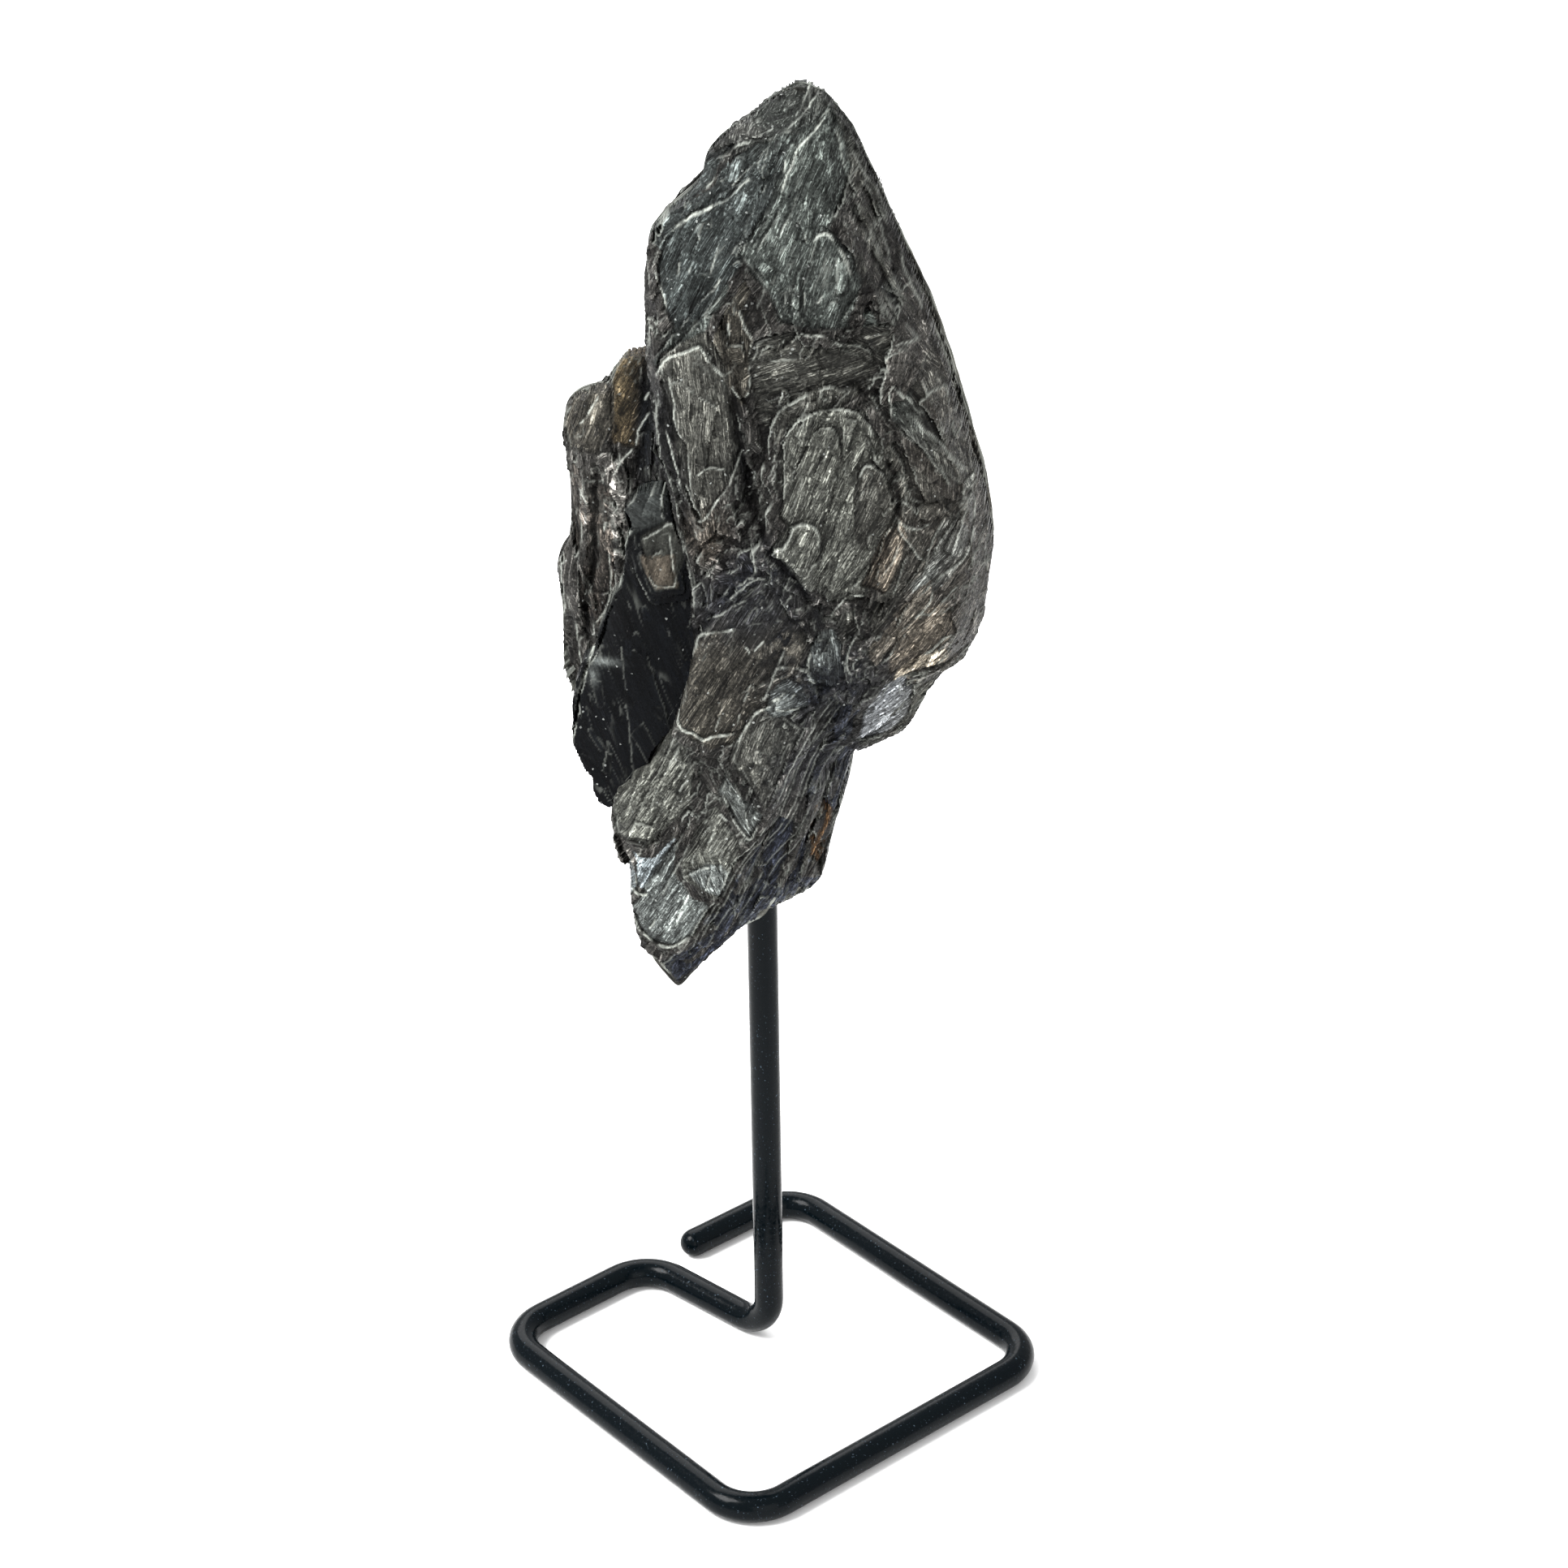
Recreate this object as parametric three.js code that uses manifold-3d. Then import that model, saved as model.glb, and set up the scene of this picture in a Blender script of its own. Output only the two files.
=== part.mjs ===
// A mica specimen on a bent wire stand.
// A steel wire is bent into a 50 mm square base, an inner leg and an upright post.
// The specimen is one rock of grown-together mica books, drilled from below and set on the post.
// Millimetres, +Z up. The origin is on the table under the middle of the square base, and the
// corners of the base lie on the X and Y axes. The display face of the rock looks along -Y.
import * as THREE from "three";
import { mergeVertices } from "three/addons/utils/BufferGeometryUtils.js";
import Module from "manifold-3d";

const wasm = await Module();
wasm.setup();

// ---------------------------------------------------------------- driving dimensions

const WIRE_RADIUS = 1.9; // 3.8 mm wire with its paint
const WIRE_SIDES = 12; // flats on the section, one of them facing the table
const BASE_HALF_DIAGONAL = 35; // a square of 49.5 mm between wire centres
const BASE_BEND = 6; // bend radius at the corners of the base, on the wire's centre line
const FOOT_BEND = 5; // bend radius where the leg turns up into the post
const BEND_STEPS = 6;
const WIRE_END = [-12.4, 22.6]; // free end of the wire, on the back left side
const LEG_CORNER = [-18.2, 17.2]; // where the back left side turns in towards the middle
const POST = [-0.4, 3.6]; // axis of the upright post
const POST_TOP = 82;

const BORE_RADIUS = WIRE_RADIUS + 0.35; // the drilled hole, with room for glue
const BORE_TOP = POST_TOP + 0.4;

// Cleavage faces of the main book: each is a dish, furthest out at its middle height.
const FRONT = { out: -15, middle: 110, above: 0.0032, below: 0.0016, across: 0.012, x: 1, hollowed: true };
const BACK = { out: 13, middle: 112, above: 0.003, below: 0.0024, across: 0.013, x: 3 };

// Hollows in the display face: x and z of the middle, half width, half height and depth.
const HOLLOWS = [
  [0.5, 128, 4.5, 8, 2.6],
  [1.5, 119.5, 5, 4, 1.4],
  [9, 111.5, 6, 5, 1.8],
  [22.5, 110.5, 3, 6, 2.0],
];

// The main book's outline, clockwise from the top as the display face shows it: x, z and y of
// the widest sheet, how far the front and the back face stop short of it, and how far up the
// line they stop short towards is taken.
const MAIN_OUTLINE = [
  [5.5, 169.3, 0, 4.0, 6.0, -8],
  [8.1, 168.2, 0, 4.0, 6.0, -8],
  [11.0, 164.2, 1, 4.0, 6.0, -4],
  [14.1, 156.5, 3, 4.5, 5.0, 0],
  [16.5, 150.7, 4, 4.5, 6.0, 0],
  [19.1, 144.8, 5, 4.0, 6.5, 0],
  [21.8, 137.2, 5, 3.0, 7.0, 0],
  [24.0, 129.5, 5, 2.0, 7.5, 0],
  [25.7, 123.6, 5, 2.0, 7.5, 0],
  [26.9, 116.0, 4, 2.6, 7.0, 0],
  [26.3, 106.2, 3, 3.6, 6.0, 0],
  [24.8, 98.7, 2, 7.0, 5.0, 20],
  [22.9, 98.5, 1, 6.0, 4.0, 20],
  [20.6, 96.9, 0, 8.0, 3.5, 20],
  [18.1, 93.6, 0, 9.0, 3.0, 20],
  [15.1, 90.9, 0, 10.0, 3.0, 14],
  [12.5, 90.0, 0, 9.0, 2.5, 8],
  [11.4, 89.4, 0, 8.0, 2.5, 4],
  [10.9, 86.2, 0, 8.5, 2.5, 4],
  [10.0, 83.4, 0, 9.0, 2.5, 2],
  [8.8, 79.6, 0, 9.5, 2.0, 0],
  [7.3, 72.9, 0, 10.5, 2.0, 0],
  [6.0, 70.9, 0, 10.0, 2.0, 0],
  [3.2, 69.1, -1, 8.5, 2.5, 0],
  [-1.2, 68.2, -3, 6.0, 3.0, 0],
  [-4.7, 65.9, -8, 4.0, 7.0, 4],
  [-9.5, 62.2, -10, 5.0, 10.0, 8],
  [-11.7, 64.3, -10, 3.2, 9.0, 6],
  [-14.4, 68.3, -9, 1.2, 7.0, 0],
  [-15.2, 73.3, -8, 1.2, 4.0, 0],
  [-15.6, 78.2, -7, 1.2, 3.0, 0],
  [-17.4, 83.0, -7, 1.2, 3.0, 0],
  [-16.4, 88.4, -8, 1.2, 2.0, 0],
  [-12.2, 91.7, -8, 1.2, 2.0, 0],
  [-9.2, 97.0, -8, 1.2, 2.0, 0],
  [-7.3, 102.8, -7, 1.2, 2.0, 0],
  [-6.4, 107.9, -7, 1.2, 2.0, 0],
  [-7.1, 114.5, -6, 1.4, 2.0, 0],
  [-8.5, 122.4, -6, 1.4, 2.0, 0],
  [-10.0, 129.7, -5, 1.4, 2.0, 0],
  [-10.9, 135.5, -5, 1.6, 2.0, 0],
  [-11.3, 140.8, -4, 1.8, 2.5, 0],
  [-11.3, 147.3, -4, 2.0, 3.0, 0],
  [-10.5, 152.2, -5, 2.0, 3.0, 0],
  [-9.2, 155.7, -5, 2.0, 3.0, 0],
  [-6.8, 158.3, -4, 2.2, 3.0, 0],
  [-4.6, 160.9, -2, 2.4, 4.0, 0],
  [-1.1, 164.7, -1, 3.0, 5.0, -4],
  [3.1, 168.2, -1, 4.0, 6.0, -8],
];

// The left wing, a book behind the display face, and the black book wedged in front of it.
const WING_OUTLINE = [
  [-6.0, 139.0, 4, 2.0, 3.0],
  [0.0, 133.0, 4, 1.0, 2.0],
  [4.0, 115.0, 4, 1.0, 2.0],
  [2.0, 95.0, 4, 1.0, 2.0],
  [-8.0, 90.0, 3, 1.5, 2.0],
  [-18.8, 91.3, -1, 1.2, 3.0],
  [-21.5, 94.4, 0, 1.2, 3.5],
  [-23.0, 98.7, 1, 1.6, 4.0],
  [-23.3, 105.6, 2, 2.2, 4.0],
  [-23.5, 111.3, 3, 2.2, 4.5],
  [-23.1, 113.6, 3, 2.4, 4.5],
  [-22.0, 114.9, 3, 2.4, 4.0],
  [-21.8, 121.5, 3, 2.2, 4.0],
  [-22.2, 127.5, 3, 2.4, 4.0],
  [-21.4, 130.9, 4, 2.6, 4.0],
  [-19.6, 132.5, 4, 2.0, 3.5],
  [-16.9, 132.7, 4, 1.4, 3.0],
  [-16.2, 134.5, 4, 1.4, 3.0],
  [-13.6, 136.2, 4, 1.4, 3.0],
];
const WING_SPINE = [
  [-8.0, 134],
  [-10.0, 113],
  [-8.0, 95],
];
const WING_FRONT = { out: -3, middle: 113, above: 0.004, below: 0.002, across: 0.005, x: -14, turn: -0.35 };
const WING_BACK = { out: 11, middle: 113, above: 0.006, below: 0.006, across: 0.012, x: -6 };

const SLAB_OUTLINE = [
  [-12.6, 124.2, -4, 0.6, 1.0],
  [-10.0, 124.3, -6, 0.6, 1.0],
  [-7.4, 119.4, -6, 0.6, 1.0],
  [-6.0, 112.5, -6, 0.6, 1.0],
  [-5.6, 105.4, -6, 0.6, 1.0],
  [-7.4, 100.1, -8, 0.6, 1.0],
  [-9.1, 97.0, -8, 0.6, 1.0],
  [-12.1, 91.6, -8, 0.8, 2.0],
  [-16.2, 85.8, -8, 0.8, 2.5],
  [-18.5, 89.4, -7, 0.8, 2.5],
  [-20.6, 91.2, -7, 0.8, 2.5],
  [-21.6, 92.8, -6, 0.8, 2.5],
  [-20.7, 97.4, -5, 0.9, 2.0],
  [-19.6, 102.6, -5, 0.9, 1.0],
  [-18.0, 105.2, -5, 0.9, 1.0],
  [-16.6, 109.4, -4, 0.9, 1.0],
  [-15.0, 113.0, -4, 0.9, 1.0],
  [-14.4, 118.5, -4, 0.8, 1.0],
];
const SLAB_SPINE = [
  [-11.4, 121],
  [-11.5, 108],
  [-13.5, 98],
  [-16.5, 91],
];
const SLAB_FRONT = { out: -9.5, middle: 105, above: 0.001, below: 0.001, across: 0.01, x: -13, turn: -0.18, lean: 0.1 };
const SLAB_BACK = { out: -2, middle: 105, above: 0.002, below: 0.002, across: 0.01, x: -12, level: -20 };

// The line that the main book's faces are built out from, top to bottom: x and z.
const MAIN_SPINE = [
  [4.5, 160],
  [6.5, 140],
  [9.0, 118],
  [4.0, 100],
  [-3.0, 86],
  [-7.5, 71],
];

// How the sheets step in between the widest sheet and a face: share of the way out to the
// face, and share of the inset reached there.
const LEDGES = [
  [0.0, 0.0],
  [0.3, 0.12],
  [0.36, 0.42],
  [0.66, 0.5],
  [0.72, 0.86],
  [1.0, 1.0],
];

// Flakes that lie on the display face of the main book: how far the plate stands off the face
// in its middle, how that grows towards +X and +Z, and its rim as x, z.
const FRONT_FLAKES = [
  // the crown: two plates one behind the other, and the long fibrous one that hangs from the top
  { lift: 1.2, tip: [-0.05, 0.03], rim: [[-9.6, 153.5], [-9, 156.5], [-4.5, 161.5], [-1.5, 163], [7, 165], [10, 164], [10, 160.5], [5.5, 156.5], [-5.5, 151]] },
  { lift: 2.0, tip: [-0.06, 0.04], rim: [[-9, 151], [-8, 154], [-5.5, 156.5], [1, 160.5], [5.5, 160.5], [4, 157.5], [0, 153], [-4.5, 145.5], [-7, 144], [-8.5, 148]] },
  { lift: 2.6, tip: [0.02, 0.02], rim: [[9, 166.5], [5, 163.5], [3.5, 158.5], [0, 153], [3, 149], [4.5, 146], [11, 145.5], [12, 149.5], [9, 155], [11, 160.5]] },
  { lift: 3.6, tip: [0.06, 0.02], rim: [[8.5, 155.5], [6.5, 150.5], [6.5, 147], [7.5, 145.5], [10, 145.5], [12.5, 150], [11.5, 152.5]] },
  // below the crown, from left to right
  { lift: 1.8, tip: [-0.05, -0.02], rim: [[-9.5, 141], [-7, 145], [-4, 149], [-2.5, 150.5], [-1.5, 149.5], [-4.5, 144.5], [-7, 142.5]] },
  { lift: 1.2, tip: [0, -0.05], rim: [[-1, 151.5], [1, 151], [2, 148.5], [0.5, 147], [1, 139.5], [0, 137.5], [-1, 138.5], [-3, 142], [-2.5, 147]] },
  { lift: 2.4, tip: [-0.06, 0.02], rim: [[-4, 144.5], [-8.5, 142], [-9, 140.5], [-6, 128], [-4.5, 123.5], [-1.5, 129.5], [-0.5, 133], [-2, 140.5]] },
  { lift: 1.6, tip: [0.02, 0.05], rim: [[0.5, 141], [1.5, 143.5], [5.5, 145], [8.5, 145], [13.5, 142], [14, 141], [13.5, 139], [8.5, 136.5], [4, 133.5], [2, 135.5]] },
  // the fan that bends down the right side
  { lift: 0.8, tip: [0.02, 0.03], rim: [[10.5, 148], [15, 148], [20, 143], [22.5, 138], [25, 132], [25.3, 127.5], [24, 124.5], [20.5, 130], [14, 141.5], [10.5, 144.5]] },
  { lift: 1.6, tip: [0.02, 0.03], rim: [[11, 145], [16, 144.5], [20, 142.5], [23.5, 133.5], [24.8, 127], [22, 130.5], [18, 135], [14.5, 141]] },
  { lift: 2.4, tip: [0, -0.04], rim: [[16, 139.5], [18, 137], [22, 131], [24.8, 126.5], [23.5, 126.5], [20, 131], [16.5, 135]] },
  { lift: 1.2, tip: [0, 0], rim: [[15, 132], [18.5, 133.5], [24, 125.5], [24, 122.5], [20.5, 122], [17, 123.5], [15.5, 128.5]] },
  // the big blade, the book on it and its neighbours
  { lift: 3.0, tip: [-0.04, 0.05], rim: [[4.5, 129.5], [4.5, 132.5], [5.5, 135.5], [9.5, 137], [13, 136], [14.5, 133], [16.5, 125], [13, 115.5], [9.5, 115], [8, 117.5], [5, 125]] },
  { lift: 3.9, tip: [-0.03, 0.04], rim: [[6.5, 131], [8, 135], [10.5, 134.5], [11, 128], [8.5, 125.5], [5.5, 124.5], [4.5, 125.5]] },
  { lift: 3.7, tip: [0.05, 0.02], rim: [[12.5, 129.5], [14, 131], [16, 126.5], [16, 124.5], [13, 122.5], [12, 125]] },
  { lift: 3.6, tip: [0, 0.04], rim: [[4.5, 122.5], [5.5, 124.5], [8, 124], [8.5, 120], [7.5, 117.5], [3.5, 121]] },
  { lift: 3.8, tip: [0.05, 0], rim: [[15.5, 122], [17, 124], [17.5, 122], [16.5, 117.5], [15.5, 116], [13.5, 117]] },
  // shields and wavy plates on the right
  { lift: 2.0, tip: [0.05, -0.02], rim: [[21.5, 122], [24.5, 124.5], [25, 118.5], [22.5, 116], [19.5, 114], [18.5, 116]] },
  { lift: 2.7, tip: [0.02, 0], rim: [[17, 124], [20.5, 122.5], [21, 120.5], [17, 114.5], [14.5, 110.5], [14, 113], [16.5, 117]] },
  { lift: 1.6, tip: [0.02, -0.05], rim: [[17.5, 111], [20, 115], [22, 113], [23, 109], [21, 107.5], [16, 105.5], [16.5, 108.5]] },
  { lift: 1.0, tip: [0.02, -0.05], rim: [[18, 106.5], [22.5, 108.5], [23, 107], [19, 103], [17, 103.5], [16.5, 104.5]] },
  { lift: 2.4, tip: [0, -0.04], rim: [[17, 113], [20.5, 116], [20.5, 113.5], [17.5, 110.5], [14.5, 107], [14, 108.5]] },
  // chips round the dark hollow in the middle
  { lift: 1.8, tip: [-0.04, 0], rim: [[7.5, 109.5], [8.5, 111], [9.5, 111], [10.5, 109], [10.5, 106], [9.5, 104.5], [7.5, 105], [7, 107]] },
  { lift: 1.4, tip: [0, 0.05], rim: [[9.5, 112.5], [10.5, 115], [13, 114.5], [13.5, 112.5], [11, 109]] },
  // the broad rounded plate and what hangs below it
  { lift: 2.4, tip: [-0.07, -0.05], rim: [[-8.5, 102.5], [-6, 108], [-3, 113], [2, 117], [3.5, 115], [7.5, 109.5], [6, 105.5], [-1, 98], [-4, 97], [-7, 98.5]] },
  { lift: 3.2, tip: [0, 0.06], rim: [[3, 104], [4.5, 105.5], [6, 104.5], [6.5, 102.5], [3.5, 101], [2.5, 102]] },
  { lift: 3.0, tip: [0, -0.03], rim: [[-1, 98], [1, 101.5], [3.5, 102], [6, 99.5], [4, 95], [2, 89.5], [0.5, 92], [-1.5, 95.5]] },
  { lift: 2.2, tip: [0, -0.08], rim: [[-2, 93.5], [-1, 93], [1.5, 88.5], [0, 85], [-3, 91]] },
  { lift: 1.6, tip: [-0.04, -0.03], rim: [[-11, 97.5], [-8.5, 100.5], [-6.5, 93.5], [-7, 89], [-12, 82.5], [-15.5, 83], [-16.5, 88], [-15, 91]] },
  { lift: 0.9, tip: [-0.03, 0], rim: [[-12, 82], [-7.5, 89.5], [-7, 87.5], [-11.5, 78], [-14.5, 75], [-14.5, 81.5]] },
  { lift: 2.4, tip: [0.03, 0], rim: [[-6.5, 84.5], [-4, 88.5], [-1.5, 84.5], [-1.5, 82.5], [-4, 77], [-8, 79]] },
  { lift: 3.1, tip: [0, -0.05], rim: [[-5, 81], [-3.5, 81], [-2.5, 80], [-3.5, 77.5], [-5.5, 78], [-7, 79.5]] },
  { lift: 1.8, tip: [0, -0.04], rim: [[-10, 81], [-7, 85], [-6, 83.5], [-8, 78.5], [-5.5, 75], [-7.5, 70.5], [-9.5, 69], [-12.5, 69], [-14.5, 72.5]] },
];

// Flakes on the wing and on the black slab, in the same terms.
const WING_FLAKES = [
  { lift: 0.8, tip: [0.03, 0], rim: [[-16, 135], [-14.5, 138], [-12, 139], [-11.5, 131], [-13, 127.5], [-15.5, 128], [-17, 131]] },
  { lift: 1.2, tip: [-0.03, 0.02], rim: [[-21.5, 129.5], [-21, 132], [-19.5, 133.5], [-16, 134.5], [-16, 129.5], [-18, 126.5], [-21, 126.5]] },
  { lift: 1.0, tip: [0, -0.03], rim: [[-21, 124], [-18, 123.5], [-15.5, 121], [-15, 115.5], [-18.5, 105.5], [-20.5, 108]] },
  { lift: 0.4, tip: [0, 0], rim: [[-23, 114], [-21.5, 116], [-20.5, 112], [-20.5, 103.5], [-21, 97], [-22, 96], [-23, 99]] },
];
const SLAB_FLAKES = [
  { lift: 0.8, tip: [0, 0.04], rim: [[-13.5, 123], [-11, 126.5], [-9.5, 125], [-9.5, 121.5], [-13.5, 119.5]] },
  { lift: 1.8, tip: [0, 0], rim: [[-12, 119], [-9, 121], [-7.5, 120.5], [-7.5, 117.5], [-8.5, 114], [-10.5, 113.5]] },
];

// Long plates on the back, overlapping like shingles down from the top: x and z of the middle,
// length, width, lean from upright in degrees, and lift.
const BACK_BLADES = [
  [5, 158, 17, 10, -24, 0.8],
  [9, 146, 20, 10, -20, 1.4],
  [-2, 148, 22, 11, 22, 1.0],
  [14, 131, 24, 11, -14, 1.2],
  [3, 134, 26, 12, 4, 2.2],
  [-5, 128, 20, 9, 12, 1.2],
  [10, 119, 22, 13, -4, 2.4],
  [18, 114, 16, 9, 16, 1.2],
  [0, 112, 24, 11, 10, 1.6],
  [8, 102, 18, 12, 26, 1.8],
  [-2, 95, 20, 10, 22, 1.4],
  [3, 84, 18, 9, 20, 2.0],
  [-5, 80, 18, 9, 14, 1.0],
  [-8, 72, 12, 7, 12, 1.6],
];
const WING_BACK_BLADES = [
  [-15, 128, 15, 9, 18, 0.8],
  [-18, 116, 18, 8, 4, 1.4],
  [-17, 104, 18, 8, -8, 0.9],
];

// The section of a flake's rim.
const FLAKE_ROOT_DEPTH = 2.5;
const FLAKE_THICKNESS = 0.8;
const FLAKE_TOP_INSET = 0.5;
const FLAKE_ROOT_INSET = 1.2;

// Where a face has rings of points between its rim, at 1, and the spine, at 0.
const FILL_SHARES = [0.75, 0.5, 0.25, 0];

// ---------------------------------------------------------------- helpers

/** A repeatable number from 0 to 1 for two whole numbers. */
const noise = (i, j) => {
  const v = Math.sin(i * 12.9898 + j * 78.233) * 43758.5453;
  return v - Math.floor(v);
};

/** A closed three.js geometry as a manifold-3d solid. */
const solidOf = (geometry) => {
  const bare = new THREE.BufferGeometry().setAttribute(
    "position",
    geometry.getAttribute("position").clone(),
  );
  if (geometry.index) bare.setIndex(geometry.index);
  const merged = mergeVertices(bare, 1e-4);
  const corners = [...merged.index.array];
  const triVerts = [];
  for (let i = 0; i < corners.length; i += 3) {
    const triangle = corners.slice(i, i + 3);
    if (new Set(triangle).size === 3) triVerts.push(...triangle);
  }
  return new wasm.Manifold(
    new wasm.Mesh({
      numProp: 3,
      vertProperties: merged.getAttribute("position").array,
      triVerts: new Uint32Array(triVerts),
    }),
  );
};

/** A manifold-3d solid as a named three.js mesh. */
const meshOf = (solid, name, material) => {
  const { vertProperties, triVerts, numProp } = solid.getMesh();
  const count = vertProperties.length / numProp;
  const positions = new Float32Array(count * 3);
  for (let i = 0; i < count; i++) {
    positions.set(vertProperties.subarray(i * numProp, i * numProp + 3), i * 3);
  }
  const geometry = new THREE.BufferGeometry();
  geometry.setAttribute("position", new THREE.BufferAttribute(positions, 3));
  geometry.setIndex(new THREE.BufferAttribute(triVerts, 1));
  geometry.computeVertexNormals();
  const mesh = new THREE.Mesh(geometry, material);
  mesh.name = name;
  return mesh;
};

/**
 * Joins rings of equally many points into one skin. The end rings are covered by flat faces, or
 * folded shut where their points lie in pairs along a line.
 */
const skinOf = (rings, covered) => {
  const count = rings[0].length;
  const positions = rings.flat().flatMap((p) => [p.x, p.y, p.z]);
  const index = [];
  for (let r = 0; r + 1 < rings.length; r++) {
    for (let i = 0; i < count; i++) {
      const a = r * count + i;
      const b = r * count + ((i + 1) % count);
      index.push(a, b, b + count, a, b + count, a + count);
    }
  }
  if (covered) {
    const flat = (ring) => ring.map((p) => new THREE.Vector2(p.x, p.z));
    const last = (rings.length - 1) * count;
    for (const [a, b, c] of THREE.ShapeUtils.triangulateShape(flat(rings[0]), [])) index.push(a, b, c);
    for (const [a, b, c] of THREE.ShapeUtils.triangulateShape(flat(rings.at(-1)), [])) {
      index.push(last + c, last + b, last + a);
    }
  }
  const geometry = new THREE.BufferGeometry();
  geometry.setAttribute("position", new THREE.Float32BufferAttribute(positions, 3));
  geometry.setIndex(index);
  return geometry;
};

// ---------------------------------------------------------------- books of mica

/** Y of a book's cleavage face at x, z. A face dishes away from its middle. */
const faceY = (face, x, z) => {
  const away = z - face.middle;
  const towards = Math.sign(face.out - (face.level ?? 0));
  const dished = (away > 0 ? face.above : face.below) * away ** 2 + face.across * (x - face.x) ** 2;
  return face.out + (face.lean ?? 0) * away + (face.turn ?? 0) * (x - face.x) - towards * dished;
};

/** How deep the hollows of the display face are at x, z: each is a round-edged bowl. */
const hollowAt = (x, z) =>
  HOLLOWS.reduce((deepest, [cx, cz, halfWidth, halfHeight, depth]) => {
    const away = ((x - cx) / halfWidth) ** 2 + ((z - cz) / halfHeight) ** 2;
    return Math.max(deepest, depth * Math.exp(-away));
  }, 0);

/** The point of a spine at a height, carried on in line past its ends. */
const spineAt = (spine, height) => {
  const i = spine.findIndex(([, level]) => level <= height);
  const next = i < 0 ? spine.length - 1 : Math.max(1, i);
  const [above, below] = [spine[next - 1], spine[next]];
  const share = (above[1] - height) / (above[1] - below[1]);
  return new THREE.Vector2(THREE.MathUtils.lerp(above[0], below[0], share), height);
};

/** The nearest of evenly spaced points of a spine for each point of a rim that it fills. */
const anchorsOf = (rim, spine, count) => {
  const heights = rim.map((p) => p.z);
  const top = Math.max(...heights);
  const drop = (top - Math.min(...heights)) / count;
  return heights.map((z) => {
    const step = THREE.MathUtils.clamp(Math.round((top - z) / drop), 1, count - 1);
    return spineAt(spine, top - step * drop);
  });
};

/** A book: a stack of sheets whose outlines step in from the widest one to each face. */
const bookOf = ({ outline, spine, stations, front, back, seed }) => {
  const level = (face, insetColumn, [depth, inset], ring) =>
    outline.map((row, i) => {
      const rim = new THREE.Vector2(row[0], row[1]);
      const inward = spineAt(spine, row[1] + (row[5] ?? 0)).sub(rim);
      const reach = Math.min(row[insetColumn], inward.length() * 0.8);
      const uneven = inset > 0 && inset < 1 ? 0.25 * (noise(i + seed, ring) - 0.5) : 0;
      const p = rim.addScaledVector(inward.normalize(), reach * (inset + uneven));
      const y = THREE.MathUtils.lerp(row[2], faceY(face, p.x, p.y), depth);
      return new THREE.Vector3(p.x, y, p.y);
    });
  const fill = (face, rim, anchors, share) =>
    rim.map((q, i) => {
      const x = THREE.MathUtils.lerp(anchors[i].x, q.x, share);
      const z = THREE.MathUtils.lerp(anchors[i].y, q.z, share);
      return new THREE.Vector3(x, faceY(face, x, z) + (face.hollowed ? hollowAt(x, z) : 0), z);
    });
  const side = (face, column) => {
    const walls = LEDGES.slice(1).map((ledge, ring) => level(face, column, ledge, ring + column * 10));
    const rim = walls.at(-1);
    const anchors = anchorsOf(rim, spine, stations);
    return [...walls, ...FILL_SHARES.map((share) => fill(face, rim, anchors, share))];
  };
  const widest = outline.map(([x, z, y]) => new THREE.Vector3(x, y, z));
  const rings = [...side(front, 3).reverse(), widest, ...side(back, 4)];
  return solidOf(skinOf(rings, false));
};

/** A flake on a book's face: a thin plate with an undercut rim, rooted below the face. */
const flakeOf = (face, { lift, tip, rim }) => {
  const outline = rim.map(([x, z]) => new THREE.Vector2(x, z));
  if (THREE.ShapeUtils.area(outline) > 0) outline.reverse();
  const middle = outline.reduce((sum, p) => sum.add(p), new THREE.Vector2()).divideScalar(outline.length);
  const outward = Math.sign(face.out - (face.level ?? 0));
  const ring = (inset, below) =>
    outline.map((p) => {
      const q = p.clone().addScaledVector(middle.clone().sub(p).normalize(), inset);
      const top = lift + tip[0] * (p.x - middle.x) + tip[1] * (p.y - middle.y);
      return new THREE.Vector3(q.x, faceY(face, q.x, q.y) + outward * (top - below), q.y);
    });
  const rings = [
    ring(FLAKE_TOP_INSET, 0),
    ring(0, FLAKE_THICKNESS),
    ring(FLAKE_ROOT_INSET, lift + FLAKE_ROOT_DEPTH),
  ];
  return solidOf(skinOf(outward < 0 ? rings : rings.reverse(), true));
};

/** The rim of a blade-shaped plate with broken corners, as x, z. */
const bladeRim = ([x, z, length, width, lean], seed) => {
  const turn = THREE.MathUtils.degToRad(lean);
  const corners = [0, 0.12, 0.3, 0.48, 0.56, 0.66, 0.8, 0.92];
  return corners.map((share, i) => {
    const angle = share * 2 * Math.PI;
    const reach = 0.5 * (0.85 + 0.3 * noise(i, seed));
    const across = width * reach * Math.sin(angle);
    const along = length * reach * Math.cos(angle);
    return [
      x + across * Math.cos(turn) + along * Math.sin(turn),
      z - across * Math.sin(turn) + along * Math.cos(turn),
    ];
  });
};

const bladeOf = (face, row, seed) => flakeOf(face, { lift: row[5], tip: [0, -0.03], rim: bladeRim(row, seed) });

const mainBook = bookOf({
  outline: MAIN_OUTLINE,
  spine: MAIN_SPINE,
  stations: 10,
  front: FRONT,
  back: BACK,
  seed: 3,
});
const wingBook = bookOf({
  outline: WING_OUTLINE,
  spine: WING_SPINE,
  stations: 3,
  front: WING_FRONT,
  back: WING_BACK,
  seed: 60,
});
const slabBook = bookOf({
  outline: SLAB_OUTLINE,
  spine: SLAB_SPINE,
  stations: 4,
  front: SLAB_FRONT,
  back: SLAB_BACK,
  seed: 90,
});

// ---------------------------------------------------------------- wire stand

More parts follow.
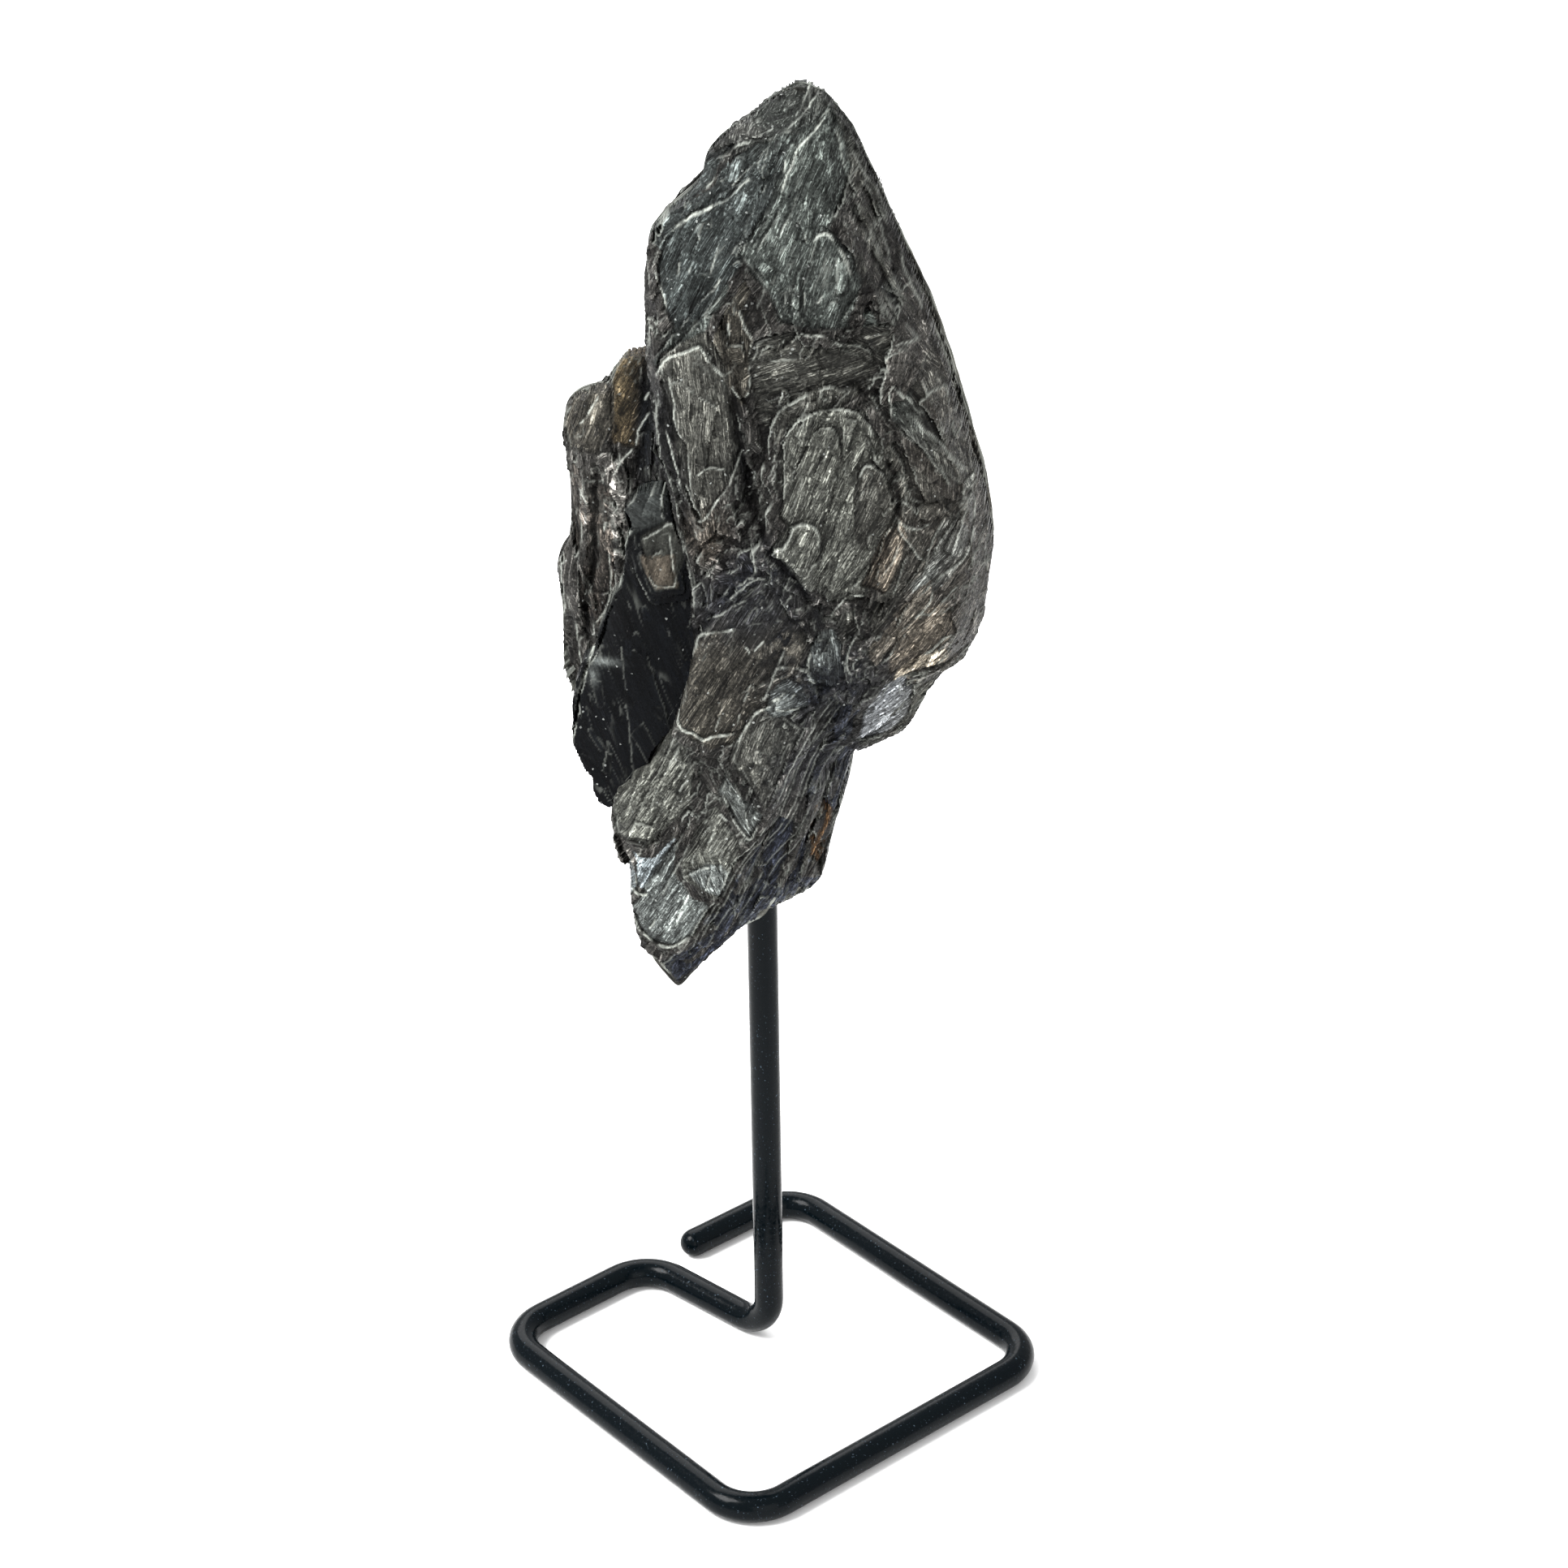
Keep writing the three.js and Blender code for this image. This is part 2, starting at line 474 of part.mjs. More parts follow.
/** A path whose steps fall on given stations, so that straight runs take one step each. */
class WirePath extends THREE.Curve {
  constructor(stations) {
    super();
    this.stations = stations;
  }

  getPointAt(u) {
    const [point] = this.stations[Math.round(u * (this.stations.length - 1))];
    return point.clone();
  }

  getTangentAt(u) {
    const [, tangent] = this.stations[Math.round(u * (this.stations.length - 1))];
    return tangent.clone();
  }
}

/** Stations of a wire through corners, each corner rounded to its bend radius. */
const wireStations = (corners) => {
  const stations = [];
  const last = corners.length - 1;
  const towards = (a, b) => b.clone().sub(a).normalize();
  corners.forEach(({ at, bend }, i) => {
    if (i === 0 || i === last) {
      const way = i === 0 ? towards(at, corners[1].at) : towards(corners[i - 1].at, at);
      stations.push([at.clone(), way]);
      return;
    }
    const way = towards(corners[i - 1].at, at);
    const next = towards(at, corners[i + 1].at);
    const angle = way.angleTo(next);
    const start = at.clone().addScaledVector(way, -bend * Math.tan(angle / 2));
    const inward = next.clone().addScaledVector(way, -next.dot(way)).normalize();
    for (let k = 0; k <= BEND_STEPS; k++) {
      const turn = (angle * k) / BEND_STEPS;
      const point = start
        .clone()
        .addScaledVector(way, bend * Math.sin(turn))
        .addScaledVector(inward, bend * (1 - Math.cos(turn)));
      const tangent = way.clone().multiplyScalar(Math.cos(turn)).addScaledVector(inward, Math.sin(turn));
      stations.push([point, tangent]);
    }
  });
  return stations;
};

/** The section of the wire, with one flat square to the table. */
const wireSection = () => {
  const corner = WIRE_RADIUS / Math.cos(Math.PI / WIRE_SIDES);
  const points = Array.from({ length: WIRE_SIDES }, (_, k) => {
    const angle = ((k + 0.5) * 2 * Math.PI) / WIRE_SIDES;
    return new THREE.Vector2(corner * Math.cos(angle), corner * Math.sin(angle));
  });
  return new THREE.Shape(points);
};

const wireStand = () => {
  const onTable = ([x, y]) => new THREE.Vector3(x, y, WIRE_RADIUS);
  const corners = [
    { at: onTable(WIRE_END) },
    { at: onTable([0, BASE_HALF_DIAGONAL]), bend: BASE_BEND },
    { at: onTable([BASE_HALF_DIAGONAL, 0]), bend: BASE_BEND },
    { at: onTable([0, -BASE_HALF_DIAGONAL]), bend: BASE_BEND },
    { at: onTable([-BASE_HALF_DIAGONAL, 0]), bend: BASE_BEND },
    { at: onTable(LEG_CORNER), bend: BASE_BEND },
    { at: onTable(POST), bend: FOOT_BEND },
    { at: new THREE.Vector3(...POST, POST_TOP) },
  ];
  const stations = wireStations(corners);
  const rod = new THREE.ExtrudeGeometry(wireSection(), {
    steps: stations.length - 1,
    extrudePath: new WirePath(stations),
  });
  const roundEnd = new THREE.SphereGeometry(WIRE_RADIUS * 0.985, WIRE_SIDES, WIRE_SIDES / 2);
  roundEnd.translate(...corners[0].at.toArray());
  return solidOf(rod).add(solidOf(roundEnd));
};

// ---------------------------------------------------------------- the specimen

const specimen = () => {
  const bore = new THREE.CylinderGeometry(BORE_RADIUS, BORE_RADIUS, BORE_TOP, 16);
  bore.rotateX(Math.PI / 2);
  bore.translate(...POST, BORE_TOP / 2);
  const flakes = [
    ...FRONT_FLAKES.map((flake) => flakeOf(FRONT, flake)),
    ...WING_FLAKES.map((flake) => flakeOf(WING_FRONT, flake)),
    ...SLAB_FLAKES.map((flake) => flakeOf(SLAB_FRONT, flake)),
    ...BACK_BLADES.map((row, i) => bladeOf(BACK, row, i)),
    ...WING_BACK_BLADES.map((row, i) => bladeOf(WING_BACK, row, i + 20)),
  ];
  const grown = [wingBook, slabBook, ...flakes].reduce((whole, piece) => whole.add(piece), mainBook);
  const shells = grown.subtract(solidOf(bore)).decompose();
  // Where plates overlap they can shut in a small hollow, whose shell has a volume below zero.
  return shells.reduce((outer, shell) => (shell.volume() > outer.volume() ? shell : outer));
};

const mica = new THREE.MeshStandardMaterial({ color: 0x57544b, roughness: 0.5, metalness: 0 });
const blackPaint = new THREE.MeshStandardMaterial({ color: 0x0b1116, roughness: 0.25, metalness: 0 });

const group = new THREE.Group();
group.name = "mica_specimen_on_wire_stand";
group.add(meshOf(specimen(), "mica_specimen", mica));
group.add(meshOf(wireStand(), "wire_stand", blackPaint));

export default group;
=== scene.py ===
"""A mica specimen on a bent wire stand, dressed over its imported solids.

One rock of grown-together mica books, with loose-edged plates on every face, is set on the
upright post of a gloss black wire stand. Tables are in millimetres in the part's own frame:
+Z up, the display face looks along -Y, and MM turns a millimetre into Blender's metres.
"""

import itertools
import logging
import math
from dataclasses import dataclass, field
from enum import Enum
from typing import Optional, Sequence, Union

import bpy
import numpy as np
from mathutils import Matrix, Vector


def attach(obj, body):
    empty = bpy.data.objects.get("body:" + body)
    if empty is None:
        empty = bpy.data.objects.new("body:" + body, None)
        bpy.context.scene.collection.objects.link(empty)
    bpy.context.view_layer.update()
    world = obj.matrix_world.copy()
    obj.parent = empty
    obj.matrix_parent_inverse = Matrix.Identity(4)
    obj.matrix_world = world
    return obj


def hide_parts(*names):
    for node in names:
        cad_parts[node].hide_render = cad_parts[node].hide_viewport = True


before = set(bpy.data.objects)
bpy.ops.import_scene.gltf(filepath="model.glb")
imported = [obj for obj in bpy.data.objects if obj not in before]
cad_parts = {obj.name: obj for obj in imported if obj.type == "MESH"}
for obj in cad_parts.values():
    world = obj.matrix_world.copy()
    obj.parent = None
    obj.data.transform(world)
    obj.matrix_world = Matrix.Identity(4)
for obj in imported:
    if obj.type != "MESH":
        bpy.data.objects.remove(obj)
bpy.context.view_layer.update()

LOG = logging.getLogger("mica_specimen")
MM = 0.001

Array = np.ndarray
Socket = bpy.types.NodeSocket


# ------------------------------------------------------------------------------ colours


class Tint(Enum):
    """Body colours of the mica, as sRGB hex values."""

    OLIVE = "3e3e3a"
    DARK_OLIVE = "35332e"
    PALE_OLIVE = "4d4e49"
    GREY = "3f4340"
    PALE_GREY = "575b59"
    BRIGHT_GREY = "6a6e6b"
    PALE_BLUE = "949da0"
    SLATE = "363a39"
    DARK = "2a2927"
    BROWN = "332f2b"
    TAN = "5f584e"
    PALE_TAN = "787268"
    GOLD = "41392b"
    SHELL = "3e3e39"
    FLANK = "484540"
    NAVY = "191b20"
    BLACK = "080a0d"
    WHITE = "9aa09d"
    QUARTZ = "a7abaf"
    CREAM = "b4a996"
    PROW = "24272f"
    AMBER = "453423"


def linear(code: str) -> tuple[float, float, float, float]:
    """Turns an sRGB hex value into linear colour.

    Args:
        code: six hex digits.

    Returns:
        Red, green, blue and an alpha of one.
    """
    shares = [int(code[i : i + 2], 16) / 255 for i in (0, 2, 4)]
    turned = [s / 12.92 if s <= 0.04045 else ((s + 0.055) / 1.055) ** 2.4 for s in shares]
    return (turned[0], turned[1], turned[2], 1.0)


# ------------------------------------------------------------------------------ noise


def lattice(cell: Array, seed: int) -> Array:
    """A repeatable value from 0 to 1 at each whole-number cell.

    The cell's three numbers, each times a large odd number, are added and their bits mixed.

    Args:
        cell: whole numbers, three in the last axis.
        seed: picks one of many such patterns.

    Returns:
        An array with one axis less.
    """
    i, j, k = (cell[..., axis].astype(np.int64).astype(np.uint32) for axis in range(3))
    start = np.uint32((seed * 2246822519 + 374761393) & 0xFFFFFFFF)
    mixed = i * np.uint32(374761393) + j * np.uint32(668265263) + k * np.uint32(3266489917) + start
    mixed = (mixed ^ (mixed >> np.uint32(13))) * np.uint32(1274126177)
    mixed = (mixed ^ (mixed >> np.uint32(15))) * np.uint32(2654435761)
    return ((mixed ^ (mixed >> np.uint32(16))) & np.uint32(0xFFFFFF)) / float(0xFFFFFF)


def smooth_noise(p: Array, seed: int) -> Array:
    """Smooth noise from -1 to 1 at points in space.

    The eight lattice values round a point are blended by its eased place between them.

    Args:
        p: points, three numbers in the last axis, one unit to a lattice cell.
        seed: picks the pattern.

    Returns:
        An array with one axis less.
    """
    cell = np.floor(p).astype(np.int64)
    part = p - cell
    part = part * part * (3 - 2 * part)
    total = np.zeros(p.shape[:-1])
    for corner in itertools.product((0, 1), repeat=3):
        weight = np.prod(np.where(np.array(corner), part, 1 - part), axis=-1)
        total += weight * lattice(cell + np.array(corner), seed)
    return 2 * total - 1


def fractal(p: Array, seed: int, octaves: int = 3) -> Array:
    """Smooth noise summed over octaves, each twice as fine and half as strong.

    Args:
        p: points, three numbers in the last axis.
        seed: picks the pattern.
        octaves: how many are summed.

    Returns:
        Values of about -1 to 1.
    """
    total = sum(smooth_noise(p * 2**o + 17.3 * o, seed + o) / 2**o for o in range(octaves))
    return total / (2 - 2.0 ** (1 - octaves))


def stack(*parts: Union[Array, float]) -> Array:
    """Numbers or arrays side by side in a new last axis."""
    return np.stack(np.broadcast_arrays(*parts), axis=-1).astype(float)


def eased(value: Array, low: float, high: float) -> Array:
    """0 below low, 1 above high, and an S-curve in between."""
    t = np.clip((value - low) / (high - low), 0, 1)
    return t * t * (3 - 2 * t)


# ------------------------------------------------------------------------------ outlines


def resampled(loop: Array, count: int) -> Array:
    """Points evenly spaced along a closed polyline.

    Args:
        loop: rows of a point whose first two columns are its place; the others go along.
        count: how many points are wanted.

    Returns:
        count rows.
    """
    closed = np.vstack([loop, loop[:1]])
    steps = np.hypot(*np.diff(closed[:, :2], axis=0).T)
    along = np.concatenate([[0], np.cumsum(steps)])
    at = np.linspace(0, along[-1], count, endpoint=False)
    return np.column_stack([np.interp(at, along, column) for column in closed.T])


def softened(loop: Array, width: float) -> Array:
    """A closed loop with its corners rounded.

    Each column is blurred along the loop by a bell curve, by damping its high frequencies.

    Args:
        loop: evenly spaced rows.
        width: the bell's width in rows.

    Returns:
        As many rows.
    """
    waves = np.fft.rfftfreq(len(loop))[:, None]
    damped = np.fft.rfft(loop, axis=0) * np.exp(-2 * (math.pi * waves * width) ** 2)
    return np.fft.irfft(damped, n=len(loop), axis=0)


def perimeter(loop: Array) -> float:
    """Length of a closed polyline."""
    return float(np.hypot(*(np.roll(loop[:, :2], -1, axis=0) - loop[:, :2]).T).sum())


def signed_distance(loop: Array, x: Array, z: Array) -> tuple[Array, Array]:
    """Distance to a closed polyline, above zero inside it, and the place round it.

    The distance is the least over its sides, each taken to the nearest point of the side. A
    point is inside when a ray from it along +X crosses an odd number of sides.

    Args:
        loop: rows of x and z.
        x: places.
        z: places, as many.

    Returns:
        The distances, and the nearest point's place as a row of the loop and a share of the
        way to the next.
    """
    nearest, place = np.full(x.shape, np.inf), np.zeros(x.shape)
    inside = np.zeros(x.shape, bool)
    for i, ((ax, az), (bx, bz)) in enumerate(zip(loop[:, :2], np.roll(loop[:, :2], -1, axis=0))):
        dx, dz = bx - ax, bz - az
        share = np.clip(((x - ax) * dx + (z - az) * dz) / (dx * dx + dz * dz), 0, 1)
        square = (x - ax - share * dx) ** 2 + (z - az - share * dz) ** 2
        closer = square < nearest
        nearest[closer] = square[closer]
        place[closer] = i + share[closer]
        if dz:
            inside ^= ((az > z) != (bz > z)) & (x < ax + dx * (z - az) / dz)
    nearest = np.sqrt(nearest)
    return np.where(inside, nearest, -nearest), place


def line_offset(line: Array, x: Array, z: Array) -> tuple[Array, Array]:
    """Distance to an open polyline, above zero right of its course, and the place along it.

    Args:
        line: rows of x and z.
        x: places.
        z: places, as many.

    Returns:
        The distances, and how far along the line its nearest point is, from 0 to 1.
    """
    nearest, along = np.full(x.shape, np.inf), np.zeros(x.shape)
    lengths = np.hypot(*np.diff(line, axis=0).T)
    done = np.concatenate([[0], np.cumsum(lengths)]) / lengths.sum()
    right = np.zeros(x.shape, bool)
    for i, ((ax, az), (bx, bz)) in enumerate(zip(line, line[1:])):
        dx, dz = bx - ax, bz - az
        share = np.clip(((x - ax) * dx + (z - az) * dz) / (dx * dx + dz * dz), 0, 1)
        distance = np.hypot(x - ax - share * dx, z - az - share * dz)
        closer = distance < nearest
        nearest = np.where(closer, distance, nearest)
        along = np.where(closer, done[i] + share * (done[i + 1] - done[i]), along)
        right = np.where(closer, dx * (z - az) < dz * (x - ax), right)
    return np.where(right, nearest, -nearest), along


def blurred(values: Array, cells: float) -> Array:
    """A grid of values under a bell curve, by damping its high frequencies.

    Args:
        values: the grid's values.
        cells: width of the curve in cells.

    Returns:
        The blurred values.
    """
    rows = np.fft.fftfreq(values.shape[0])[:, None]
    columns = np.fft.rfftfreq(values.shape[1])[None]
    damping = np.exp(-2 * (math.pi * cells) ** 2 * (rows**2 + columns**2))
    return np.fft.irfft2(np.fft.rfft2(values) * damping, s=values.shape)


# ------------------------------------------------------------------------------ meshes


@dataclass
class Patch:
    """A closed skin of rings, with what its finish needs at each point.

    Attributes:
        points: rings x points x 3, in millimetres; the first and last ring close to a pole.
        grain: place along the fibre, across it and through the sheets, in millimetres.
        edge: how much a point is a sheet's thin pale edge, partly its own and partly a painted
            highlight, 0 to 1.
        tint: linear body colour, with the painted shade and light of the books in it, rings x
            points x 3.
    """

    points: Array
    grain: Array
    edge: Array
    tint: Array


def colour_of(tint: Tint) -> Array:
    """A tint's linear red, green and blue."""
    return np.array(linear(tint.value)[:3])


def capped(values: Array) -> Array:
    """A patch's values as a list, with the first and last ring each cut to one mean value.

    Args:
        values: rings x points, with one or more numbers each.

    Returns:
        One row to a point.
    """
    flat = values.reshape(values.shape[0], values.shape[1], -1)
    ends = flat[0].mean(0, keepdims=True), flat[-1].mean(0, keepdims=True)
    return np.vstack([ends[0], flat[1:-1].reshape(-1, flat.shape[-1]), ends[1]])


def skin_faces(rings: int, count: int) -> tuple[Array, Array]:
    """Faces of a skin of rings between two poles.

    Args:
        rings: number of rings, the two poles included.
        count: points in a ring.

    Returns:
        Quads and triangles, as indices into the capped list.
    """
    column = np.arange(count)
    after = (column + 1) % count
    row = np.arange(rings - 3)[:, None] * count + 1
    quads = stack(row + column, row + after, row + count + after, row + count + column)
    last = 1 + (rings - 2) * count
    top = stack(np.zeros(count), 1 + after, 1 + column)
    low = stack(np.full(count, last), last - count + column, last - count + after)
    return quads.reshape(-1, 4).astype(int), np.vstack([top, low]).astype(int)


def signed_volume(points: Array, quads: Array, triangles: Array) -> float:
    """Volume shut in by a skin.

    Args:
        points: its points.
        quads: its faces with four corners.
        triangles: its faces with three corners.

    Returns:
        The volume, below zero where the faces point inwards.
    """
    halves = np.vstack([quads[:, [0, 1, 2]], quads[:, [0, 2, 3]], triangles])
    a, b, c = (points[halves[:, i]] for i in range(3))
    return float(np.sum(a * np.cross(b, c)) / 6)


@dataclass
class MeshData:
    """Points and faces of one piece, gathered from closed skins.

    Attributes:
        points: their places, one array to a skin, in millimetres.
        grain: their places in the grain.
        edge: how much they are a sheet's edge, pale partly of its own and partly as a painted
            highlight.
        tint: their colours, with painted shade and light in them.
        faces: quads and triangles in turn.
        total: how many points there are.
    """

    points: list[Array] = field(default_factory=list)
    grain: list[Array] = field(default_factory=list)
    edge: list[Array] = field(default_factory=list)
    tint: list[Array] = field(default_factory=list)
    faces: list[Array] = field(default_factory=list)
    total: int = 0

    def add_skin(self, values: Sequence[Array], quads: Array, triangles: Array) -> None:
        """Adds a closed skin, with its faces turned outwards.

        Args:
            values: its points, grain, edge and tint, one row to a point.
            quads: faces with four corners.
            triangles: faces with three corners.
        """
        if signed_volume(values[0], quads, triangles) < 0:
            quads, triangles = quads[:, ::-1], triangles[:, ::-1]
        for kept, new in zip((self.points, self.grain, self.edge, self.tint), values):
            kept.append(new.reshape(len(values[0]), -1))
        self.faces += [quads + self.total, triangles + self.total]
        self.total += len(values[0])

    def add(self, patch: Patch) -> None:
        """Adds a patch of rings.

        Args:
            patch: the closed skin to add.
        """
        values = [capped(v) for v in (patch.points, patch.grain, patch.edge, patch.tint)]
        self.add_skin(values, *skin_faces(*patch.points.shape[:2]))

    def build(self, name: str, finish: bpy.types.Material, crease: float) -> bpy.types.Object:
        """Makes the Blender object.

        Args:
            name: the piece's name.
            finish: its material.
            crease: angle in degrees past which an edge is sharp.

        Returns:
            The object, at the origin, with its place in its mesh.
        """
        mesh = bpy.data.meshes.new(name)
        points = np.vstack(self.points)
        corners = np.concatenate([f.ravel() for f in self.faces])
        sizes = np.concatenate([np.full(len(f), f.shape[1]) for f in self.faces])
        starts = np.concatenate([[0], np.cumsum(sizes)[:-1]])
        mesh.vertices.add(len(points))
        mesh.vertices.foreach_set("co", (points * MM).ravel())
        mesh.loops.add(len(corners))
        mesh.loops.foreach_set("vertex_index", corners)
        mesh.polygons.add(len(starts))
        mesh.polygons.foreach_set("loop_start", starts)
        mesh.update(calc_edges=True)
        grain = mesh.attributes.new("grain", "FLOAT_VECTOR", "POINT")
        grain.data.foreach_set("vector", np.vstack(self.grain).ravel())
        edge = mesh.attributes.new("edge", "FLOAT", "POINT")
        edge.data.foreach_set("value", np.vstack(self.edge).ravel())
        tint = mesh.attributes.new("tint", "FLOAT_COLOR", "POINT")
        colours = np.vstack(self.tint)
        tint.data.foreach_set("color", np.column_stack([colours, np.ones(len(colours))]).ravel())
        mesh.polygons.foreach_set("use_smooth", np.ones(len(starts), bool))
        mesh.set_sharp_from_angle(angle=math.radians(crease))
        mesh.materials.append(finish)
        piece = bpy.data.objects.new(name, mesh)
        bpy.context.scene.collection.objects.link(piece)
        return piece


# ------------------------------------------------------------------------------ faces of books


@dataclass(frozen=True)
class Face:
    """A cleavage face: a dish that stands furthest out at its middle height.

    Attributes:
        out: its Y at the middle.
        middle: height of the middle.
        above: how fast it falls back above that, with the square of the distance.
        below: the same below it.
        across: the same to both sides.
        x: where its middle lies across.
        turn: how its Y grows with X.
        lean: how its Y grows with height.
        level: a Y inside the book, which tells the way that the face looks.
        bowls: x, z, half width, half height and depth of its hollows.
    """

    out: float
    middle: float
    above: float
    below: float
    across: float
    x: float
    turn: float = 0.0
    lean: float = 0.0
    level: float = 0.0
    bowls: tuple = ()

    @property
    def outward(self) -> float:
        """+1 where the face looks along +Y, -1 where it looks along -Y."""
        return math.copysign(1.0, self.out - self.level)

    def y(self, x: Array, z: Array) -> Array:
        """Y of the face: out, plus lean and turn, less a dish that grows with the square.

        Args:
            x: places across.
            z: heights, as many.

        Returns:
            Its Y at each.
        """
        away = z - self.middle
        dish = np.where(away > 0, self.above, self.below) * away**2
        dish = dish + self.across * (x - self.x) ** 2
        return self.out + self.lean * away + self.turn * (x - self.x) - self.outward * dish

    def hollow(self, x: Array, z: Array) -> Array:
        """Depth of the deepest bowl here, each a bell curve of its width and height.

        Args:
            x: places across.
            z: heights, as many.

        Returns:
            The depth at each.
        """
        deepest = np.zeros(np.broadcast(x, z).shape)
        for cx, cz, half_width, half_height, depth in self.bowls:
            away = ((x - cx) / half_width) ** 2 + ((z - cz) / half_height) ** 2
            deepest = np.maximum(deepest, depth * np.exp(-away))
        return deepest


HOLLOWS = (
    (0.5, 128, 4.5, 8, 2.6),
    (1.5, 119.5, 5, 4, 1.4),
    (9, 111.5, 6, 5, 1.8),
    (22.5, 110.5, 3, 6, 2.0),
)
FRONT = Face(out=-15, middle=110, above=0.0032, below=0.0016, across=0.012, x=1, bowls=HOLLOWS)
BACK = Face(out=13, middle=112, above=0.003, below=0.0024, across=0.013, x=3)
WING_FRONT = Face(out=-3, middle=113, above=0.004, below=0.002, across=0.005, x=-14, turn=-0.35)
WING_BACK = Face(out=11, middle=113, above=0.006, below=0.006, across=0.012, x=-6)
SLAB_FRONT = Face(
    out=-9.5, middle=105, above=0.001, below=0.001, across=0.01, x=-13, turn=-0.18, lean=0.1
)
SLAB_BACK = Face(out=-2, middle=105, above=0.002, below=0.002, across=0.01, x=-12, level=-20)

# x, z and y of the widest sheet, how far the front and the back face stop short of it, and how
# far up the spine they stop short towards is taken.
FRONT_INSET, BACK_INSET = 3, 4
MAIN_OUTLINE = (
    (5.5, 169.3, 0, 4, 6, -8), (8.4, 168.2, 0, 4, 6, -8), (11.4, 164.2, 1, 4, 6, -4),
    (14.5, 156.5, 3, 4.5, 5, 0), (16.9, 150.7, 4, 4.5, 6, 0), (19.5, 144.8, 5, 4, 6.5, 0),
    (22.2, 137.2, 5, 3, 7, 0), (24.4, 129.5, 5, 2, 7.5, 0), (26.2, 123.6, 5, 2, 7.5, 0),
    (27.5, 116, 4, 2.6, 7, 0), (26.5, 106.2, 3, 3.6, 6, 0), (24.2, 100.2, 2, 7, 5, 20),
    (22.2, 100.2, 1, 6, 4, 20), (20.4, 97.8, 0, 8, 3.5, 20), (18.2, 93.5, 0, 9, 3, 20),
    (15.1, 90.7, 0, 10, 3, 14), (12.5, 90.1, 0, 9, 2.5, 8), (11.5, 89.8, 0, 8, 2.5, 4),
    (11.1, 86.4, 0, 8.5, 2.5, 4), (10.3, 83.4, 0, 9, 2.5, 2), (9.2, 79.6, 0, 9.5, 2, 0),
    (7.8, 72.9, 0, 10.5, 2, 0), (6.3, 70.8, 0, 10, 2, 0), (3.2, 69.4, -1, 8.5, 2.5, 0),
    (-1.2, 69.2, -3, 6, 3, 0), (-4.7, 66.3, -8, 4, 7, 4), (-9.4, 61.3, -10, 5, 10, 8),
    (-11.7, 64.3, -10, 3.2, 9, 6), (-14.4, 68.3, -9, 1.2, 7, 0), (-15.2, 73.3, -8, 1.2, 4, 0),
    (-15.1, 78.3, -7, 1.2, 3, 0), (-17.3, 83.4, -7, 1.2, 3, 0), (-16.4, 88.4, -8, 1.2, 2, 0),
    (-12.2, 91.7, -8, 1.2, 2, 0), (-9.2, 97, -8, 1.2, 2, 0), (-7.3, 102.8, -7, 1.2, 2, 0),
    (-6.4, 107.9, -7, 1.2, 2, 0), (-7.1, 114.5, -6, 1.4, 2, 0), (-8.5, 122.4, -6, 1.4, 2, 0),
    (-10, 129.7, -5, 1.4, 2, 0), (-10.9, 135.5, -5, 1.6, 2, 0), (-11.3, 140.8, -4, 1.8, 2.5, 0),
    (-11.6, 147.3, -4, 2, 3, 0), (-11.1, 151, -5, 2, 3, 0), (-10.8, 153.9, -5, 2, 3, 0),
    (-9.3, 155.8, -5, 2, 3, 0), (-6.6, 158, -4, 2, 3, 0), (-4.8, 159.8, -3, 2.2, 3.5, 0),
    (-4.9, 161.5, -2, 2.4, 4, 0), (-3, 163.9, -2, 2.8, 4.5, -2), (-0.6, 165.3, -1, 3, 5, -4),
    (3.1, 168.2, -1, 4, 6, -8),
)
MAIN_SPINE = ((4.5, 160), (6.5, 140), (9.0, 118), (4.0, 100), (-3.0, 86), (-7.5, 71))
MAIN_HEART = (8.35, 101.7)

WING_OUTLINE = (
    (-6, 139, 4, 2, 3, 0), (0, 133, 4, 1, 2, 0), (4, 115, 4, 1, 2, 0), (2, 95, 4, 1, 2, 0),
    (-8, 90, 3, 1.5, 2, 0), (-18.8, 91.3, -1, 1.2, 3, 0), (-21.7, 94.4, 0, 1.2, 3.5, 0),
    (-23.4, 98.7, 1, 1.6, 4, 0), (-23.3, 105.6, 2, 2.2, 4, 0), (-23.9, 111.3, 3, 2.2, 4.5, 0),
    (-23.1, 113.6, 3, 2.4, 4.5, 0), (-22, 114.9, 3, 2.4, 4, 0), (-21.8, 121.5, 3, 2.2, 4, 0),
    (-22.5, 127.5, 3, 2.4, 4, 0), (-21.9, 131, 4, 2.6, 4, 0), (-20.2, 132.6, 4, 2, 3.5, 0),
    (-17, 132.8, 4, 1.4, 3, 0), (-16.7, 134.8, 4, 1.4, 3, 0), (-13.9, 137, 4, 1.4, 3, 0),
)
WING_SPINE = ((-8.0, 134), (-10.0, 113), (-8.0, 95))
WING_HEART = (-8.7, 111.4)

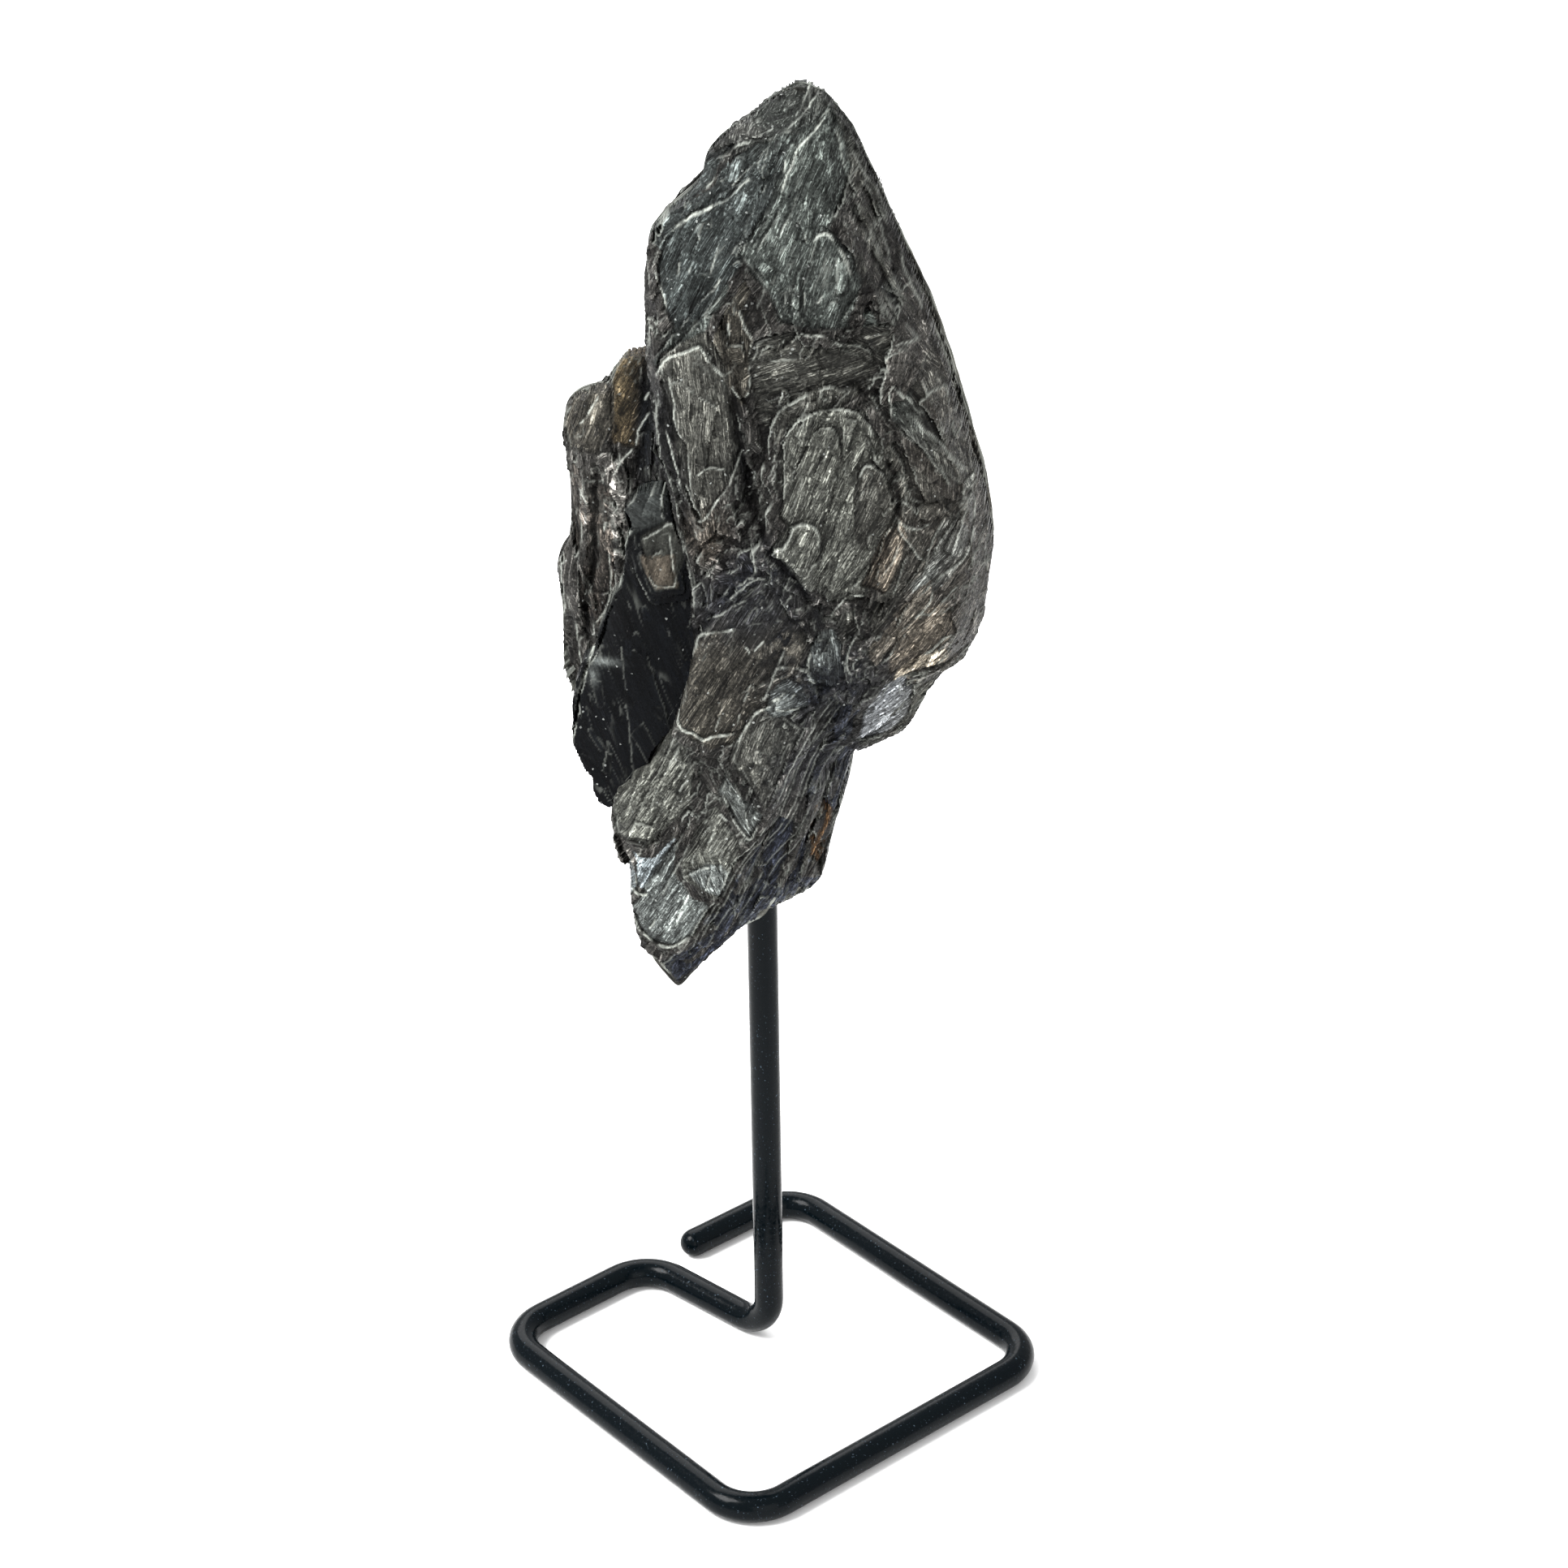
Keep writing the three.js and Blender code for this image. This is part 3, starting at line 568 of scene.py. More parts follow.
SLAB_OUTLINE = (
    (-12.6, 124.2, -4, 0.6, 1, 0), (-10, 124.3, -6, 0.6, 1, 0), (-7.4, 119.4, -6, 0.6, 1, 0),
    (-6, 112.5, -6, 0.6, 1, 0), (-5.6, 105.4, -6, 0.6, 1, 0), (-7.4, 100.1, -8, 0.6, 1, 0),
    (-9.1, 97, -8, 0.6, 1, 0), (-12.1, 91.6, -8, 0.8, 2, 0), (-16.2, 85.8, -8, 0.8, 2.5, 0),
    (-18.5, 89.4, -7, 0.8, 2.5, 0), (-20.6, 91.2, -7, 0.8, 2.5, 0), (-21.6, 92.8, -6, 0.8, 2.5, 0),
    (-20.7, 97.4, -5, 0.9, 2, 0), (-19.6, 102.6, -5, 0.9, 1, 0), (-18, 105.2, -5, 0.9, 1, 0),
    (-16.6, 109.4, -4, 0.9, 1, 0), (-15, 113, -4, 0.9, 1, 0), (-14.4, 118.5, -4, 0.8, 1, 0),
)
SLAB_SPINE = ((-11.4, 121), (-11.5, 108), (-13.5, 98), (-16.5, 91))
SLAB_HEART = (-10.9, 105.5)

# How the sheets step in from the widest one to a face: share of the way out, share of the inset.
LEDGES = ((0.0, 0.0), (0.3, 0.24), (0.36, 0.42), (0.66, 0.5), (0.72, 0.86), (1.0, 1.0))


def spine_at(spine: Sequence[Sequence[float]], height: Array) -> Array:
    """Points of a spine at given heights, carried on in line past its ends.

    Args:
        spine: x and z from top to bottom.
        height: the heights wanted.

    Returns:
        x and z in the last axis.
    """
    x, z = np.array(spine, float)[::-1].T
    first = np.clip(np.searchsorted(z, height) - 1, 0, len(z) - 2)
    share = (height - z[first]) / (z[first + 1] - z[first])
    return stack(x[first] + share * (x[first + 1] - x[first]), height)


def fibre_frame(x: Array, z: Array, degrees: Union[Array, float]) -> tuple[Array, Array]:
    """Places along and across a fibre that leans so many degrees from +X towards +Z."""
    turn = np.radians(degrees)
    return x * np.cos(turn) + z * np.sin(turn), z * np.cos(turn) - x * np.sin(turn)


# ------------------------------------------------------------------------------ relief


# Where the painted highlights on the sheets' edges take their light from, as x and z.
LIT_FROM = (-0.55, 0.83)
# How far inside an edge its pale line lies.
LINE_INSIDE = 0.06

# Colour zones of the front: stains of the rock's own colour, and black zones of painted shade along
# the crevice between the wing and the main book: x, z, half width, half height, tint and how strong
# it is.
STAINS_AND_PAINTED_SHADE = (
    (23, 122, 6, 26, Tint.FLANK, 0.55),
    (21, 97, 7, 5, Tint.SHELL, 0.8),
    (8.5, 92, 5, 5, Tint.NAVY, 0.9),
    (-2, 122, 3.5, 4, Tint.BROWN, 0.5),
    (0.5, 113.5, 6, 4, Tint.NAVY, 0.75),
    (-0.5, 118.5, 4.5, 4, Tint.NAVY, 0.7),
    (-0.3, 127, 1.4, 6, Tint.BLACK, 0.4),
    # Painted shade: the crevice between the wing and the main book, painted black.
    (-12.2, 131, 1.5, 10, Tint.BLACK, 0.9),
    (-19, 117, 5, 11, Tint.DARK, 0.4),
    (9.5, 104, 7, 4.5, Tint.NAVY, 0.8),
    # Painted shade: the main book's edge beside that crevice, painted black.
    (-9.8, 130, 1.8, 9, Tint.BLACK, 0.7),
    (-4, 121.5, 2, 3, Tint.TAN, 0.35),
    (5, 166, 7, 4, Tint.GREY, 0.6),
    (-16.9, 103.9, 1.5, 0.45, Tint.WHITE, 0.5),
    (-18.2, 102, 0.5, 1, Tint.WHITE, 0.4),
)
# The walls' own, with painted light: the upper left edges are painted paler where light comes
# through them.
WALL_STAINS_AND_PAINTED_LIGHT = (
    *STAINS_AND_PAINTED_SHADE,
    (-9.5, 152, 5, 10, Tint.PALE_GREY, 0.9),
    (-1, 164, 6, 5, Tint.PALE_GREY, 0.8),
)

# The way down a book's side is cut into treads this wide, and each kind has this weight.
TREADS = ((1.1, 0.55), (0.45, 0.45))
# A side steeper than this can't be seen from the front, and is left to the book.
TOO_STEEP = 9
# Painted shade in pits and clefts: how wide a neighbourhood they are measured against, and how fast
# the painted shade darkens them.
PIT, CLEFT = (0.45, 1.9), (2.2, 0.36)
# Least share of its colour that the painted shade leaves a cell.
DARKEST = 0.17
# How far a grid's points are shifted at random, as a share of its pitch.
JITTER = 0.28
# How far the cells next to the outside are sunk, and how far behind the face the skins meet.
HEM, POLE = 2.6, 4
# Directions of a shard's six sides, in degrees from the fibre: its two long ones come first.
SHARD_SIDES = (90, -90, 28, -28, 152, 208)


def stained_and_painted_light(x: Array, z: Array, colour: Array, stains_and_painted_light: Sequence[tuple]) -> Array:
    """Body colours blended towards each zone of stain, painted light and painted shade, by a bell
    curve about its middle.

    Args:
        x: places.
        z: places, as many.
        colour: linear colours there.
        stains_and_painted_light: rows as in STAINS_AND_PAINTED_SHADE.

    Returns:
        The blended colours.
    """
    for at_x, at_z, wide, high, tint, strength in stains_and_painted_light:
        amount = strength * np.exp(-(((x - at_x) / wide) ** 2) - ((z - at_z) / high) ** 2)
        colour = colour + (colour_of(tint) - colour) * amount[..., None]
    return colour


def facing(values: Array, least: float) -> Array:
    """How a grid's slopes face the light of the painted highlights: less the slope's direction
    times the light's.

    Args:
        values: heights or distances on a grid.
        least: the slope under which it counts as flat.

    Returns:
        Values from -1 to 1.
    """
    rows, columns = np.gradient(values)
    length = np.maximum(np.hypot(rows, columns), least)
    return -(columns * LIT_FROM[0] + rows * LIT_FROM[1]) / length


def painted_edge_light(away: Array) -> Array:
    """How bright an edge's painted highlight is, from the way that its distance grows."""
    return np.clip(0.5 + 0.6 * facing(away, 1e-6), 0.06, 1.0)


def pale_line(away: Array, wide: float) -> Array:
    """A pale line just inside an edge: a bell curve of the distance from it, so wide."""
    return np.exp(-(((away - LINE_INSIDE) / wide) ** 2))


def warped(x: Array, z: Array, sizes: Sequence[tuple], seed: int) -> tuple[Array, Array]:
    """Places shifted by noise of several sizes.

    Args:
        x: places.
        z: places, as many.
        sizes: for each noise how far it shifts and how coarse it is, in millimetres.
        seed: picks the pattern.

    Returns:
        The shifted places.
    """
    spot = stack(x, z, 0.0)
    shift_x, shift_z = (
        sum(
            reach * smooth_noise(spot / size, seed + 2 * i + axis)
            for i, (reach, size) in enumerate(sizes)
        )
        for axis in (0, 1)
    )
    return x + shift_x, z + shift_z


def torn_sheets(along: Array, across: Array, step: float, seed: int) -> tuple[Array, Array]:
    """Relief of torn sheets that run with the fibre.

    Noise stretched along the fibre is cut into levels; each level is one sheet. The edge is
    brightest where the noise crosses from one level to the next. Two finer stretched noises
    add the fibre's ridges.

    Args:
        along: place along the fibre, in millimetres.
        across: place across it.
        step: height of one sheet.
        seed: picks the pattern.

    Returns:
        Height in millimetres, zero at the middle level, and edge from 0 to 1.
    """
    level = fractal(stack(along / 13, across / 1.9, 0.5), seed, 3) * 5
    part = level - np.floor(level)
    torn = smooth_noise(stack(along / 2.5, across / 1.5, 3.5), seed + 9)
    edge = eased(part, 0.7, 0.9) * (1 - eased(part, 0.97, 1.0)) * eased(torn, -0.2, 0.6)
    ridges = smooth_noise(stack(along / 6, across / 0.8, 7.5), seed + 20)
    fine = smooth_noise(stack(along / 3, across / 0.4, 9.5), seed + 21)
    height = step * (np.floor(level) + eased(part, 0.85, 1.0)) + 0.5 * step * ridges
    return height + 0.3 * step * fine, edge


@dataclass(frozen=True)
class Shards:
    """Seeded flakes of one size, with long sides along the fibre and broken ends.

    Attributes:
        share: how many to a square millimetre, before the cover's own share.
        size: middle half length in millimetres.
        slim: lowest and highest width as a share of the length.
        lift: middle lift where the ground is rough, as a share of the cover's.
        spread: how far they turn from the fibre, in degrees.
        vary: how far their brightness varies at random; on the chips the brightest stand for
            painted glints.
    """

    share: float
    size: float
    slim: tuple
    lift: float
    spread: float
    vary: float = 0.3


LARGE = Shards(0.12, 4.5, (0.2, 0.5), 1.3, 7)
MIDDLING = Shards(0.3, 2.6, (0.12, 0.34), 1, 6)
SMALL = Shards(0.7, 1.1, (0.18, 0.5), 0.6, 12)
# Chips: their wide spread of brightness paints the brightest as glints.
CHIPS = Shards(2.2, 0.7, (0.2, 0.7), 0.5, 90, 1.1)


@dataclass
class Relief:
    """Sheets and flakes over a cleavage face, kept on a square grid.

    Each flake that is laid wins the cells where it stands higher than what is there, and
    brings its own fibre, colour and pale edge.

    Attributes:
        face: the face that heights are measured from.
        rim: the face's edge, rows of x and z.
        outer: the widest sheet's edge, rows of x, z and y.
        heart: a point that sees all of the rim.
        pitch: the grid's pitch in millimetres.
        fibre: lean of the fibre in degrees from +X towards +Z.
        tint: body colour of the ground.
        stains_and_painted_light: colour zones, of stains and of painted shade.
        torn: height of the ground's torn sheets.
        seed: picks the patterns.
    """

    face: Face
    rim: Array
    outer: Array
    heart: tuple
    pitch: float
    fibre: float
    tint: Tint
    stains_and_painted_light: Sequence[tuple]
    torn: float
    seed: int

    def __post_init__(self) -> None:
        """Lays out the grid and the torn ground."""
        both = np.vstack([self.rim, self.outer[:, :2]])
        # A row and a column of the grid run through the heart, where the skin is cut in four.
        lines, cuts = [], []
        for at, low, high in zip(self.heart, both.min(axis=0) - 1.2, both.max(axis=0) + 1.2):
            cuts.append(math.ceil((at - low) / self.pitch))
            lines.append(at + self.pitch * np.arange(-cuts[-1], (high - at) / self.pitch))
        self.cuts = (cuts[1], cuts[0])
        self.x, self.z = np.meshgrid(*lines)
        spot = stack(self.x, self.z, 0.0)
        self.coarse = smooth_noise(spot / 2.4, self.seed + 1)
        self.ragged = 0.09 * smooth_noise(spot / 1.1, self.seed + 2)
        self.ragged += 0.07 * smooth_noise(spot / 0.5, self.seed + 3)
        self.broken = smooth_noise(spot / 1.3, self.seed + 4)
        beyond, sink, reach, round_it = self.slope()
        self.mask = (beyond < 0.8 - 0.9 * self.coarse - self.ragged) | reach
        # On the face the fibre runs its own way, and down the side it follows the outline.
        sloping = sink > 0.3
        along, across = fibre_frame(self.x, self.z, self.fibre)
        self.along = np.where(sloping, round_it, along)
        self.across = np.where(sloping, 0.8 * beyond, across)
        rows, columns = np.gradient(blurred(sink, 0.8 / self.pitch))
        lean = self.fibre + 7 * smooth_noise(spot / 9, self.seed + 8)
        self.lean = np.where(sloping, np.degrees(np.arctan2(columns, -rows)), lean)
        torn, self.edge = torn_sheets(self.along, self.across, self.torn, self.seed)
        self.edge *= min(1.0, 6 * self.torn) * np.where(sloping, 0.4, 1.0)
        self.base = -self.face.hollow(self.x, self.z) - sink
        self.sunk = self.level(sink, 0.8)
        self.height = torn + self.base
        self.rough = np.ones(self.x.shape)
        self.guard = np.zeros(self.x.shape)
        self.colour = np.broadcast_to(colour_of(self.tint), (*self.x.shape, 3)).copy()

    def slope(self) -> tuple[Array, Array, Array, Array]:
        """The book's side as the face's outward edge goes down to the widest sheet.

        A cell's place is its distance from the face's rim over that distance plus the one to
        the widest sheet's edge. The way down is cut into treads, each the end of a pack of
        sheets, whose edges wander. Ledges turn the place into depth.

        Returns:
            Millimetres past the rim, depth under the face, which cells the slope holds, and
            the place round the outline in millimetres.
        """
        skip = max(1, len(self.outer) // 160)
        outer = self.outer[::skip]
        within, place = signed_distance(outer, self.x, self.z)
        beyond = -signed_distance(self.rim[::skip], self.x, self.z)[0]
        beyond = blurred(beyond, 0.8 / self.pitch) - 0.3
        side = np.interp(place, np.arange(len(outer)), outer[:, 2])
        round_it = place * perimeter(self.outer) / len(outer)
        wander = fractal(stack(round_it / 9, beyond / 2.5, 0.3), self.seed + 5, 3)
        wander += 0.3 * smooth_noise(stack(round_it / 2.2, beyond / 0.8, 0.6), self.seed + 6)
        stepped = np.zeros(self.x.shape)
        for tread, weight in TREADS:
            level = (beyond + 0.8 * wander) / tread
            part = level - np.floor(level)
            stepped += weight * tread * (np.floor(level) + eased(part, 0.7, 1.0))
        gone, left = np.clip(beyond, 0, None), np.clip(within, 0, None)
        width = np.maximum(gone + left, 0.01)
        depths, shares = np.array(LEDGES).T
        depth = 1 - np.interp(1 - np.clip(stepped / width, 0, 1), shares, depths)
        depth = np.maximum(depth, 1 - left / np.minimum(0.45 * width, 2.0))
        drop = (side - self.face.y(self.x, self.z)) * -self.face.outward
        steep = blurred(np.clip(drop / width, 0, 14), 1.2 / self.pitch)
        reach = (within > 0.2 + self.ragged) & (steep < TOO_STEEP) & (drop > 0)
        sink = np.where(reach & (beyond > -0.5), np.clip(drop, 0, None) * depth, 0.0)
        return beyond, sink, reach, round_it

    def level(self, values: Array, width: float) -> Array:
        """The mean of values over the covered cells round each cell.

        Args:
            values: a value for each cell.
            width: how wide a neighbourhood counts, in millimetres.

        Returns:
            The means.
        """
        cells = width / self.pitch
        held = self.mask.astype(float)
        return blurred(values * held, cells) / np.maximum(blurred(held, cells), 0.02)

    def fill(self, width: float, below: float) -> None:
        """Raises open ground to a little below the plates round it.

        Args:
            width: how wide a neighbourhood counts, in millimetres.
            below: how far under its mean height the ground lies.
        """
        level = self.level(self.height + self.sunk, width) - self.sunk - below
        level += 0.12 * self.coarse + self.ragged * 0.5
        low = (self.rough > 0.9) & (level > self.height)
        self.height = np.where(low, level, self.height)

    def window(self, path: Array, margin: float) -> tuple[slice, slice]:
        """The block of cells round a path.

        Args:
            path: rows of x and z.
            margin: how far past them it goes.

        Returns:
            The block's rows and columns.
        """
        first = np.array([self.x[0, 0], self.z[0, 0]])
        low, high = path.min(axis=0) - margin, path.max(axis=0) + margin
        a = np.maximum(0, np.floor((low - first) / self.pitch).astype(int))
        b = np.maximum(0, np.ceil((high - first) / self.pitch).astype(int) + 1)
        return slice(a[1], b[1]), slice(a[0], b[0])

    def lay(
        self, window: tuple[slice, slice], inside: Array, height: Array, **values: Array
    ) -> None:
        """Lays a flake over what is there, where it stands higher.

        Args:
            window: the block of cells.
            inside: which of them the flake covers.
            height: its height there.
            values: edge, along, across, lean, rough, guard and colour there.
        """
        wins = inside & (height > self.height[window])
        self.height[window][wins] = height[wins]
        for name, value in values.items():
            kept = getattr(self, name)[window]
            kept[wins] = value[wins] if isinstance(value, np.ndarray) else value

    def scatter(
        self, kind: Shards, count: int, lift: float, seed: int, where: Optional[Array] = None
    ) -> None:
        """Lays seeded shards.

        A shard is what six half planes share: two along the fibre, four across its ends. It
        lies on the ground as it was, one side raised and the other sunk. Most end where they
        meet the rim of a plate, and fewer lie on smooth plates than on rough ground.

        Args:
            kind: their size and shape.
            count: how many.
            lift: the cover's lift, of which each kind takes its share.
            seed: picks them.
            where: cells that their middles may lie in, if not all.
        """
        chance = np.random.default_rng(seed)
        ground, under = self.height + self.sunk, self.colour.copy()
        cells = np.flatnonzero(self.mask if where is None else self.mask & where)
        for pick in chance.choice(cells, count):
            centre = np.array([self.x.flat[pick], self.z.flat[pick]])
            rough = self.rough.flat[pick]
            if chance.random() > 0.4 + 0.6 * rough:
                continue
            lean = self.lean.flat[pick] + kind.spread * rough * chance.normal()
            half = kind.size * math.exp(0.4 * chance.normal())
            width = half * chance.uniform(*kind.slim)
            raised = kind.lift * lift * rough * chance.uniform(0.35, 1.5)
            window = self.window(centre[None], half + 0.2)
            u, v = fibre_frame(self.x[window] - centre[0], self.z[window] - centre[1], lean)
            away = np.full(u.shape, np.inf)
            for side in SHARD_SIDES:
                turn = math.radians(side + 9 * chance.normal())
                long = abs(side) == 90
                reach = width if long else half * abs(math.cos(turn)) * chance.uniform(0.75, 1)
                away = np.minimum(away, reach - u * math.cos(turn) - v * math.sin(turn))
            away = away + self.ragged[window]
            tip = chance.normal(size=2) * (0.35 / half, 0.3 / width) * raised
            base = ground[window] if chance.random() < 0.75 else ground.flat[pick]
            height = base - self.sunk[window] + raised + tip[0] * u + tip[1] * v
            height = height - 0.35 * raised * (away < 0.22)
            # A pale line along the shard's end, brightest where it faces the painted light.
            line = pale_line(away, 0.09) * painted_edge_light(away)
            line *= eased(self.broken[window] + chance.normal() * 0.4, -0.5, 0.4)
            shift = chance.uniform(0, 500, 2)
            free = self.guard[window] < (0.5 if chance.random() < 0.85 else 2)
            # Its colour is the ground's times a random brightness; on the chips the brightest are
            # painted glints.
            self.lay(
                window, (away > 0) & free, height, edge=line * min(1.0, 0.12 + 1.3 * raised),
                along=u + shift[0], across=v + shift[1],
                colour=under[window] * math.exp(min(kind.vary * chance.normal(), 1.6)),
            )

    def painted_cliff_light(self) -> Array:
        """Painted highlights on edges: cells that stand over a neighbour are painted pale,
        brightest where they face the light.

        Returns:
            How much each cell is a painted highlight, from 0 to 1.
        """
        above = self.height + self.sunk
        drop = np.zeros(above.shape)
        for axis, step in itertools.product((0, 1), (1, -1)):
            drop = np.maximum(drop, above - np.roll(above, step, axis))
        light = facing(blurred(above, 0.25 / self.pitch), 1e-4)
        bright = 0.6 * eased(drop, 0.08, 0.5) * np.clip(0.5 + 0.5 * light, 0, 1)
        return bright * eased(self.broken, -0.5, 0.4)

    def shade(self) -> Array:
        """The colours with their zones of stain and painted shade, and with painted shade in pits
        and clefts: darker by an exponential of their depth.

        Returns:
            A linear colour for each cell.
        """
        above = self.height + self.sunk
        pit, cleft = (self.level(above, width) - above for width, _ in (PIT, CLEFT))
        dark = np.exp(-PIT[1] * np.clip(pit, -0.12, 1.6) - CLEFT[1] * np.clip(cleft, -0.4, 4))
        colour = stained_and_painted_light(self.x, self.z, self.colour, self.stains_and_painted_light)
        return colour * np.maximum(dark, DARKEST)[..., None]

    def skins(self) -> list[tuple[list[Array], Array, Array]]:
        """The relief as four closed skins that meet at the heart.

        Cells next to the outside are sunk into the book. Each skin's open border is closed by
        triangles to the heart, deep in the book.

        Returns:
            For each skin its points, grain, edge and tint, its quads and its triangles.
        """
        inner = self.mask.copy()
        for axis, step in itertools.product((0, 1), (1, -1)):
            inner &= np.roll(self.mask, step, axis)
        height = np.where(inner, self.height, np.minimum(self.height, 0) - HEM)
        x, z = (
            at + JITTER * self.pitch * (2 * lattice(stack(self.x, self.z, k) * 97, self.seed) - 1)
            for k, at in ((1, self.x), (2, self.z))
        )
        y = self.face.y(self.x, self.z) + self.face.outward * height
        grain = stack(self.along, self.across, 0.3 * height)
        edge = np.maximum(self.edge, self.painted_cliff_light())
        values = [stack(x, y, z), grain, edge[..., None], self.shade()]
        at_x, at_z = self.heart
        pole = [at_x, float(self.face.y(at_x, at_z)) - self.face.outward * POLE, at_z]
        ends = [np.array(pole), np.zeros(3), np.zeros(1), np.zeros(3)]
        skins = []
        halves = [((0, cut + 1), (cut, size)) for cut, size in zip(self.cuts, self.x.shape)]
        for (bottom, top), (left, right) in itertools.product(*halves):
            band = np.zeros(self.mask.shape, bool)
            band[bottom:top, left:right] = self.mask[bottom:top, left:right]
            whole = band[:-1, :-1] & band[1:, :-1] & band[:-1, 1:] & band[1:, 1:]
            row, column = np.nonzero(whole)
            across = self.x.shape[1]
            corner = row * across + column
            quads = stack(corner, corner + 1, corner + across + 1, corner + across).astype(int)
            used, packed = np.unique(quads, return_inverse=True)
            quads = packed.reshape(-1, 4)
            # A side that only one quad has lies on the open border.
            sides = np.concatenate([quads[:, [k, (k + 1) % 4]] for k in range(4)])
            key = np.sort(sides, axis=1) @ np.array([len(used) + 1, 1])
            _, where, times = np.unique(key, return_index=True, return_counts=True)
            border = sides[where[times == 1]]
            fan = np.column_stack([border[:, ::-1], np.full(len(border), len(used))])
            rows = [
                np.vstack([v.reshape(-1, v.shape[-1])[used], end]) for v, end in zip(values, ends)
            ]
            skins.append((rows, quads, fan))
        return skins


# ------------------------------------------------------------------------------ books


# Rings of one sheet's edge: share of its thickness, and how pale the edge is there, partly its own
# pale end and partly a painted highlight.
SHEET_RINGS = ((0.0, 0.0), (0.74, 0.1), (1.0, 0.85))
# Rings between the last sheet and the face's heart.
INNER_RINGS = 8
# Angles in degrees past which an edge is sharp, on a relief, a book and the wire.
RELIEF_CREASE, BOOK_CREASE, WIRE_CREASE = 10, 34, 60


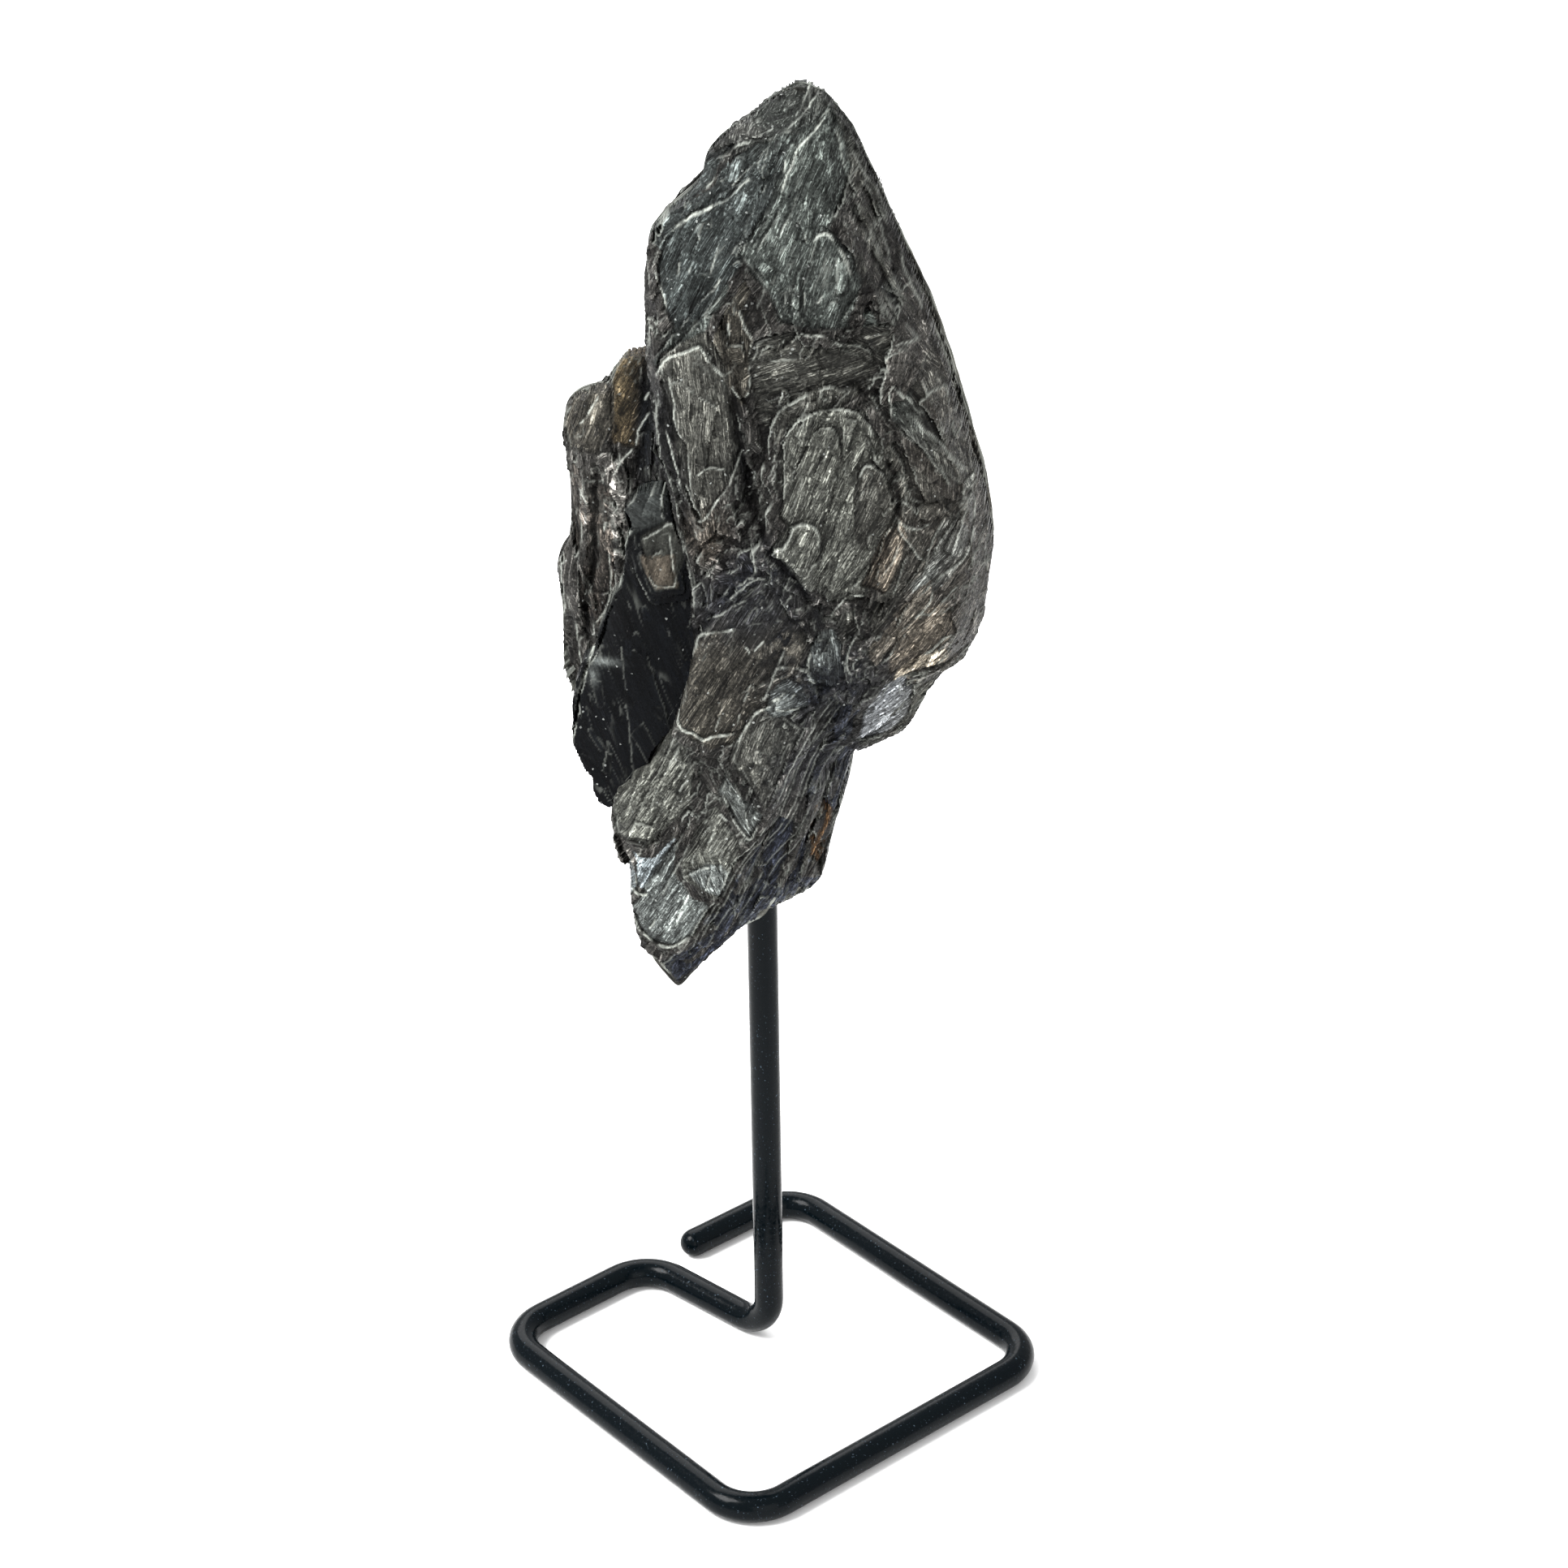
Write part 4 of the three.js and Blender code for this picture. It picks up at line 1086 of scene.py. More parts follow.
@dataclass(frozen=True)
class Book:
    """A book of mica: a stack of sheets between two cleavage faces.

    Attributes:
        outline: rows as in the tables above.
        spine: the line that the faces stop short towards.
        heart: the point of the face that sees all of its rim.
        front: the face that looks along -Y.
        back: the face that looks along +Y.
        around: points round the outline.
        layers: sheets between the widest one and the front, and the back.
        rough: how far sheets stick out of the stack or stop short, in millimetres.
        tint: its body colour.
        seed: picks the patterns.
    """

    outline: tuple
    spine: tuple
    heart: tuple
    front: Face
    back: Face
    around: int
    layers: tuple
    rough: float
    tint: Tint
    seed: int

    def rim(self) -> Array:
        """The outline's rows, evenly spaced, with its corners rounded."""
        loop = np.array(self.outline, float)
        return softened(resampled(loop, self.around), 0.6 * self.around / perimeter(loop))

    def inset(self, column: int, rim: Array) -> tuple[Array, Array]:
        """How far a face stops short of the outline.

        Args:
            column: the outline's column that holds it.
            rim: the outline's rows, evenly spaced.

        Returns:
            Unit vectors towards the spine, and the way along them.
        """
        towards = spine_at(self.spine, rim[:, 1] + rim[:, 5]) - rim[:, :2]
        distance = np.linalg.norm(towards, axis=1)
        return towards / distance[:, None], np.minimum(rim[:, column], distance * 0.8)

    def face_rim(self, column: int) -> Array:
        """The edge of a cleavage face.

        Args:
            column: the outline's column that holds its inset.

        Returns:
            Its points as x and z.
        """
        rim = self.rim()
        towards, reach = self.inset(column, rim)
        return rim[:, :2] + towards * (reach + 0.5 * self.rough)[:, None]

    def side(self, face: Face, column: int, rim: Array) -> tuple[Array, Array, Array, Array]:
        """One side of the book, from the widest sheet to the face's heart.

        Each sheet is three rings with one inset, so that its edge is upright and the next
        sheet steps in. The two upper rings lie close together and bound the pale line along
        the sheet's end, partly its own pale end and partly a painted highlight. The inset is the
        ledges' share of the way to the spine, plus noise that runs slowly along the outline and
        differs from sheet to sheet. Sheets that stop short are painted darker, as painted shade,
        and each sheet's end is painted darker at its foot and lighter at its top, as painted shade
        and light. Inside the rim the rings shrink in proportion to the heart and sink under the
        face's relief.

        Args:
            face: the cleavage face.
            column: the outline's column that holds this side's inset.
            rim: the outline's rows, evenly spaced.

        Returns:
            Points, grain, edge and tint, rings x points.
        """
        place = rim[:, :2]
        towards, reach = self.inset(column, rim)
        arc = np.arange(len(rim)) * perimeter(rim) / len(rim)
        layers = self.layers[column - FRONT_INSET]
        thick = 0.35 + lattice(stack(np.arange(layers), column, self.seed).astype(int), 6)
        depths = np.concatenate([[0], np.cumsum(thick)]) / thick.sum()
        spot = stack(place[:, 0], place[:, 1], 0.0)
        rings, edges, lights, insets, throughs = [], [], [], [], []
        for k in range(layers):
            middle = 0.5 * (depths[k] + depths[k + 1])
            wander = fractal(spot / 6 + 31.7 * k, self.seed + column, 3)
            slow = fractal(spot / 14 + 3.1 * k, self.seed + column + 7, 2)
            fringe = smooth_noise(spot / 0.8 + 11.3 * k, self.seed + column + 40)
            short = self.rough * (0.7 * wander + 0.5 * slow + 0.16 * fringe)
            inset = reach * np.interp(middle, *np.array(LEDGES).T)
            inset = inset + (short + 0.6 * self.rough) * min(1.0, 4 * middle + 0.3)
            at = place + towards * inset[:, None]
            top = face.y(at[:, 0], at[:, 1])
            tone = 0.55 + 0.75 * lattice(np.array([k, column, self.seed]), 5)
            for share, lit in SHEET_RINGS:
                depth = depths[k] + (depths[k + 1] - depths[k]) * share
                y = rim[:, 2] + (top - rim[:, 2]) * depth
                rings.append(stack(at[:, 0], y, at[:, 1]))
                edges.append(np.full(len(rim), lit))
                insets.append(inset)
                # Painted shade on sheets that stop short and at each sheet's foot, painted light at
                # its top, times the sheet's own random tone.
                lights.append(tone * np.exp(-1.1 * short / self.rough) * (0.55 + 0.6 * share))
                throughs.append(15 * depth)
        walls = np.array(rings)
        lit = np.array(edges) * eased(smooth_noise(walls / 1.7, self.seed + 77), -0.4, 0.5)
        through = np.array(throughs)[:, None] + 1.5 * np.array(insets)
        grain = stack(np.broadcast_to(arc, walls.shape[:2]), 0.0, through)
        light = np.clip(np.array(lights), 0.3, 1.5)
        light = light * (1 + 0.2 * fractal(walls / 4, self.seed + 81, 3))
        shares = (1 - np.linspace(0, 1, INNER_RINGS + 1)[1:, None]) ** 0.8
        last = walls[-1]
        x = self.heart[0] + (last[:, 0] - self.heart[0]) * shares
        z = self.heart[1] + (last[:, 2] - self.heart[1]) * shares
        sunk = face.hollow(x, z) + np.minimum(1.6, 14 * (1 - shares))
        inner = stack(x, face.y(x, z) - face.outward * sunk, z)
        filled = np.zeros(x.shape)
        points = np.concatenate([walls, inner])
        plain = np.broadcast_to(colour_of(self.tint), points.shape)
        stains_and_painted_light = WALL_STAINS_AND_PAINTED_LIGHT if column == FRONT_INSET else ()
        colour = stained_and_painted_light(points[..., 0], points[..., 2], plain, stains_and_painted_light)
        return (
            points,
            np.concatenate([grain, inner]),
            np.concatenate([lit, filled]),
            colour * np.concatenate([light, filled + 0.5])[..., None],
        )

    def patch(self) -> Patch:
        """The whole book as one closed skin.

        Returns:
            Rings from the front face's heart round the widest sheet to the back's.
        """
        rim = self.rim()
        front, back = self.side(self.front, FRONT_INSET, rim), self.side(self.back, BACK_INSET, rim)
        return Patch(*(np.concatenate([near[::-1], far]) for near, far in zip(front, back)))


# ------------------------------------------------------------------------------ plates


# The sheets seen past a plate's rim: how far each ends inside the rim (below zero, outside it)
# and its thickness.
STAIRS = ((1.6, 0.03), (0.9, 0.04), (0.0, 0.14), (-0.35, 0.08), (-0.9, 0.1), (-1.4, 0.14))
# Share of a plate's lift that is left once the ground has grown up round it.
RISE = 0.6
# Past a rim: each sheet's end is eased over this half width, and is painted darker than the plate
# by up to this share, as painted shade.
END, END_SHADE = 0.08, 0.3
# Noise that tears a plate's rim and a tear's course: how far it shifts them and how coarse it is.
RIM_NOISE = ((0.2, 2.4), (0.1, 0.95), (0.06, 0.45))
COURSE_NOISE = ((0.11, 1.6), (0.04, 0.5))


@dataclass(frozen=True)
class Plate:
    """A thick flake with stepped, torn sheets round it.

    Attributes:
        lift: how far it stands off the face in its middle.
        tip: how that grows towards +X and +Z.
        fibre: lean of its fibre in degrees from +X towards +Z.
        tint: its body colour.
        rim: its outline as x, z, x, z and so on.
        swirl: a point that the fibre circles round instead.
        rough: how much the shards on it stand up, against the ground's 1.
        pale: how bright its edges are.
        draped: whether it follows the book's side down.
        weave: fineness of its fibres.
    """

    lift: float
    tip: tuple
    fibre: float
    tint: Tint
    rim: tuple
    swirl: Optional[tuple] = None
    rough: float = 0.14
    pale: float = 0.5
    draped: bool = False
    weave: float = 1.0

    def fibres(self, x: Array, z: Array) -> tuple[Array, Array, Array]:
        """The fibre's course: straight, or round the swirl's centre.

        Args:
            x: places.
            z: places, as many.

        Returns:
            Places along and across the fibre, and its lean in degrees.
        """
        if self.swirl is None:
            return (*fibre_frame(x, z, self.fibre), np.full(x.shape, self.fibre))
        dx, dz = x - self.swirl[0], z - self.swirl[1]
        across, turn = np.hypot(dx, dz), np.arctan2(dz, dx)
        return turn * across.mean(), across, np.degrees(turn) + 90

    def lay(self, relief: Relief, seed: int) -> None:
        """Lays the plate on a relief.

        The grid is warped by noise, which tears the outline. Past the rim the height goes down
        by one sheet after another, each ending at its own wandering distance, with a pale line
        along its end that is brightest where it faces the painted light. Each lower sheet, and the
        ground round the plate, is painted darker, as painted shade.

        Args:
            relief: what it lies on.
            seed: picks the patterns.
        """
        loop = np.array(self.rim, float).reshape(-1, 2)
        window = relief.window(loop, 2.6)
        x, z = relief.x[window], relief.z[window]
        spot = stack(x, z, 0.0)
        away, _ = signed_distance(loop, *warped(x, z, RIM_NOISE, seed))
        along, across, lean = self.fibres(x, z)
        torn, edge = torn_sheets(along, across, 0.025 + 0.06 * self.rough, seed)
        middle = loop.mean(axis=0)
        tipped = self.tip[0] * (x - middle[0]) + self.tip[1] * (z - middle[1])
        under = relief.base[window] if self.draped else -relief.sunk[window]
        height = RISE * (self.lift + tipped) + torn + under
        edge = 0.5 * edge * eased(away, 0.0, 0.6)
        lit = painted_edge_light(away)
        tone = np.ones(x.shape)
        for s, (place, thick) in enumerate(STAIRS):
            wander = smooth_noise(spot / 2.1 + 5.1 * s, seed + 50 + s)
            inside = away - (place + (0.25 + 0.3 * abs(place)) * wander)
            past = eased(inside, -END, END)
            height = height - thick * (1 - past)
            line = pale_line(inside, 0.08)
            line *= eased(smooth_noise(spot / 1.3 + 2.3 * s, seed + 60 + s), -0.35, 0.35) * lit
            edge = np.maximum(edge * past, line * (1.0 if place == 0 else 0.4))
            tone = tone * (1 - (1 - past) * END_SHADE * lattice(np.array([s, seed, 3]), 8))
        mottle = 1 + 0.22 * fractal(stack(along / 6, across / 1.2, 2.5), seed + 30, 3)
        colour = colour_of(self.tint) * (tone * mottle)[..., None]
        # Painted shade round the plate: the ground past its rim is painted 0.85 as bright.
        on_plate = eased(away, -0.5, -0.1)[..., None]
        colour = colour * on_plate + 0.85 * relief.colour[window] * (1 - on_plate)
        last = STAIRS[-1][0] - 0.5 + 0.5 * relief.coarse[window]
        relief.lay(
            window, away > last, height, edge=edge * self.pale,
            along=self.weave * along + 7.3 * seed, across=self.weave * across, lean=lean,
            rough=np.where(away > 0, self.rough, 1.0),
            guard=(np.abs(away - 0.1) < 0.5).astype(float), colour=colour,
        )


# On a torn sheet and past it: share of the step, and how far off that dies away; then the same
# for the painted light on the sheet and the painted shadow past it, as how much lighter or darker
# the ground is painted.
ON_STEP, PAST_STEP = (0.6, 1.6), (-0.3, 0.7)
ON_PAINTED_LIGHT, PAST_PAINTED_SHADOW = (0.25, 1.2), (-0.6, 0.35)


def two_sided(away: Array, on: tuple[float, float], past: tuple[float, float]) -> Array:
    """Values that die away on both sides of a tear, as exponentials of the distance.

    Args:
        away: distance from the line, above zero on the sheet.
        on: the value at the line and how far off it dies away, on the sheet.
        past: the same past it.

    Returns:
        The values.
    """
    kept, gone = np.clip(away, 0, None), np.clip(-away, 0, None)
    return np.where(away > 0, on[0] * np.exp(-kept / on[1]), past[0] * np.exp(-gone / past[1]))


@dataclass(frozen=True)
class Tear:
    """The torn end of a sheet: a thin pale line, and the next sheet a step lower past it; the sheet
    is painted lighter and the next darker, as painted light and shadow.

    Attributes:
        pale: how bright its line is; above 0.8 it is wider too.
        step: how far the sheet stands over the next, above zero where it lies right of the line.
        line: its course as x, z, x, z and so on.
    """

    pale: float
    step: float
    line: tuple

    def lay(self, relief: Relief, seed: int) -> None:
        """Presses the tear into a relief.

        The sheet rises towards the line, by a step that dies away as an exponential of the
        distance, and the ground past it sinks. The sheet is painted lighter near the line, as
        painted light, and the ground past it darker, as painted shadow. All of it tapers towards
        the line's ends.

        Args:
            relief: what it runs over.
            seed: picks the patterns.
        """
        corners = np.array(self.line, float).reshape(-1, 2)
        lengths = np.concatenate([[0], np.cumsum(np.hypot(*np.diff(corners, axis=0).T))])
        even = np.linspace(0, lengths[-1], max(4, round(lengths[-1] / 0.6)))
        path = stack(*(np.interp(even, lengths, corners[:, axis]) for axis in (0, 1)))
        path[1:-1] = 0.5 * path[1:-1] + 0.25 * (path[:-2] + path[2:])
        window = relief.window(path, 3)
        x, z = relief.x[window], relief.z[window]
        away, along = line_offset(path, *warped(x, z, COURSE_NOISE, seed))
        away = away * math.copysign(1, self.step)
        taper = eased(along, 0.0, 0.12) * (1 - eased(along, 0.88, 1.0))
        rise = two_sided(away, ON_STEP, PAST_STEP)
        relief.height[window] += abs(self.step) * taper * rise
        wide = 0.08 + 0.12 * max(0.0, self.pale - 0.8)
        whole = eased(smooth_noise(stack(x, z, 0.0) / 0.9, seed + 8), -0.75, -0.1)
        line = pale_line(away, wide) * taper * whole * min(1.0, self.pale)
        kept = relief.edge[window] * np.where(away < 0, 1 - taper, 1)
        relief.edge[window] = np.maximum(kept, line)
        # Painted light on the sheet and painted shadow past the tear.
        tone = two_sided(away, ON_PAINTED_LIGHT, PAST_PAINTED_SHADOW)
        relief.colour[window] *= (1 + taper * tone)[..., None]


# How deep a cleft is cut, and what share of the colour it takes away as painted shade.
CLEFT_DEEP, CLEFT_PAINTED_SHADE = 0.6, 0.93


@dataclass(frozen=True)
class Cleft:
    """A gap between sheets, painted dark as painted shade.

    Attributes:
        wide: its half width in millimetres.
        line: its course as x, z, x, z and so on.
    """

    wide: float
    line: tuple

    def lay(self, relief: Relief, seed: int) -> None:
        """Sinks a relief along the course and paints it darker as painted shade, by a bell curve
        across it.

        Args:
            relief: what it runs through.
            seed: picks how it wanders.
        """
        path = np.array(self.line, float).reshape(-1, 2)
        window = relief.window(path, 3)
        x, z = relief.x[window], relief.z[window]
        spot = stack(x, z, 0.0)
        away, along = line_offset(path, x + 0.4 * smooth_noise(spot / 1.5, seed), z)
        taper = eased(along, -0.05, 0.15) * (1 - eased(along, 0.85, 1.05))
        gap = np.exp(-((away / self.wide) ** 2)) * taper
        gap = np.clip(gap * (1 + 0.3 * smooth_noise(spot / 0.7, seed + 1)), 0, 1)
        relief.height[window] -= CLEFT_DEEP * gap
        relief.edge[window] *= 1 - gap
        relief.colour[window] *= (1 - CLEFT_PAINTED_SHADE * gap)[..., None]


def tears(*rows: Sequence[float]) -> tuple[Tear, ...]:
    """Tears from rows of how pale each is, its step, and its course as x, z, x, z and so on."""
    return tuple(Tear(pale, step, tuple(course)) for pale, step, *course in rows)


# The tints under a short name, for the tables.
T = Tint
# The point that the fan's fibres circle round.
FAN = (4, 127)
# Plates of the main book's front, zone by zone.
CROWN_PLATES = (
    Plate(1.2, (-0.05, 0.03), 40, T.SLATE, (-9.6, 153.5, -9, 156.5, -4.5, 161.5, -1.5, 163,
        7, 165, 10, 164, 10, 160.5, 5.5, 156.5, -5.5, 151)),
    Plate(2, (-0.06, 0.04), 62, T.SLATE, (-9, 151, -8, 154, -5.5, 156.5, 1, 160.5, 5.5, 160.5,
        4, 157.5, 0, 153, -4.5, 145.5, -7, 144, -8.5, 148)),
    Plate(2.6, (0.02, 0.02), 66, T.GREY, (9, 166.5, 5, 163.5, 3.5, 158.5, 0, 153, 3, 149,
        4.5, 146, 11, 145.5, 12, 149.5, 9, 155, 11, 160.5)),
    Plate(3.6, (0.06, 0.02), 70, T.GREY, (8.5, 155.5, 6.5, 150.5, 6.5, 147, 7.5, 145.5, 10, 145.5,
        12.5, 150, 11.5, 152.5)),
    Plate(1.8, (-0.05, -0.02), 50, T.GREY, (-9.5, 141, -7, 145, -4, 149, -2.5, 150.5, -1.5, 149.5,
        -4.5, 144.5, -7, 142.5)),
)
MIDDLE_PLATES = (
    Plate(1.2, (0, -0.05), 88, T.DARK_OLIVE, (-1, 151.5, 1, 151, 2, 148.5, 0.5, 147, 1, 139.5,
        0, 137.5, -1, 138.5, -3, 142, -2.5, 147)),
    Plate(2.4, (-0.06, 0.02), 98, T.OLIVE, (-4, 144.5, -8.5, 142, -9, 140.5, -6, 128, -4.5, 123.5,
        -1.5, 129.5, -0.5, 133, -2, 140.5)),
    Plate(1.6, (0.02, 0.05), 18, T.OLIVE, (0.5, 141, 1.5, 143.5, 5.5, 145, 8.5, 145, 13.5, 142,
        14, 141, 13.5, 139, 8.5, 136.5, 4, 133.5, 2, 135.5), rough=0.2, pale=0.35, weave=1.5),
    Plate(3, (-0.04, 0.05), 74, T.PALE_OLIVE, (4.5, 129.5, 4.5, 132.5, 5.5, 135.5, 9.5, 137,
        13, 136, 14.5, 133, 16.5, 125, 13, 115.5, 9.5, 115, 8, 117.5, 5, 125)),
    Plate(3.9, (-0.03, 0.04), 66, T.PALE_OLIVE, (6.5, 131, 8, 135, 10.5, 134.5, 11, 128,
        8.5, 125.5, 5.5, 124.5, 4.5, 125.5)),
    Plate(3.2, (0.05, 0.02), 66, T.OLIVE, (12.5, 129.5, 14, 131, 16, 126.5, 16, 124.5, 13, 121,
        12, 125), pale=0.25),
    Plate(3.1, (0, 0.04), 66, T.PALE_OLIVE, (4, 122, 5.5, 126, 8.5, 124, 9, 119, 7.5, 116.5,
        3, 120.5), pale=0.25),
    Plate(3.8, (0.05, 0), 64, T.TAN, (15.5, 122, 17, 124, 17.5, 122, 16.5, 117.5, 15.5, 116,
        13.5, 117)),
    Plate(1.8, (-0.04, 0), 95, T.PALE_GREY, (7.5, 109.5, 8.5, 111, 9.5, 111, 10.5, 109, 10.5, 106,
        9.5, 104.5, 7.5, 105, 7, 107)),
    Plate(1.4, (0, 0.05), 40, T.OLIVE, (9.5, 112.5, 10.5, 115, 13, 114.5, 13.5, 112.5, 11, 109)),
)
FLANK_PLATES = (
    Plate(0.8, (0.02, 0.03), 120, T.GREY, (10.5, 148, 15, 148, 20, 143, 22.5, 138, 25, 132,
        25.3, 127.5, 24, 124.5, 20.5, 130, 14, 141.5, 10.5, 144.5), swirl=FAN),
    Plate(1.6, (0.02, 0.03), 120, T.OLIVE, (11, 145, 16, 144.5, 20, 142.5, 23.5, 133.5, 24.8, 127,
        22, 130.5, 18, 135, 14.5, 141), swirl=FAN),
    Plate(2.4, (0, -0.04), 125, T.GREY, (16, 139.5, 18, 137, 22, 131, 24.8, 126.5, 23.5, 126.5,
        20, 131, 16.5, 135), swirl=FAN),
    Plate(1.2, (0, 0), 110, T.OLIVE, (15, 132, 18.5, 133.5, 24, 125.5, 24, 122.5, 20.5, 122,
        17, 123.5, 15.5, 128.5)),
    Plate(2, (0.05, -0.02), 55, T.PALE_GREY, (21.5, 122, 24.5, 124.5, 25, 118.5, 22.5, 116,
        19.5, 114, 18.5, 116)),
    Plate(2.7, (0.02, 0), 58, T.OLIVE, (17, 124, 20.5, 122.5, 21, 120.5, 17, 114.5, 14.5, 110.5,
        14, 113, 16.5, 117)),
    Plate(1.6, (0.02, -0.05), 52, T.TAN, (17.5, 111, 20, 115, 22, 113, 23, 109, 21, 107.5,
        16, 105.5, 16.5, 108.5)),
    Plate(1, (0.02, -0.05), 50, T.PALE_TAN, (18, 106.5, 22.5, 108.5, 23, 107, 19, 103, 17, 103.5,
        16.5, 104.5)),
    Plate(2.4, (0, -0.04), 46, T.PALE_TAN, (17, 113, 20.5, 116, 20.5, 113.5, 17.5, 110.5,
        14.5, 107, 14, 108.5)),
)
APRON_PLATES = (
    Plate(2.4, (-0.07, -0.05), 60, T.DARK_OLIVE, (-8.5, 102.5, -6, 108, -3, 113, 2, 117, 3.5, 115,
        7.5, 109.5, 6, 105.5, -1, 98, -4, 97, -7, 98.5)),
    Plate(3.2, (0, 0.06), 30, T.PALE_GREY, (3, 104, 4.5, 105.5, 6, 104.5, 6.5, 102.5, 3.5, 101,
        2.5, 102)),
    Plate(3, (0, -0.03), 68, T.OLIVE, (-1, 98, 1, 101.5, 3.5, 102, 6, 99.5, 4, 95, 2, 89.5,
        0.5, 92, -1.5, 95.5)),
    Plate(2.2, (0, -0.08), 116, T.BRIGHT_GREY, (-2, 93.5, -1, 93, 1.5, 88.5, 0, 85, -3, 91)),
    Plate(1.6, (-0.04, -0.03), 58, T.PALE_OLIVE, (-11, 97.5, -8.5, 100.5, -6.5, 93.5, -7, 89,
        -12, 82.5, -15.5, 83, -16.5, 88, -15, 91)),
    Plate(0.9, (-0.03, 0), 62, T.PALE_BLUE, (-12, 82, -7.5, 89.5, -7, 87.5, -11.5, 78, -14.5, 75,
        -14.5, 81.5)),
    Plate(2.4, (0.03, 0), 60, T.PALE_OLIVE, (-6.5, 84.5, -4, 88.5, -1.5, 84.5, -1.5, 82.5, -4, 77,
        -8, 79)),
    Plate(3.1, (0, -0.05), 110, T.PALE_GREY, (-5, 81, -3.5, 81, -2.5, 80, -3.5, 77.5, -5.5, 78,
        -7, 79.5)),
    Plate(1.8, (0, -0.04), 60, T.PALE_GREY, (-10, 81, -7, 85, -6, 83.5, -8, 78.5, -5.5, 75,
        -7.5, 70.5, -9.5, 69, -12.5, 69, -14.5, 72.5)),
)
# Plates that follow the book's side: the flank, the shell and the quartz in it, and the prow.
SIDE_ROWS = (
    (0.7, 113, T.OLIVE, 0.2, 0.5, 1, 9.9, 165.5, 10.9, 164.4, 13.9, 157.4, 16.8, 150.2, 19.9, 143,
        19.2, 143.6, 15.4, 151.1, 11.7, 159.5),
    (1.4, 113, T.OLIVE, 0.2, 0.5, 1, 9.9, 164.1, 11.9, 159.5, 15.6, 151.1, 18.3, 144.7, 16, 146,
        13.3, 150, 11.6, 155),
    (0.5, 107, T.OLIVE, 0.2, 0.5, 1, 16.8, 150.2, 18.4, 146.7, 22.1, 136.7, 26, 123.6,
        26.8, 117.9, 24.8, 126.3, 21, 139.3),
    (0.9, 50, T.TAN, 0.14, 0.7, 1, 16.7, 107.8, 17, 109.2, 18.6, 111, 20.7, 112.1, 22.3, 110.8,
        23.1, 108.9, 22.8, 107.1, 20.8, 107.6, 18.8, 107.5, 17, 106),
    (1.1, 48, T.CREAM, 0.1, 0.8, 1, 17, 101.5, 16.7, 104.6, 17.5, 106.2, 18.8, 107.5, 20.8, 107.6,
        22.4, 106.5, 21.8, 103.6, 20.4, 102.3, 18.8, 101.2),
    (0.5, 48, T.SHELL, 0.02, 0.35, 0.15, 12, 92.4, 12.5, 93.9, 15.2, 94.5, 17, 96.5, 17.8, 100.7,
        20.4, 102.8, 22.6, 103.9, 23.4, 100.9, 21.9, 98, 19.4, 95.6, 17.5, 93.6, 15.6, 91.6,
        13.9, 90.9),
    (1.5, 30, T.QUARTZ, 0.05, 0.8, 2, 14.3, 101.2, 15.6, 103.2, 17.2, 103.2, 18.2, 101.2,
        17.9, 98.8, 17.5, 96, 15.2, 94.1, 12.2, 93.2, 13.2, 98.3),
    (0.6, 64, T.PROW, 0.25, 0.6, 1, 11.1, 103.3, 12.7, 104.3, 14.3, 101.5, 13.8, 98, 12.2, 93.2,
        11.1, 88.3, 10.1, 84.4, 9, 80.3, 6.9, 82, 5.5, 87.3, 6.9, 92.1, 8.8, 96.4),
    (0.6, 60, T.PROW, 0.25, 0.6, 1, 5.5, 87.3, 6.9, 82, 9, 80.3, 8, 75.9, 7.1, 72.4, 4.7, 70.5,
        -0.5, 69.5, -3, 69.2, -6.2, 65.2, -9.4, 62.9, -11.2, 64.7, -7.7, 68.4, -4.5, 74.2,
        -2.1, 78.3, 0.5, 83, 2.6, 85.5),
    (1, 75, T.AMBER, 0.1, 0.3, 0.8, 7.2, 86, 8.6, 83.3, 9, 80.5, 8.7, 78, 7.9, 75.3, 6.8, 76,
        6.3, 79.9),
)
SIDE_PLATES = tuple(
    Plate(lift, (0, 0), fibre, tint, tuple(rim), rough=rough, pale=pale, draped=True, weave=weave)
    for lift, fibre, tint, rough, pale, weave, *rim in SIDE_ROWS
)
WING_PLATES = (
    Plate(0.8, (0.03, 0), 60, T.GOLD, (-16, 135, -14.5, 138, -12, 139, -11.5, 131, -13, 127.5,
        -15.5, 128, -17, 131)),
    Plate(1.2, (-0.03, 0.02), 70, T.DARK_OLIVE, (-21.5, 129.5, -21, 132, -19.5, 133.5, -16, 134.5,
        -16, 129.5, -18, 126.5, -21, 126.5)),
    Plate(1, (0, -0.03), 100, T.BROWN, (-21, 124, -18, 123.5, -15.5, 121, -15, 115.5,
        -18.5, 105.5, -20.5, 108)),
    Plate(0.4, (0, 0), 92, T.BROWN, (-23, 114, -21.5, 116, -20.5, 112, -20.5, 103.5, -21, 97,
        -22, 96, -23, 99)),
)
SLAB_PLATES = (
    Plate(0.8, (0, 0.04), -35, T.PALE_GREY, (-13.5, 123, -11, 126.5, -9.5, 125, -9.5, 121.5,
        -13.5, 119.5)),
    Plate(1.2, (0, 0), 80, T.PALE_OLIVE, (-12, 119, -9, 121, -7.5, 120.5, -7.5, 117.5, -8.5, 114,
        -10.5, 113.5), rough=0.3, pale=0.3),
    Plate(1.5, (0, 0), 70, T.TAN, (-12, 116.8, -8.8, 117.4, -8.4, 114,
        -10.5, 113.6), rough=0.3, pale=0.3),
)

